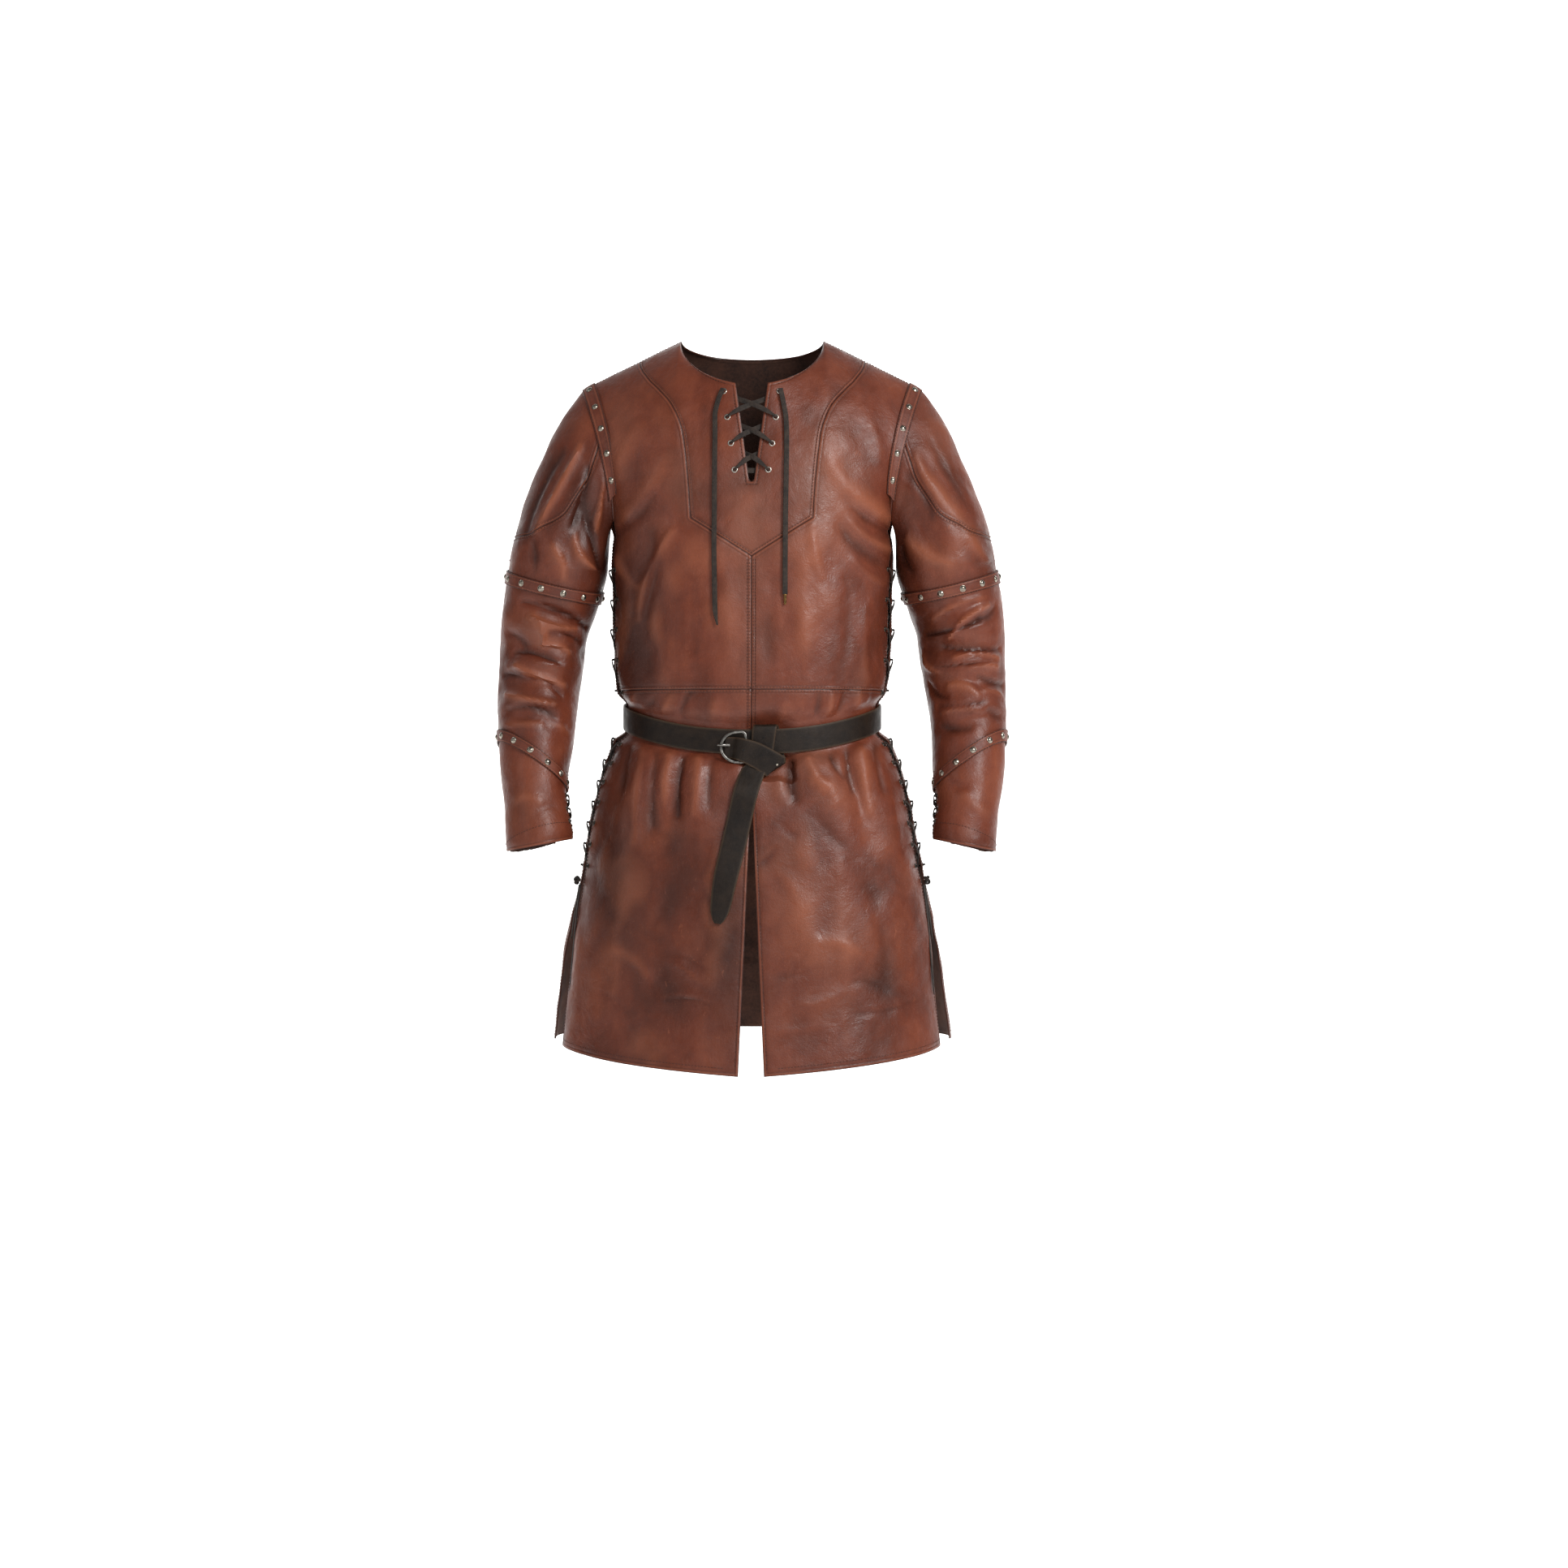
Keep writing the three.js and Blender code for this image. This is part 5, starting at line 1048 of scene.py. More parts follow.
def sweep(stations, profile, closed=False):
    """Points and faces of a solid swept along stations of (middle, across, thick), with a closed profile."""
    middle, across, thick = (np.asarray(part, float) for part in zip(*stations))
    ring = np.asarray(profile, float)
    points = middle[:, None] + across[:, None] * ring[:, :1] + thick[:, None] * ring[:, 1:]
    rows, n = points.shape[:2]
    faces = [
        (r * n + c, r * n + (c + 1) % n, (r + 1) % rows * n + (c + 1) % n, (r + 1) % rows * n + c)
        for r in range(rows if closed else rows - 1)
        for c in range(n)
    ]
    if not closed:
        faces.append(tuple(reversed(range(n))))
        faces.append(tuple((rows - 1) * n + c for c in range(n)))
    return points.reshape(-1, 3), facing_out(points.reshape(-1, 3), faces)


def facing_out(points, faces):
    """The same faces, turned so that the volume inside them is positive."""
    volume = sum(
        np.dot(points[f[0]], np.cross(points[f[k]], points[f[k + 1]]))
        for f in faces
        for k in range(1, len(f) - 1)
    )
    return faces if volume > 0 else [tuple(reversed(f)) for f in faces]


def round_profile(sides, power=1.0):
    """A ring of half size 1: a circle, or with a power below 1 a rounded rectangle."""
    turns = [2 * math.pi * k / sides for k in range(sides)]
    return [(float(signed_power(math.cos(t), power)), float(signed_power(math.sin(t), power))) for t in turns]


STRAP_PROFILE = round_profile(16, 0.4)
LACE_PROFILE = round_profile(10, 0.6)
ROD_PROFILE = round_profile(14)


def flat_stations(points, normals, half_widths, half_thickness):
    """Stations of a strip whose flat face lies on what is under it."""
    along = unit(np.gradient(points, axis=0))
    across = unit(np.cross(along, normals))
    return list(zip(points, across * np.asarray(half_widths)[:, None], normals * half_thickness))


def joined(parts):
    """One mesh's points and faces from several."""
    points, faces, start = [], [], 0
    for part_points, part_faces in parts:
        points.append(part_points)
        faces += [tuple(i + start for i in f) for f in part_faces]
        start += len(part_points)
    return np.concatenate(points), faces


def revolved(profile, sides):
    """A solid turned round +Z from a profile of (radius, height) that starts and ends on the axis."""
    points, faces = [], []
    rings = []
    for radius, height in profile:
        if radius == 0:
            rings.append([len(points)] * sides)
            points.append((0, 0, height))
            continue
        rings.append([len(points) + k for k in range(sides)])
        points += [
            (radius * math.cos(2 * math.pi * k / sides), radius * math.sin(2 * math.pi * k / sides), height)
            for k in range(sides)
        ]
    for low, high in zip(rings, rings[1:]):
        for k in range(sides):
            n = (k + 1) % sides
            corners = [low[k], low[n], high[n], high[k]]
            faces.append(tuple(dict.fromkeys(corners)))
    points = np.array(points, float)
    return points, facing_out(points, faces)


def placed(template, point, normal, along=None):
    """A template stood on a point, its +Z along the normal."""
    z = unit(np.asarray(normal, float))
    hint = np.array([0, 0, 1.0]) if along is None else along
    x = unit(np.cross(hint, z) if along is None else along - z * (along @ z))
    y = np.cross(z, x)
    points, faces = template
    return points @ np.stack([x, y, z]) + point, faces


# ---------------------------------------------------------------- materials


def linear(red, green, blue):
    """A colour as a shader takes it, from 0 to 255 on screen."""
    shares = [channel / 255 for channel in (red, green, blue)]
    return (*[c / 12.92 if c <= 0.04045 else ((c + 0.055) / 1.055) ** 2.4 for c in shares], 1.0)


class Nodes:
    """A short way to build a material's nodes."""

    def __init__(self, name):
        self.material = bpy.data.materials.new(name)
        self.material.use_nodes = True
        self.tree = self.material.node_tree
        self.shader = self.tree.nodes["Principled BSDF"]
        self.place = self.node("ShaderNodeTexCoord").outputs["Object"]

    def node(self, kind, inputs=None, **settings):
        made = self.tree.nodes.new(kind)
        for key, value in settings.items():
            setattr(made, key, value)
        for key, value in (inputs or {}).items():
            self.link(value, made.inputs[key])
        return made

    def link(self, value, socket):
        if isinstance(value, bpy.types.NodeSocket):
            self.tree.links.new(value, socket)
        else:
            socket.default_value = value

    def cells(self, scale, vector=None):
        """Distance from the cells' middles, for grain and ribs."""
        inputs = {"Vector": self.place if vector is None else vector, "Scale": scale}
        return self.node("ShaderNodeTexVoronoi", inputs).outputs["Distance"]

    def scaled(self, x, y, z):
        return self.node("ShaderNodeMapping", {"Vector": self.place, "Scale": (x, y, z)}).outputs["Vector"]

    def noise(self, scale, detail=3.0, roughness=0.55, distortion=0.0, vector=None):
        inputs = {"Scale": scale, "Detail": detail, "Roughness": roughness, "Distortion": distortion}
        inputs["Vector"] = self.place if vector is None else vector
        return self.node("ShaderNodeTexNoise", inputs).outputs["Fac"]

    def math(self, operation, a, b=0.0):
        return self.node("ShaderNodeMath", {0: a, 1: b}, operation=operation).outputs[0]

    def mixed(self, *parts):
        """A sum of values, each with its weight."""
        total = None
        for value, weight in parts:
            part = self.math("MULTIPLY", value, weight)
            total = part if total is None else self.math("ADD", total, part)
        return total

    def spread(self, value, low, high, to_low=0.0, to_high=1.0):
        inputs = {"Value": value, "From Min": low, "From Max": high, "To Min": to_low, "To Max": to_high}
        return self.node("ShaderNodeMapRange", inputs).outputs["Result"]

    def blend(self, factor, a, b):
        made = self.node("ShaderNodeMix", data_type="RGBA")
        for socket, value in ((made.inputs[0], factor), (made.inputs[6], a), (made.inputs[7], b)):
            self.link(value, socket)
        return made.outputs[2]

    def attribute(self, name):
        return self.node("ShaderNodeAttribute", attribute_name=name).outputs["Fac"]

    def bump(self, height, distance, strength=1.0, over=None):
        inputs = {"Height": height, "Distance": distance, "Strength": strength}
        if over is not None:
            inputs["Normal"] = over
        return self.node("ShaderNodeBump", inputs).outputs["Normal"]

    def finish(self, **inputs):
        for key, value in inputs.items():
            self.link(value, self.shader.inputs[key.replace("_", " ")])
        return self.material


def leather_material(name, dark, mid, light, roughness, crumple):
    """Oiled leather: clouds and streaks; paler on ridges, from wear and a painted highlight; painted shade in
    troughs; painted shade and painted highlight in clouds; darker along edges; a painted highlight along
    rolled edges.
    """
    n = Nodes(name)
    wear_and_highlight, painted_sheen = LEATHER_WEAR_AND_HIGHLIGHT, LEATHER_PAINTED_SHEEN
    clouds = n.noise(5.2, 4.0, 0.6, 0.5)
    mottle = n.noise(24, 6.0, 0.65, 0.6)
    streaks = n.noise(1.0, 5.0, 0.6, 0.3, n.scaled(34, 34, 6))
    tone = n.mixed((clouds, 0.52), (mottle, 0.26), (streaks, 0.22))
    colour = n.blend(n.spread(tone, 0.4, 0.5, 0.6), dark, mid)
    colour = n.blend(n.spread(tone, 0.5, 0.62), colour, light)
    painted_light = n.attribute("painted_light")
    # Painted shade where the clouds' value is below 0, and a painted highlight in a painted sheen colour
    # where it is above.
    colour = n.blend(n.spread(painted_light, 0.0, -1.0, 0.0, 0.9), colour, dark)
    colour = n.blend(n.spread(painted_light, 0.0, 1.0, 0.0, 0.8), colour, painted_sheen)
    relief = n.attribute("relief")
    # Paler on ridges: wear on high points, and a painted highlight.
    colour = n.blend(n.spread(relief, 0.5, 4.4, 0.0, 0.6), colour, wear_and_highlight)
    # Painted shade in the troughs of creases.
    colour = n.blend(n.spread(relief, -0.5, -4.4, 0.0, 0.78), colour, dark)
    edge = n.attribute("edge")
    colour = n.blend(n.spread(edge, 1.5, 0.2, 0.0, 0.7), colour, dark)
    colour = n.blend(n.spread(edge, 18.0, 3.0, 0.0, 0.2), colour, dark)
    # A painted highlight along the rolled edge, about 2 mm in from each edge and seam.
    rolled_edge_highlight = n.math("ABSOLUTE", n.math("SUBTRACT", edge, 2.1))
    colour = n.blend(n.spread(rolled_edge_highlight, 0.9, 0.1, 0.0, 0.4), colour, wear_and_highlight)
    line = n.math("ABSOLUTE", n.math("SUBTRACT", edge, STITCH_LINE["inset"]))
    colour = n.blend(n.spread(line, 1.0, 0.2, 0.0, 0.25), colour, dark)
    scratches = n.noise(1.0, 3.0, 0.7, 1.5, n.scaled(160, 160, 60))
    colour = n.blend(n.spread(scratches, 0.64, 0.74, 0.0, 0.3), colour, wear_and_highlight)
    grain = n.cells(620.0)
    normal = n.bump(n.noise(34, 5.0, 0.6, 0.4), 0.0032, crumple)
    normal = n.bump(n.noise(130, 4.0, 0.6), 0.0008, 0.5, normal)
    normal = n.bump(grain, 0.00035, 0.35, normal)
    rough = n.spread(n.noise(60, 5.0, 0.7, 0.5), 0.3, 0.7, roughness - 0.1, roughness + 0.14)
    return n.finish(Base_Color=colour, Roughness=rough, Normal=normal, Specular_IOR_Level=0.42)


LEATHER_DARK = linear(52, 22, 13)
LEATHER_MID = linear(112, 53, 34)
LEATHER_LIGHT = linear(132, 68, 45)
# A paler colour for wear and scratches, also laid on as a painted highlight on ridges and rolled edges.
LEATHER_WEAR_AND_HIGHLIGHT = linear(160, 92, 64)
# The colour of the painted sheen in the clouds of painted highlight.
LEATHER_PAINTED_SHEEN = linear(156, 98, 76)
LEATHER_FACE = leather_material("leather", LEATHER_DARK, LEATHER_MID, LEATHER_LIGHT, 0.4, 0.5)


def suede_material():
    n = Nodes("leather_back")
    nap = n.noise(210, 6.0, 0.7)
    tone = n.noise(14, 4.0, 0.6)
    colour = n.blend(n.spread(tone, 0.35, 0.65), linear(44, 24, 17), linear(78, 46, 32))
    colour = n.blend(n.spread(nap, 0.4, 0.7, 0.0, 0.35), colour, linear(96, 60, 44))
    return n.finish(Base_Color=colour, Roughness=0.92, Normal=n.bump(nap, 0.0006, 0.5))


LEATHER_BACK = suede_material()


def strap_material():
    n = Nodes("strap")
    tone = n.mixed((n.noise(26, 5.0, 0.65, 0.5), 0.6), (n.noise(90, 4.0), 0.4))
    colour = n.blend(n.spread(tone, 0.38, 0.62), linear(21, 13, 8), linear(38, 27, 18))
    edge = n.attribute("edge")
    colour = n.blend(n.spread(edge, 0.8, 1.0, 0.0, 0.55), colour, linear(88, 68, 50))
    fibre = n.noise(1.0, 4.0, 0.6, 0.0, n.scaled(90, 90, 420))
    normal = n.bump(n.noise(170, 5.0, 0.6), 0.0007, 0.5)
    normal = n.bump(fibre, 0.0003, 0.4, normal)
    rough = n.spread(n.noise(70, 4.0, 0.6), 0.3, 0.7, 0.42, 0.62)
    return n.finish(Base_Color=colour, Roughness=rough, Normal=normal, Specular_IOR_Level=0.28)


def lace_material():
    n = Nodes("lace")
    tone = n.noise(120, 5.0, 0.6)
    colour = n.blend(n.spread(tone, 0.35, 0.65), linear(30, 23, 19), linear(56, 44, 36))
    rib = n.cells(1500.0, n.scaled(1, 1, 0.45))
    normal = n.bump(rib, 0.0004, 0.7, n.bump(tone, 0.0004, 0.4))
    return n.finish(Base_Color=colour, Roughness=0.78, Normal=normal)


def metal_material(name, dark, light, roughness):
    n = Nodes(name)
    tone = n.noise(260, 5.0, 0.65)
    colour = n.blend(n.spread(tone, 0.35, 0.65), dark, light)
    rough = n.spread(n.noise(420, 4.0), 0.3, 0.7, roughness - 0.08, roughness + 0.12)
    return n.finish(Base_Color=colour, Roughness=rough, Metallic=1.0, Normal=n.bump(tone, 0.0001, 0.25))


def thread_material():
    n = Nodes("thread")
    twist = n.noise(1800, 2.0)
    colour = n.blend(n.spread(twist, 0.35, 0.65), linear(56, 28, 19), linear(92, 50, 35))
    return n.finish(Base_Color=colour, Roughness=0.7, Normal=n.bump(twist, 0.0001, 0.4))


STRAP = strap_material()
LACE = lace_material()
NICKEL = metal_material("nickel", linear(128, 120, 108), linear(190, 182, 168), 0.24)
NECK_NICKEL = metal_material("neck_nickel", linear(156, 149, 138), linear(216, 210, 200), 0.26)
# A darker copy of the nickel: painted shade for the eyelets at the sides and inside the cuffs.
SHADED_NICKEL = metal_material("shaded_nickel", linear(58, 53, 47), linear(98, 91, 82), 0.34)
PEWTER = metal_material("pewter", linear(96, 94, 90), linear(150, 147, 142), 0.34)
BRASS = metal_material("brass", linear(96, 72, 44), linear(158, 124, 78), 0.34)
THREAD = thread_material()

# ---------------------------------------------------------------- cords: the laces' free ends

# The middle lines of the neck lace's two ends in the front view, in metres. They hang from the top eyelets.
NECK_END_ROUTES = {
    "left": [
        (0.0365, -0.075),
        (0.041, -0.096),
        (0.0445, -0.118),
        (0.045, -0.141),
        (0.0445, -0.185),
        (0.0435, -0.24),
        (0.043, -0.295),
        (0.043, -0.345),
    ],
    "right": [
        (-0.0365, -0.075),
        (-0.043, -0.092),
        (-0.047, -0.112),
        (-0.047, -0.16),
        (-0.0475, -0.215),
        (-0.0475, -0.27),
        (-0.047, -0.325),
        (-0.046, -0.362),
        (-0.043, -0.384),
    ],
}
# The side laces' two ends on each side: share of the front sheet's half width, and height, in metres.
SIDE_END_ROUTES = {
    1: [(1.031, -0.7186), (0.998, -0.76), (0.972, -0.8), (0.955, -0.858)],
    2: [(1.057, -0.7186), (1.046, -0.745), (1.03, -0.79)],
}
END_STEP = 4.0
SIDE_END_LIFT = {1: 1.1, 2: 1.7}


def lace_height(lace):
    return EYELET_THICKNESS + SEAM_GAP + lace["clear"] + lace["thickness"] / 2


def tapered(count, length, tip=0.35):
    """Shares of the full width along a lace end that narrows over its last stretch."""
    return np.clip((count - 1 - np.arange(count)) / max(length, 1) + tip, tip, 1)


def free_end(name, node, points, normals, lace, taper):
    """A lace's free end: a flat cord along points in millimetres."""
    halves = lace["width"] / 2 * (tapered(len(points), 7) if taper else np.ones(len(points)))
    solid = sweep(flat_stations(points, normals, halves, lace["thickness"] / 2), LACE_PROFILE)
    piece = to_object(name, *solid, [LACE], "lace")
    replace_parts(piece, node)
    return piece


AGLET_PROFILE = [
    (0, 0.3),
    (2.2, 0.3),
    (2.5, -0.4),
    (2.2, -1.2),
    (2.1, -6),
    (1.9, -11),
    (1.4, -12.8),
    (0, -13.2),
]
AGLET_PINCH = (0.95, 0.72, 1)


def aglet(point):
    """The metal tip of the neck lace's left end: a pinched tube with a rolled rim."""
    points, faces = revolved(AGLET_PROFILE, 16)
    points = points * AGLET_PINCH + point
    piece = to_object("aglet", points + np.array([0, 0, -SEAM_GAP]), faces, [BRASS], "metal")
    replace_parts(piece, "neck_lace_aglet")
    return piece


def hang_on_front(x, z, lift):
    """Points off the front's leather at x, z in the front view, and its normals."""
    s, v = on_front(x, z)
    points, normals, _ = SURFACES["front"](s, v)
    return points + normals * lift, normals


for side, route in NECK_END_ROUTES.items():
    rows = [{"x": x / MM, "z": z / MM} for x, z in route]
    z = np.arange(rows[0]["z"], rows[-1]["z"] - 0.1, -END_STEP)
    lift = lace_height(NECK_LACE) + SEAM_GAP + NECK_LACE["thickness"] / 2
    points, normals = hang_on_front(curve_of(rows, "z", "x")(z), z, lift)
    tip = [aglet(points[-1])] if side == "left" else []
    free_end(
        f"lace_end_{side}",
        f"neck_lace_end_{side}",
        points,
        normals,
        NECK_LACE,
        side == "right",
    )


def side_place(share, level, lift, sign):
    """A place on the front sheet's side edge, or just past it, below the armpits."""
    v = (level - ARMPIT_HEIGHT) / (ARMPIT_HEIGHT - HEM_HEIGHT)
    normal = sheet_normal(np.minimum(share, 1), v, False)
    return (sheet_point(share, v, False) + normal * lift) * (sign, 1, 1), normal * (sign, 1, 1)


SIDES = {"left": 1, "right": -1}
for side, sign in SIDES.items():
    for number, route in SIDE_END_ROUTES.items():
        rows = [{"share": share, "level": z / MM} for share, z in route]
        levels = np.arange(rows[0]["level"], rows[-1]["level"] - 0.1, -END_STEP)
        shares = curve_of(rows, "level", "share")(levels)
        points, normals = side_place(shares, levels, SIDE_END_LIFT[number], sign)
        name = f"side_lace_end_{number}_{side}"
        free_end(f"hanging_{name}", name, points, normals, SIDE_LACE, True)

# ---------------------------------------------------------------- panels of the body

# The flat cut of each piece that shows: width and length of the piece of hide, and its area.
CUTS = {
    "yoke": (0.34, 0.31, 0.05),
    "chest": (0.24, 0.46, 0.073),
    "skirt_front": (0.28, 0.52, 0.126),
    "back": (0.5, 0.51, 0.228),
    "skirt_back": (0.76, 0.47, 0.31),
    "shoulder_cap": (0.32, 0.21, 0.0375),
    "sleeve_upper": (0.4, 0.22, 0.0438),
    "sleeve_lower": (0.4, 0.26, 0.0873),
    "sleeve_cuff": (0.3, 0.15, 0.0325),
    "armhole_band": (0.02, 0.335, None),
    "elbow_band": (0.019, 0.41, None),
    "forearm_band": (0.019, 0.3, None),
}


def cut_of(node):
    stem = node.removesuffix("_left").removesuffix("_right")
    width, length, area = CUTS[stem]
    return {"flat": (width, length), "area": area}


GRID = 3.7  # spacing of a panel's grid
BODY_LENGTH = ARMPIT_HEIGHT - HEM_HEIGHT
HEAD_LENGTH = {False: 290, True: 330}  # from the armpits' level over the shoulder, along the leather
HALF_ARC = {False: 235, True: 275}


def sheet_patch(is_back, low_v, high_v):
    """A grid over part of the front or back sheet. Rows crowd towards the neckline, where it turns in."""
    columns = np.linspace(-1, 1, 2 * round(HALF_ARC[is_back] / GRID) + 1)
    lower = np.linspace(-1, 0, round(BODY_LENGTH / GRID) + 1)
    upper = 1 - (1 - np.linspace(0, 1, round(HEAD_LENGTH[is_back] / GRID) + 1)[1:]) ** 1.5
    rows = np.concatenate([lower, upper])
    rows = rows[(rows >= low_v - 0.02) & (rows <= high_v + 0.02)]
    patch = Patch(columns, rows)
    if is_back:
        patch.faces = [tuple(reversed(face)) for face in patch.faces]
    return patch


def front_point(s, v):
    return sheet_point(s, v, False)


def back_point(s, v):
    return sheet_point(s, v, True)


def in_yoke(x, z):
    return outline_distance(yoke_outline, x, z)


def out_of_yoke(x, z):
    return -in_yoke(x, z)


def beside_neck_slit(x, z):
    return np.maximum(np.abs(x) - neck_slit_half(z), NECK_SLIT["bottom"] - z)


def above_waist(_, z):
    return z - WAIST_SEAM_HEIGHT


def below_waist(_, z):
    return WAIST_SEAM_HEIGHT - z


def of_side(sign):
    return lambda x, z: sign * x - front_slit_half(z) * (z < FRONT_SLIT["top"])


# Each grid reaches past the seam at which it is cut.
bodice_from = (WAIST_SEAM_HEIGHT + 60 - ARMPIT_HEIGHT) / BODY_LENGTH - 0.17
skirt_to = (WAIST_SEAM_HEIGHT + 30 - ARMPIT_HEIGHT) / BODY_LENGTH
yoke_from = (-300 - ARMPIT_HEIGHT) / BODY_LENGTH
front_sides = [to_edge(front_point, 0, 1.0), to_edge(front_point, 0, -1.0)]
front_top = to_edge(front_point, 1, 1.0)
front_hem = to_edge(front_point, 1, -1.0)

panel(
    "leather_yoke",
    "yoke",
    sheet_patch(False, yoke_from, 1),
    SURFACES["front"],
    [in_view(in_yoke), in_view(beside_neck_slit)],
    [front_top],
    **cut_of("yoke"),
)
for side, sign in SIDES.items():
    panel(
        f"leather_chest_{side}",
        f"chest_{side}",
        sheet_patch(False, bodice_from, 1),
        SURFACES["front"],
        [in_view(out_of_yoke), in_view(above_waist), in_view(of_side(sign))],
        [*front_sides, front_top],
        hangs_from=["leather_yoke"],
        **cut_of("chest"),
    )
    panel(
        f"leather_skirt_front_{side}",
        f"skirt_front_{side}",
        sheet_patch(False, -1, skirt_to),
        SURFACES["front"],
        [in_view(below_waist), in_view(of_side(sign))],
        [*front_sides, front_hem],
        hangs_from=[f"leather_chest_{side}"],
        **cut_of("skirt_front"),
    )


back_sides = [to_edge(back_point, 0, 1.0), to_edge(back_point, 0, -1.0)]
panel(
    "leather_back",
    "back",
    sheet_patch(True, bodice_from, 1),
    SURFACES["back"],
    [in_view(above_waist, True)],
    [*back_sides, to_edge(back_point, 1, 1.0)],
    hangs_from=["leather_yoke"],
    **cut_of("back"),
)
panel(
    "leather_skirt_back",
    "skirt_back",
    sheet_patch(True, -1, skirt_to),
    SURFACES["back"],
    [in_view(below_waist, True)],
    [*back_sides, to_edge(back_point, 1, -1.0)],
    hangs_from=["leather_back"],
    **cut_of("skirt_back"),
)

# ---------------------------------------------------------------- panels of the sleeves

SLEEVE_COLUMNS = 100
HEAD_ROWS = 74
LOWER_ROWS = 62
CUFF_ROWS = 34
CUFF_COLUMNS = 88
HEAD_START = 0.004  # the row at which the sleeve's head begins, just off the armhole
SLEEVE_SEAM = 0.0018  # half a seam's gap and roll, in rows
slit_angle = math.degrees(CUFF_LACING["half_slit"] / float(arm_at["half_depth"](row_height(1.9))))


def between(surface, start, end):
    """A surface over (around, share) from one over (around, row), between two seams."""

    def at(around, share):
        return surface(around, lerp(start(around), end(around), share))

    return at


def elbow_row(around):
    return np.full_like(np.asarray(around, float), ELBOW_BAND["row"])


def forearm_row(around):
    return band_row(FOREARM_BAND, around)


def row_of(value):
    return lambda around: np.full_like(np.asarray(around, float), value)


for side, sign in SIDES.items():
    surface = SURFACES[side]
    turns = np.linspace(0, 360, SLEEVE_COLUMNS + 1)
    head = between(surface, row_of(HEAD_START), lambda a: elbow_row(a) - SLEEVE_SEAM)
    head_base = between(sleeve_point, row_of(HEAD_START), lambda a: elbow_row(a) - SLEEVE_SEAM)

    def cap_field(around, share, base=head_base):
        p = base(around, share)
        return outline_distance(cap_outline, p[..., 0], p[..., 2])

    def upper_field(around, share, field=cap_field):
        return -field(around, share)

    ends = [to_edge(head_base, 1, 0.0), to_edge(head_base, 1, 1.0)]
    for node, field in (("shoulder_cap", cap_field), ("sleeve_upper", upper_field)):
        panel(
            f"leather_{node}_{side}",
            f"{node}_{side}",
            Patch(turns, np.linspace(0, 1, HEAD_ROWS + 1)),
            head,
            [field],
            ends,
            mirror=sign < 0,
            hangs_from=[f"leather_chest_{side}"],
            **cut_of(node),
        )
    lower_span = (lambda a: elbow_row(a) + SLEEVE_SEAM, lambda a: forearm_row(a) - SLEEVE_SEAM)
    lower_base = between(sleeve_point, *lower_span)
    panel(
        f"leather_sleeve_lower_{side}",
        f"sleeve_lower_{side}",
        Patch(turns, np.linspace(0, 1, LOWER_ROWS + 1)),
        between(surface, *lower_span),
        [],
        [to_edge(lower_base, 1, 0.0), to_edge(lower_base, 1, 1.0)],
        mirror=sign < 0,
        hangs_from=[f"leather_sleeve_upper_{side}"],
        **cut_of("sleeve_lower"),
    )
    cuff_span = (lambda a: forearm_row(a) + SLEEVE_SEAM, row_of(2.0))
    cuff_base = between(sleeve_point, *cuff_span)
    cuff_turns = np.linspace(-180 + slit_angle, 180 - slit_angle, CUFF_COLUMNS)
    panel(
        f"leather_sleeve_cuff_{side}",
        f"sleeve_cuff_{side}",
        Patch(cuff_turns, np.linspace(0, 1, CUFF_ROWS + 1)),
        between(surface, *cuff_span),
        [],
        [to_edge(cuff_base, 1, 0.0), to_edge(cuff_base, 1, 1.0)]
        + [to_edge(cuff_base, 0, float(cuff_turns[k])) for k in (0, -1)],
        mirror=sign < 0,
        hangs_from=[f"leather_sleeve_lower_{side}"],
        **cut_of("sleeve_cuff"),
    )

# ---------------------------------------------------------------- studded bands

BAND = {"thickness": 1.6, "lift": 0.9, "edge": 0.8, "stitch": 0.86}
BAND_SHARES = [-1, -0.96, -0.88, -0.8, -0.5, 0, 0.5, 0.8, 0.88, 0.96, 1]
RIVET_PROFILE = [
    (0, 2.3),
    (1.3, 2.2),
    (2.5, 1.75),
    (3.4, 1.0),
    (3.9, 0.3),
    (4.3, 0.2),
    (4.35, -0.2),
    (0, -0.5),
]
RIVET = revolved(RIVET_PROFILE, 18)


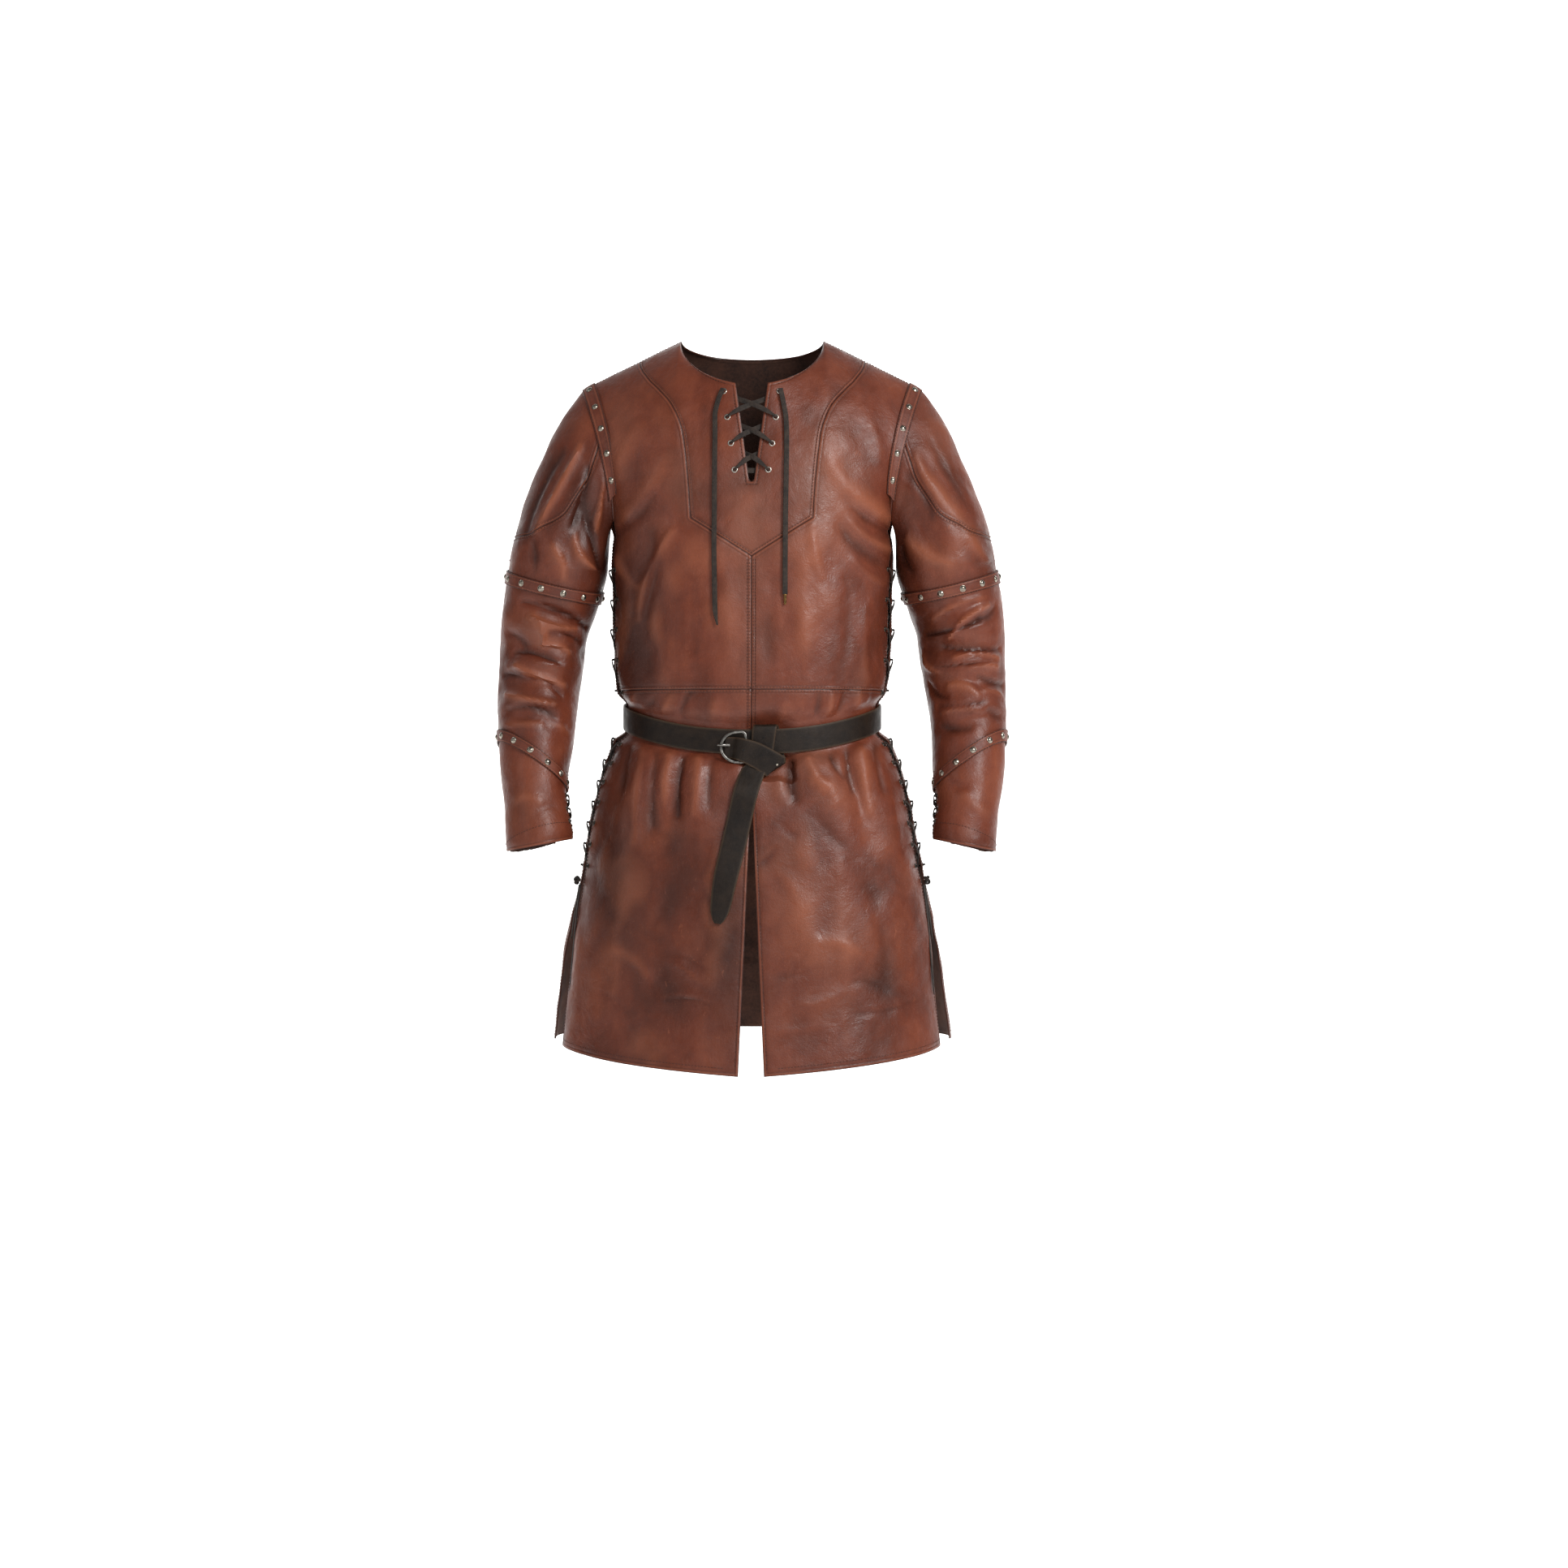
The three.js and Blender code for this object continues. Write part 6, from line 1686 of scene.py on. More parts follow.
def band_piece(name, node, grid, closed, flat, rivets, columns, mirror):
    """A strip over a seam from a grid of points on the leather, with rivets along its middle."""
    rows, count = grid.shape[:2]
    along = np.gradient(grid, axis=1)
    if closed:
        along[:, [0, -1]] = (grid[:, [1]] - grid[:, [-2]]) / 2
    normals = unit(np.cross(along, np.gradient(grid, axis=0)))
    if mirror:
        normals = -normals
    shares = np.array(BAND_SHARES)[:, None]
    stitched = np.exp(-(((np.abs(shares) - BAND["stitch"]) / 0.05) ** 2)) * 0.35
    height = BAND["lift"] + BAND["thickness"] - BAND["edge"] * np.abs(shares) ** 24 - stitched
    outer = grid + normals * height[..., None]
    patch = Patch(range(count), range(rows))
    faces = [tuple(reversed(f)) for f in patch.faces] if mirror else patch.faces
    edge = np.repeat((1 - np.abs(shares)) * 9, count, axis=1).ravel()
    points, faces, edge = welded(outer.reshape(-1, 3), faces, edge)
    points, faces, kinds = shell(points, faces, BAND["thickness"])
    attributes = {"edge": np.tile(edge, 2), "relief": np.full(2 * len(edge), 0.7)}
    piece = to_object(name, points, faces, [LEATHER_BAND, LEATHER_BACK], "leather", kinds, attributes)
    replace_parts(piece, node)
    middle = outer[rows // 2]
    studs = []
    for angle in rivets:
        i = np.interp(angle, columns, np.arange(count))
        k, t = int(min(i, count - 2)), i - int(min(i, count - 2))
        normal = unit(lerp(normals[rows // 2, k], normals[rows // 2, k + 1], t))
        studs.append(placed(RIVET, lerp(middle[k], middle[k + 1], t), normal))
    to_object(f"rivets_{node}", *joined(studs), [NICKEL], "metal", sharp=60)
    for edge_share in (-BAND["stitch"], BAND["stitch"]):
        k = int(np.argmin(np.abs(np.array(BAND_SHARES) - edge_share)))
        STITCHED.append((node, outer[k], normals[k]))


STITCHED = []  # lines of sewing: the group that they belong to, points and normals
LEATHER_BAND = leather_material(
    "leather_band", linear(58, 26, 17), linear(112, 54, 37), linear(138, 76, 54), 0.44, 0.4
)
ELBOW_RIVETS = [27 + 26 * i for i in range(14)]
FOREARM_RIVETS = [-156 + 27 * i for i in range(13)]
ARMHOLE_BAND = {"half_width": 10, "reach": 132, "rivets": 9, "rivet_from": -94, "rivet_to": 116}
# Where each bank of the armhole's band heads: a share of the sheet's width, and a row of the sleeve.
BAND_TOWARDS = {"sheet": 0.94, "sleeve": 0.1}


def armhole_grid(side, columns):
    """Points of the seam's two banks: the body's sheets below share 0 and the sleeve's head above it."""
    sign = SIDES[side]
    seam = armhole_point(columns)
    sheet_v = np.interp(columns % 360, hole_angles, hole_sheet_v)
    is_back = columns % 360 > HOLE_TURN_BACK
    rows = []
    for share in BAND_SHARES:
        inset = abs(share) * ARMHOLE_BAND["half_width"]
        if share <= 0:
            far = np.where(
                is_back[:, None],
                SURFACES["back"](np.full_like(columns, BAND_TOWARDS["sheet"]), sheet_v)[0],
                SURFACES["front"](np.full_like(columns, BAND_TOWARDS["sheet"]), sheet_v)[0],
            )
        else:
            far = SURFACES["left"](columns, np.full_like(columns, BAND_TOWARDS["sleeve"]))[0]
        rows.append(seam + unit(far - seam) * inset)
    grid = np.array(rows)
    for _ in range(3):
        grid[1:-1] = 0.5 * grid[1:-1] + 0.25 * (grid[:-2] + grid[2:])
        grid[:, 1:-1] = 0.5 * grid[:, 1:-1] + 0.25 * (grid[:, :-2] + grid[:, 2:])
    return grid * (sign, 1, 1)


def sleeve_band_grid(side, band, columns):
    rows = []
    for share in BAND_SHARES:
        row = band_row(band, columns) + share * band["half_width"] / SLEEVE_MM_PER_ROW["lower"]
        rows.append(SURFACES[side](columns, row)[0])
    return np.array(rows)


for side, sign in SIDES.items():
    columns = np.linspace(0, 360, 121)
    grid = sleeve_band_grid(side, ELBOW_BAND, columns)
    node = f"elbow_band_{side}"
    band_piece(f"band_{node}", node, grid, True, cut_of(node)["flat"], ELBOW_RIVETS, columns, sign < 0)
    columns = np.linspace(-180 + slit_angle, 180 - slit_angle, 101)
    grid = sleeve_band_grid(side, FOREARM_BAND, columns)
    node = f"forearm_band_{side}"
    band_piece(f"band_{node}", node, grid, False, cut_of(node)["flat"], FOREARM_RIVETS, columns, sign < 0)
    columns = np.linspace(-ARMHOLE_BAND["reach"], ARMHOLE_BAND["reach"], 111)
    node = f"armhole_band_{side}"
    rivets = np.linspace(ARMHOLE_BAND["rivet_from"], ARMHOLE_BAND["rivet_to"], ARMHOLE_BAND["rivets"])
    grid = armhole_grid(side, columns)
    band_piece(f"band_{node}", node, grid, False, cut_of(node)["flat"], rivets, columns, sign < 0)

# ---------------------------------------------------------------- eyelets and laces

EYELET_PROFILE = [
    (0, -1.5),
    (2.3, -1.5),
    (2.45, 0.3),
    (2.75, 0.95),
    (3.3, 1.1),
    (3.9, 0.8),
    (4.3, 0.3),
    (4.35, -0.2),
    (2.9, -0.3),
    (2.9, -1.9),
    (0, -1.9),
]
EYELET = revolved(EYELET_PROFILE, 24)
EYELET_FLOOR = 24  # faces of the eyelet's floor, dark as painted shade inside the hole
SMALL_EYELET_SCALE = 0.8


# Near black: painted shade inside eyelets and belt holes.
def hole_shade_material():
    n = Nodes("hole")
    return n.finish(Base_Color=n.blend(n.noise(300), linear(10, 7, 6), linear(26, 18, 14)), Roughness=0.9)


HOLE_SHADE = hole_shade_material()


def eyelets(name, places, scale, metal):
    template = (EYELET[0] * scale, EYELET[1])
    points, faces = joined([placed(template, p, n) for p, n in places])
    kinds = [1 if k % len(EYELET[1]) < EYELET_FLOOR else 0 for k in range(len(faces))]
    return to_object(name, points, faces, [metal, HOLE_SHADE], "metal", kinds, sharp=50)


def upright(point, normal):
    up = np.array([0, 0, 1.0]) - normal * normal[2]
    return point, normal, unit(up)


def first_of(results):
    point, normal, _ = results
    return upright(point[0], normal[0])


class NeckOpening:
    rows = NECK_LACING["rows"]
    inset = NECK_LACING["inset"]

    def gap(self, along):
        return 2 * neck_slit_half(NECK_LACING["first"] + NECK_LACING["step"] * along)

    def at(self, flap, along, inset):
        z = NECK_LACING["first"] + NECK_LACING["step"] * along
        s, v = on_front([flap * (neck_slit_half(z) + inset)], [z])
        return first_of(SURFACES["front"](s, v))


side_levels = [first + i * step for first, step, rows in SIDE_LACING for i in range(rows)]


class SideOpening:
    """A stretch of an open side: flap 1 is the front's laced edge and flap -1 the back's."""

    inset = SIDE_INSET

    def __init__(self, sign, start, rows):
        self.sign, self.start, self.rows = sign, start, rows

    def gap(self, along):
        return float(np.linalg.norm(self.at(1, along, 0)[0] - self.at(-1, along, 0)[0]))

    def at(self, flap, along, inset):
        is_back = flap < 0
        level = np.interp(along + self.start, range(len(side_levels)), side_levels)
        v = np.array([(level - ARMPIT_HEIGHT) / BODY_LENGTH])
        probe = 0.02
        edge = sheet_point(1, v, is_back) - sheet_point(1 - probe, v, is_back)
        s = self.sign * (1 - inset / (np.linalg.norm(edge) / probe))
        return first_of(SURFACES["back" if is_back else "front"](np.array([s]), v))


class CuffOpening:
    rows = CUFF_LACING["rows"]
    inset = CUFF_LACING["inset"]

    def __init__(self, side):
        self.side = side

    def gap(self, _):
        return 2 * CUFF_LACING["half_slit"]

    def at(self, flap, along, inset):
        row = CUFF_LACING["first"] + CUFF_LACING["step"] * along
        radius = float(arm_at["half_depth"](row_height(row)))
        around = 180 - flap * math.degrees((CUFF_LACING["half_slit"] + inset) / radius)
        return first_of(SURFACES[self.side](np.array([around]), np.array([row])))


def lacing(opening, lace):
    """Points, ups and half widths of a lace: out of each eyelet, over and into the gap, and up through
    the next eyelet of the other flap."""
    outside = lace_height(lace)
    inside = -(LEATHER + 2 * lace["clear"] + lace["thickness"] / 2)
    full, narrow = lace["width"] / 2, lace["in_hole"] / 2

    def place(flap, along, inset, height, half):
        point, normal, up = opening.at(flap, along, inset)
        return point + normal * height, up, half

    def strand(first):
        path = []
        for i in range(opening.rows):
            flap = -first if i % 2 else first
            e = opening.inset
            path.append(place(flap, i, e - 0.5, inside, narrow))
            path.append(place(flap, i, e - 0.5, outside, narrow))
            if i == opening.rows - 1:
                break
            share = e / (2 * e + opening.gap(i + 0.5))
            low = lace["clear"] + lace["thickness"] / 2 + 1.4
            if lace["hugs"]:
                path.append(place(flap, i + share, 1, low, full))
            near_side, far_side = place(flap, i + 0.5, 0, 0, full), place(-flap, i + 0.5, 0, 0, full)
            over = 1 + (lace["spread"] if (first > 0) == (i % 2 == 0) else -lace["spread"])
            normal = opening.at(flap, i + 0.5, 0)[1]
            middle = (near_side[0] + far_side[0]) / 2 + normal * (over - LEATHER / 2)
            path.append((middle, near_side[1], full))
            if lace["hugs"]:
                path.append(place(-flap, i + 1 - share, 1, inside, full))
        return path

    bar = [place(flap, 0, opening.inset / 2, inside, full) for flap in (1, -1)]
    return [*reversed(strand(1)), *bar, *strand(-1)]


def lace_piece(name, node, opening, lace):
    """A lace swept through the eyelets of an opening."""
    path = lacing(opening, lace)
    points = rounded([p for p, _, _ in path], 5)
    ups = rounded([u for _, u, _ in path], 5)
    halves = rounded([[h] for _, _, h in path], 5)
    along = unit(np.gradient(points, axis=0))
    across = unit(ups - along * dot(ups, along))
    thick = np.cross(along, across) * lace["thickness"] / 2
    piece = to_object(name, *sweep(list(zip(points, across * halves, thick)), LACE_PROFILE), [LACE], "lace")
    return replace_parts(piece, node)


neck_opening = NeckOpening()
lace_piece("lace_neck", "neck_lace", neck_opening, NECK_LACE)
for side, sign in SIDES.items():
    for i in range(neck_opening.rows):
        place = neck_opening.at(sign, i, neck_opening.inset)[:2]
        ring = eyelets(f"eyelet_neck_{side}_{i + 1}", [place], 1.0, NECK_NICKEL)
        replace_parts(ring, f"neck_eyelet_{side}_{i + 1}")
    side_places = []
    start = 0
    for name, (_, _, rows) in zip(("bodice", "skirt"), SIDE_LACING):
        opening = SideOpening(sign, start, rows)
        start += rows
        lace_piece(f"lace_{name}_{side}", f"{name}_lace_{side}", opening, SIDE_LACE)
        side_places += [opening.at(flap, i, SIDE_INSET)[:2] for flap in (1, -1) for i in range(rows)]
    eyelets(f"eyelets_side_{side}", side_places, SMALL_EYELET_SCALE, SHADED_NICKEL)
    cuff = CuffOpening(side)
    lace_piece(f"lace_cuff_{side}", f"cuff_lace_{side}", cuff, CUFF_LACE)
    cuff_places = [cuff.at(flap, i, cuff.inset)[:2] for flap in (1, -1) for i in range(cuff.rows)]
    eyelets(f"eyelets_cuff_{side}", cuff_places, SMALL_EYELET_SCALE, SHADED_NICKEL)

SIDE_KNOT = {"share": 1.05, "level": -713, "radius": 7.2, "flatten": 0.72, "clear": 1}
KNOT_ROD = 2.1


def side_knot(side, sign):
    """An overhand knot in the side lace: a trefoil of lace, pressed flat."""
    lift = SIDE_KNOT["radius"] * SIDE_KNOT["flatten"] + SIDE_KNOT["clear"]
    point, normal = side_place(np.array([SIDE_KNOT["share"]]), np.array([SIDE_KNOT["level"]]), lift, sign)
    t = np.linspace(0, 2 * math.pi, 72, endpoint=False)
    reach = (SIDE_KNOT["radius"] - KNOT_ROD) / 3
    line = stack(np.sin(t) + 2 * np.sin(2 * t), np.cos(t) - 2 * np.cos(2 * t), -1.1 * np.sin(3 * t)) * reach
    along = unit(np.roll(line, -1, axis=0) - np.roll(line, 1, axis=0))
    out = unit(line - along * dot(line, along))
    stations = list(zip(line, out * KNOT_ROD * 0.7, np.cross(along, out) * KNOT_ROD))
    points, faces = placed(sweep(stations, LACE_PROFILE, closed=True), point[0], normal[0])
    piece = to_object(f"knot_{side}", points, faces, [LACE], "lace")
    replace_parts(piece, f"side_knot_{side}")


for side, sign in SIDES.items():
    side_knot(side, sign)

# ---------------------------------------------------------------- belt, its tail and its buckle


def belt_point(theta, across, lift):
    """A point off the leather under the belt, across: -1 at its lower edge and 1 at its upper one."""
    is_back = np.cos(theta) < 0
    level = BELT["height"] + across * BELT["width"] / 2
    front, back = (body_point(theta, np.full_like(theta, level), kind, False) for kind in (False, True))
    out = stack(np.sin(theta), -np.cos(theta), 0)
    return np.where(is_back[:, None], back, front) + out * np.asarray(lift)[..., None]


def belt_piece():
    theta = np.linspace(0, 2 * math.pi, 240, endpoint=False)
    half = BELT["thickness"] / 2
    middle_lift = np.full_like(theta, BELT["lift"] + half)
    low, high = belt_point(theta, -1, middle_lift), belt_point(theta, 1, middle_lift)
    out = stack(np.sin(theta), -np.cos(theta), 0)
    stations = list(zip((low + high) / 2, (high - low) / 2, out * half))
    profile = round_profile(28, 0.3)
    points, faces = sweep(stations, profile, closed=True)
    edge = np.tile([abs(u) for u, _ in profile], len(theta))
    piece = to_object("belt_strap", points, faces, [STRAP], "strap", attributes={"edge": edge})
    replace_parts(piece, "belt")


belt_piece()

# The tail: over the belt's front, back under its lower edge, up behind it, over its upper edge, and down.
TAIL_FRONT = [
    (-34, -119.8, -540.2, 1, 0, 14),
    (-24, -120.8, -540.6, 1.5, 0, 14),
    (-14, -128.2, -542.5, 3, 0, 14.5),
    (4, -129, -549, 5, 0, 15.4),
    (19, -129, -557, 9, 0, 14),
    (32, -128, -565, 12.5, 0, 12.5),
]
TAIL_LOOP = [
    (31, -127.4, -563, 12, 0, 11),
    (31, -122.5, -567, 13, 0, 8),
    (30, -114, -559, 14.5, 0.6, 4),
    (27, -110.6, -549, 15, 1.3, 2),
    (21, -110.2, -517, 15, 1.3, 1),
    (19, -113.2, -512.4, 15.5, 0.6, 0.6),
    (18, -118.9, -512, 15.5, 0, 0),
    (16.5, -121.3, -518, 15.5, 0, -1),
    (14, -121.4, -540, 14.8, 0, -2),
    (11.5, -126, -560, 14.4, 0, -2),
]
TAIL_HANG = [
    (0, -580, 15.5, 8.6),
    (-7.5, -600, 16, 5.6),
    (-14.5, -630, 16, 3.8),
    (-23.5, -670, 16, 3.4),
    (-32.5, -708, 15.5, 3.4),
    (-39, -745, 13, 3.4),
    (-41.5, -760, 8.5, 3.4),
    (-42.5, -766, 4, 3.4),
]
STRAP_HALF = 1.4


def tail_piece():
    """The belt's free end: its stretch through the buckle, and the loop with the hanging tail."""
    front = np.array(TAIL_FRONT, float)
    loop = np.array(TAIL_LOOP, float)
    hang = np.array(TAIL_HANG, float)
    s, v = on_front(hang[:, 0], hang[:, 1])
    points, normals, _ = SURFACES["front"](s, v)
    points = points + normals * hang[:, 3:]
    along = unit(np.gradient(points, axis=0))
    across = unit(np.cross(along, normals))
    across = across * np.sign(across[:, :1]) * hang[:, 2:3]
    parts = [front, np.concatenate([loop, np.concatenate([points, across], axis=1)])]
    solids, edges = [], []
    for part in parts:
        fine = rounded(part, 6)
        middle, across = fine[:, :3], fine[:, 3:]
        thick = unit(np.cross(np.gradient(middle, axis=0), across)) * STRAP_HALF
        solids.append(sweep(list(zip(middle, across, thick)), STRAP_PROFILE))
        edges += [abs(u) for _ in fine for u, _ in STRAP_PROFILE]
    points, faces = joined(solids)
    piece = to_object("belt_tail_strap", points, faces, [STRAP], "strap", attributes={"edge": edges})
    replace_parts(piece, "belt_tail")


tail_piece()

BUCKLE = {"x": -23, "z": -539.5, "half_width": 18, "half_height": 21.5, "bar": 4, "y": -122.6, "depth": 3.4}
PRONG = {"left": -43.5, "bend": -36, "right": -28, "z": -537, "y": -127.8, "dip": 4.2}


def buckle_piece():
    """A horseshoe frame of round rod, closed by a straight bar."""
    bar = BUCKLE["bar"] / 2
    w, h = BUCKLE["half_width"] - bar, BUCKLE["half_height"] - bar
    turns = np.linspace(math.pi / 2, 3 * math.pi / 2, 17)
    arc = [(w * (1.35 * math.cos(t) + 0.35), h * math.sin(t)) for t in turns]
    corner = [(w * 0.72, h * 1.0), (w * 0.96, h * 0.86)]
    line = [*corner[::-1], *arc, *[(x, -z) for x, z in corner], (w, 0)]
    loop = rounded([*line, line[0]], 4)[:-1]
    y = BUCKLE["y"] - BUCKLE["depth"] / 2
    middle = stack(BUCKLE["x"] + loop[:, 0], np.full(len(loop), y), BUCKLE["z"] + loop[:, 1])
    along = unit(np.roll(middle, -1, axis=0) - np.roll(middle, 1, axis=0))
    depth = np.tile([0, 1.0, 0], (len(middle), 1))
    across = np.cross(along, depth) * bar
    solid = sweep(list(zip(middle, across, depth * BUCKLE["depth"] / 2)), ROD_PROFILE, closed=True)
    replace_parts(to_object("buckle_frame", *solid, [PEWTER], "metal", sharp=70), "buckle")


def prong_piece():
    line = [
        (PRONG["left"], PRONG["y"] + 0.4, PRONG["z"]),
        (PRONG["left"] + 3, PRONG["y"], PRONG["z"]),
        (PRONG["bend"], PRONG["y"], PRONG["z"]),
        (PRONG["right"], PRONG["y"] + PRONG["dip"], PRONG["z"]),
    ]
    middle = rounded(line, 5)
    across = np.tile([0, 0, 1.0], (len(middle), 1)) * np.linspace(1.2, 1.9, len(middle))[:, None]
    thick = np.cross(unit(np.gradient(middle, axis=0)), unit(across)) * 1.3
    solid = sweep(list(zip(middle, across, thick)), ROD_PROFILE)
    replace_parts(to_object("buckle_tongue", *solid, [PEWTER], "metal", sharp=70), "buckle_prong")


buckle_piece()
prong_piece()

# ---------------------------------------------------------------- sewing

STITCH = {"pitch": 4.2, "half_length": 1.45, "half_thickness": 0.42, "lift": 0.2}
stitch_profile = [(0, -1), (0.55, -0.82), (0.95, -0.4), (0.95, 0.4), (0.55, 0.82), (0, 1)]
stitch_profile = [(r * STITCH["half_thickness"], h * STITCH["half_length"]) for r, h in stitch_profile]
STITCH_SHAPE = revolved(stitch_profile, 6)
# The same shape lying along +X.
STITCH_TEMPLATE = (STITCH_SHAPE[0][:, [2, 0, 1]], STITCH_SHAPE[1])


def sew(name, lines):
    """One mesh of the stitches along lines of points on the leather."""
    template, template_faces = STITCH_TEMPLATE
    centres, ways, ups = [], [], []
    for points, normals in lines:
        lengths = np.concatenate([[0], np.cumsum(np.linalg.norm(np.diff(points, axis=0), axis=1))])
        at = np.arange(STITCH["pitch"] / 2, lengths[-1], STITCH["pitch"])
        place, ahead = (
            np.stack([np.interp(at + d, lengths, points[:, k]) for k in range(3)], -1) for d in (0, 1.0)
        )
        normal = unit(np.stack([np.interp(at, lengths, normals[:, k]) for k in range(3)], -1))
        keep = np.linalg.norm(ahead - place, axis=1) > 0.5
        centres.append((place + normal * STITCH["lift"])[keep])
        ways.append((ahead - place)[keep])
        ups.append(normal[keep])
    centre, way, up = (np.concatenate(part) for part in (centres, ways, ups))
    x = unit(way - up * dot(way, up))
    axes = np.stack([x, np.cross(up, x), up], 1)
    points = np.einsum("vk,nkj->nvj", template, axes) + centre[:, None]
    count = len(template)
    faces = [tuple(i + n * count for i in f) for n in range(len(centre)) for f in template_faces]
    return to_object(name, points.reshape(-1, 3), faces, [THREAD], "leather", sharp=80)


LINE_STEP = 2.0


def dense(points, step=LINE_STEP):
    """Points along a polyline, a step apart."""
    p = np.asarray(points, float)
    lengths = np.concatenate([[0], np.cumsum(np.linalg.norm(np.diff(p, axis=0), axis=1))])
    at = np.linspace(0, lengths[-1], max(int(lengths[-1] / step), 2))
    return np.stack([np.interp(at, lengths, p[:, k]) for k in range(p.shape[1])], -1)


def front_line(outline):
    """A line of sewing that is given in the front view."""
    line = dense(outline)
    s, v = on_front(line[:, 0], line[:, 1])
    points, normals, _ = SURFACES["front"](s, v)
    found = np.abs(points[:, 0] - line[:, 0]) + np.abs(points[:, 2] - line[:, 1]) < 12
    return points[found], normals[found]


def sheet_line(is_back, s, v):
    s, v = np.broadcast_arrays(np.asarray(s, float), np.asarray(v, float))
    points, normals, _ = SURFACES["back" if is_back else "front"](s, v)
    return points, normals


def grown(half, distance):
    """A half outline moved outward, or with a negative distance inward."""
    line = np.array(half, float)
    way = unit(np.gradient(line, axis=0))
    return line + np.stack([way[:, 1], -way[:, 0]], -1) * distance


def below_top(s, distance, is_back):
    """v at a distance below the sheet's top edge, by halving."""
    low, high = np.zeros_like(s), np.ones_like(s)
    top = sheet_point(s, high, is_back)
    for _ in range(18):
        mid = (low + high) / 2
        far = np.linalg.norm(sheet_point(s, mid, is_back) - top, axis=-1) > distance
        low, high = np.where(far, mid, low), np.where(far, high, mid)
    return low


INSET = STITCH_LINE["inset"]
YOKE_STITCH = -3.2  # inside the yoke
DOUBLE_ROW = 2.6  # from a seam to each of its two rows
CAP_ROW = 2.4
SHOULDER_ROW = 3.2
HEM_ROW = 9
CUFF_HEM_ROW = 13
CUFF_SLIT_ROW = 3.4  # degrees round the sleeve
yoke_line = np.array([p for p in yoke_half if p[1] < -20], float)
front_lines, back_lines = [], []
for sign in (1, -1):
    front_lines.append(front_line(grown(yoke_line, YOKE_STITCH) * (sign, 1)))
    for offset in (DOUBLE_ROW, INSET + 0.6):
        front_lines.append(front_line([(sign * offset, -296), (sign * offset, -610)]))
    slit_top = FRONT_SLIT["top"]
    slit = [(sign * (float(front_slit_half(z)) + INSET), z) for z in (slit_top, -950)]
    front_lines.append(front_line(slit))
    neck_side = [(sign * (neck_slit_half(z) + INSET), z) for z in (NECK_SLIT["bottom"] - 2, -78)]
    front_lines.append(front_line(neck_side))
    for is_back, lines in ((False, front_lines), (True, back_lines)):
        inset = INSET / HALF_ARC[is_back]
        lines.append(sheet_line(is_back, sign * (1 - inset), np.linspace(-0.995, 0, 300)))
        seam = np.linspace(NECK_SHARE, 0.96, 60)
        lines.append(sheet_line(is_back, sign * seam, below_top(sign * seam, SHOULDER_ROW, is_back)))
for height in (DOUBLE_ROW, -DOUBLE_ROW):
    front_lines.append(front_line([(x, WAIST_SEAM_HEIGHT + height) for x in np.linspace(-180, 180, 60)]))
front_lines.append(front_line([(-8, NECK_SLIT["bottom"] - 4), (8, NECK_SLIT["bottom"] - 4)]))
neck = np.linspace(-NECK_SHARE, NECK_SHARE, 160)
for is_back, lines in ((False, front_lines), (True, back_lines)):
    clear = neck[np.abs(neck) > (0.1 if not is_back else -1)]
    for part in (clear[clear < 0], clear[clear > 0]):
        lines.append(sheet_line(is_back, part, below_top(part, INSET, is_back)))
    hem = np.linspace(-0.985, 0.985, 240)
    hem = hem[np.abs(hem) > (0.07 if not is_back else -1)]
    for part in (hem[hem < 0], hem[hem > 0]):
        lines.append(sheet_line(is_back, part, -1 + HEM_ROW / BODY_LENGTH))


def back_waist_line(height):
    """The line on the back sheet at a height off the waist seam."""
    s = np.linspace(-0.99, 0.99, 240)
    low, high = np.full_like(s, -0.6), np.full_like(s, -0.1)
    for _ in range(20):
        mid = (low + high) / 2
        under = back_point(s, mid)[:, 2] < WAIST_SEAM_HEIGHT + height
        low, high = np.where(under, mid, low), np.where(under, high, mid)
    return sheet_line(True, s, low)


back_lines += [back_waist_line(DOUBLE_ROW), back_waist_line(-DOUBLE_ROW)]
sew("stitches_front", front_lines)
sew("stitches_back", back_lines)


def cap_lines(side):
    """The cap's lower seam, front and back, doubled: where a column of the sleeve crosses its outline."""
    lines = []
    for offset in (-CAP_ROW, CAP_ROW):
        columns = np.linspace(0, 360, 361)
        shares = np.linspace(0.01, 0.97, 240)
        a, r = np.meshgrid(columns, shares)
        p = sleeve_point(a, r)
        field = outline_distance(cap_outline, p[..., 0], p[..., 2]) - offset
        crosses = (field[:-1] > 0) & (field[1:] <= 0)
        found = crosses.any(0)
        k = crosses.argmax(0)
        f0, f1 = field[k, range(361)], field[k + 1, range(361)]
        row = lerp(shares[k], shares[k + 1], f0 / np.where(f0 == f1, 1, f0 - f1))
        points, normals, _ = SURFACES[side](columns[found], row[found])
        jumps = np.nonzero(np.linalg.norm(np.diff(points, axis=0), axis=1) > 12)[0] + 1
        lines += [part for part in zip(np.split(points, jumps), np.split(normals, jumps)) if len(part[0]) > 3]
    return lines


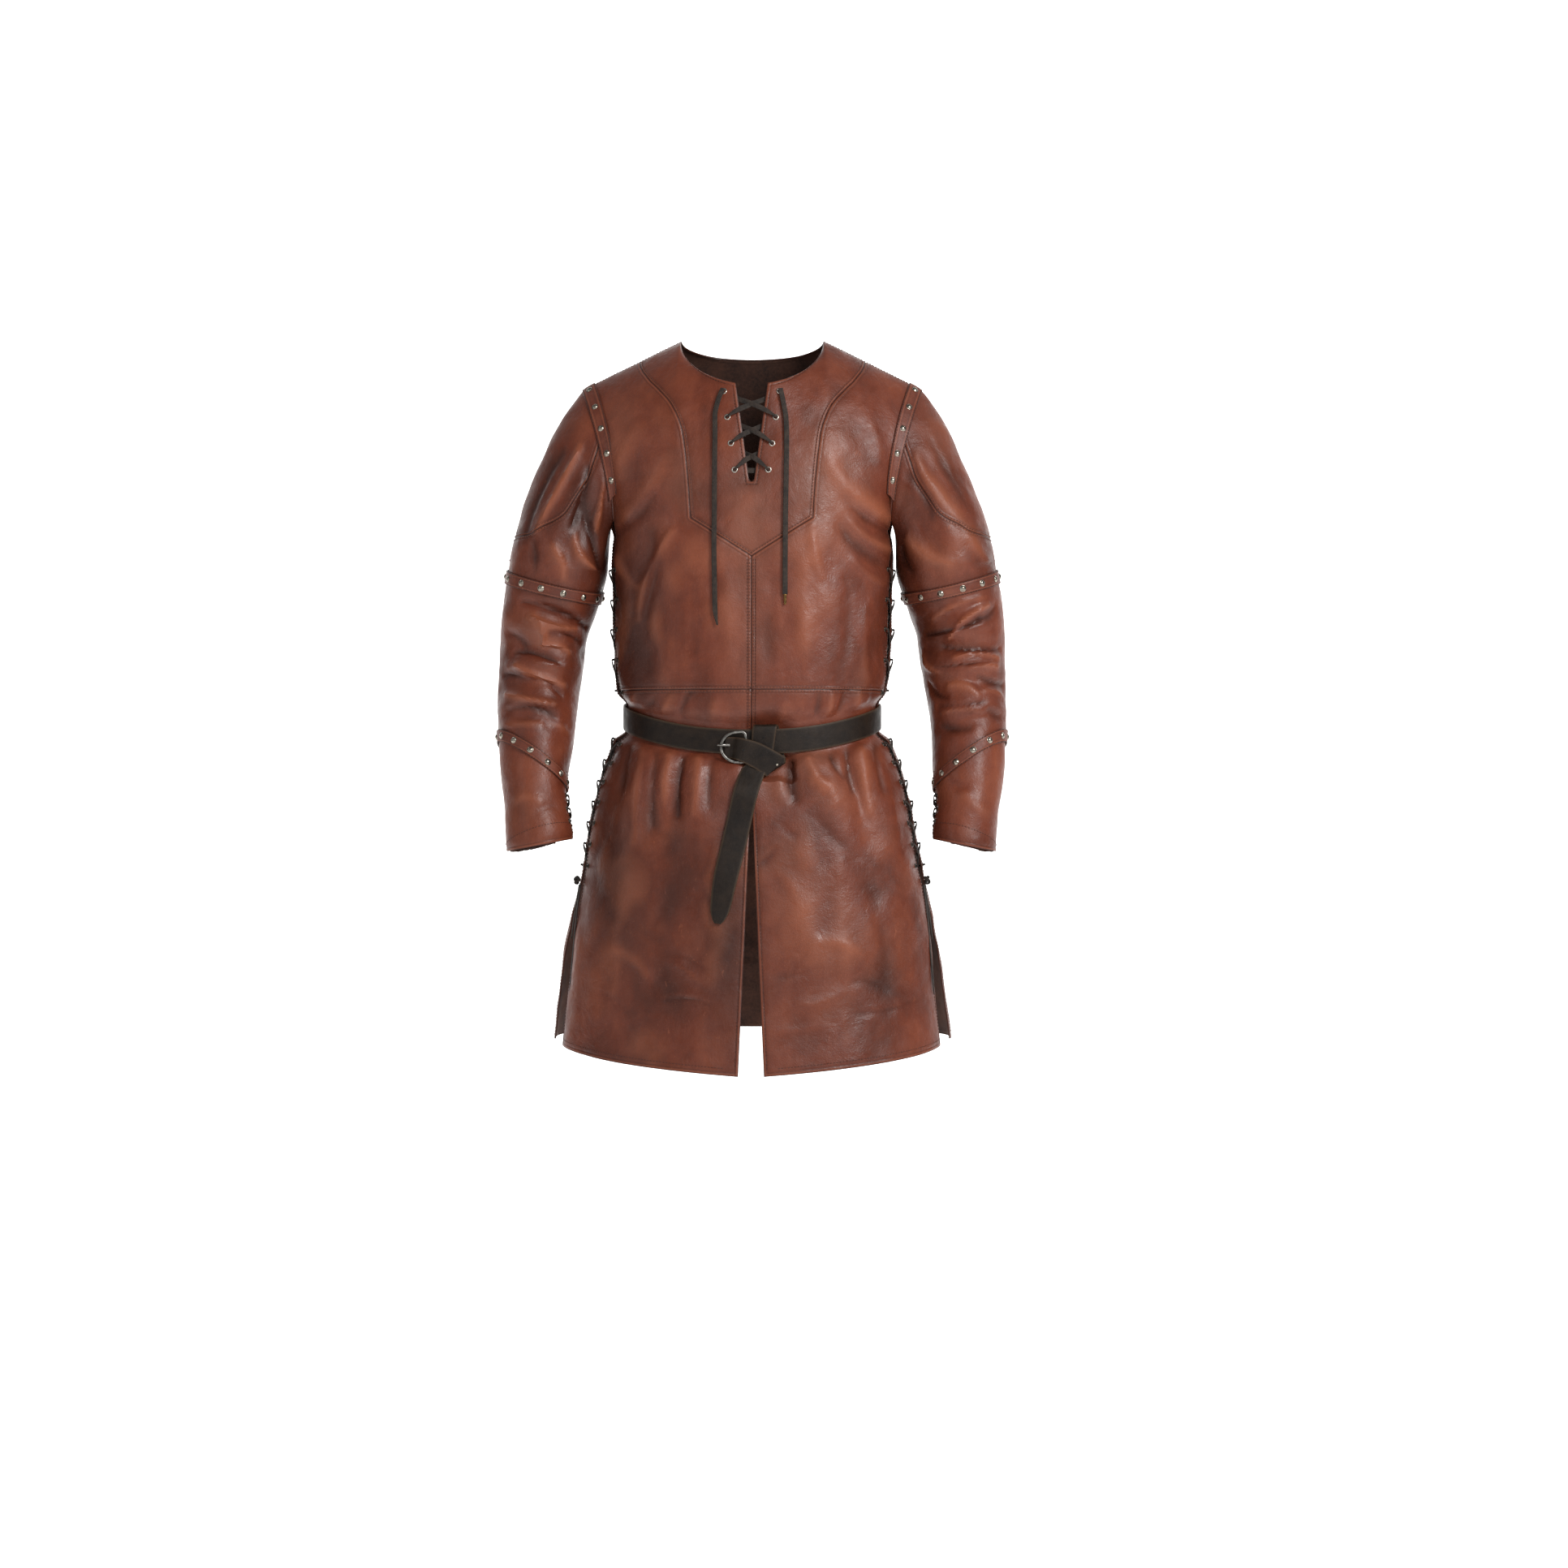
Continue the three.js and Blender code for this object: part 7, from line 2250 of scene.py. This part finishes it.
for side, sign in SIDES.items():
    surface = SURFACES[side]
    turns = np.linspace(0, 360, 240)
    cuff_turns = np.linspace(-178 + slit_angle, 178 - slit_angle, 240)
    lines = cap_lines(side)
    hem_row = np.full_like(cuff_turns, 2 - CUFF_HEM_ROW / SLEEVE_MM_PER_ROW["lower"])
    lines.append(surface(cuff_turns, hem_row)[:2])
    for end in (-1, 1):
        rows = np.linspace(1.74, 1.985, 60)
        edge = end * (180 - slit_angle - CUFF_SLIT_ROW)
        lines.append(surface(np.full_like(rows, edge), rows)[:2])
    lines += [(points, normals) for node, points, normals in STITCHED if node.endswith(side)]
    sew(f"stitches_sleeve_{side}", lines)

# ---------------------------------------------------------------- belt holes as discs of painted shade, and stud

# A dark disc laid on the strap: painted shade where a hole is.
HOLE_SHADE_TEMPLATE = revolved([(0, 0.25), (1.3, 0.25), (1.6, -0.2), (0, -0.4)], 14)
STUD_TEMPLATE = revolved([(0, 1.0), (0.9, 0.85), (1.6, 0.3), (1.9, -0.2), (0, -0.4)], 14)
STRAP_FRONT = (0, -1, 0)
TAIL_HOLES = [(-10, -130.6, -543.6), (12, -130.8, -550.4)]
TOP_HOLE = [(16, -122.9, -527)]
STUD_PLACES = [(33, -129.8, -562)]
to_object(
    "belt_hole_shades",
    *joined([placed(HOLE_SHADE_TEMPLATE, np.array(p, float), STRAP_FRONT) for p in TAIL_HOLES + TOP_HOLE]),
    [HOLE_SHADE],
    "strap",
)
to_object(
    "belt_stud",
    *joined([placed(STUD_TEMPLATE, np.array(p, float), STRAP_FRONT) for p in STUD_PLACES]),
    [NICKEL],
    "metal",
)

# ---------------------------------------------------------------- floor, light

FLOOR_HEIGHT = -1.57
FLOOR_GLOW = 0.4
WORLD_STRENGTH = 0.18
BACKDROP = {"half_width": 9.0, "front": -9.0, "back": 4.5, "bend": 2.0, "height": 7.0}
# Places, aims and sizes in metres, power in watts.
LIGHTS = table(
    "name place aim size power",
    ("key", (2.0, -2.5, 1.2), (0.05, 0, -0.45), (1.2, 1.5), 84),
    ("front", (0.1, -3.9, 0.9), (0, 0, -0.5), (0.9, 1.2), 11),
    ("fill", (-2.6, -1.9, 0.5), (-0.1, 0, -0.45), (1.0, 1.8), 7),
    ("backdrop_light", (0, 1.6, 2.6), (0, 6.5, -0.6), (6.0, 1.0), 420),
)


def backdrop():
    """A pale floor that curves up into a wall."""
    line = [(BACKDROP["front"], 0.0), (BACKDROP["back"], 0.0)]
    for k in range(1, 13):
        turn = k / 12 * math.pi / 2
        bend = BACKDROP["bend"]
        line.append((BACKDROP["back"] + bend * math.sin(turn), bend * (1 - math.cos(turn))))
    line.append((BACKDROP["back"] + BACKDROP["bend"], BACKDROP["height"]))
    half = BACKDROP["half_width"]
    points = [(x, y, FLOOR_HEIGHT + z) for y, z in line for x in (-half, half)]
    faces = [(2 * k, 2 * k + 1, 2 * k + 3, 2 * k + 2) for k in range(len(line) - 1)]
    mesh = bpy.data.meshes.new("floor")
    mesh.from_pydata(points, [], faces)
    n = Nodes("floor")
    glow = {"Emission_Color": linear(255, 255, 255), "Emission_Strength": FLOOR_GLOW}
    mesh.materials.append(n.finish(Base_Color=linear(246, 245, 244), Roughness=0.9, **glow))
    mesh.shade_smooth()
    floor = bpy.data.objects.new("floor", mesh)
    bpy.context.scene.collection.objects.link(floor)


def soft_light(name, place, aim, size, power):
    light = bpy.data.lights.new(name, "AREA")
    light.shape = "RECTANGLE"
    light.size, light.size_y = size
    light.energy = power
    lamp = bpy.data.objects.new(name, light)
    bpy.context.scene.collection.objects.link(lamp)
    lamp.location = place
    way = np.array(aim, float) - np.array(place, float)
    lamp.rotation_mode = "QUATERNION"
    lamp.rotation_quaternion = Vector(way).to_track_quat("-Z", "Y")


backdrop()
for light in LIGHTS:
    soft_light(**light)
world = bpy.data.worlds.new("studio")
bpy.context.scene.world = world
world.use_nodes = True
world.node_tree.nodes["Background"].inputs["Color"].default_value = (1, 1, 1, 1)
world.node_tree.nodes["Background"].inputs["Strength"].default_value = WORLD_STRENGTH
bpy.context.scene.view_settings.view_transform = "Standard"
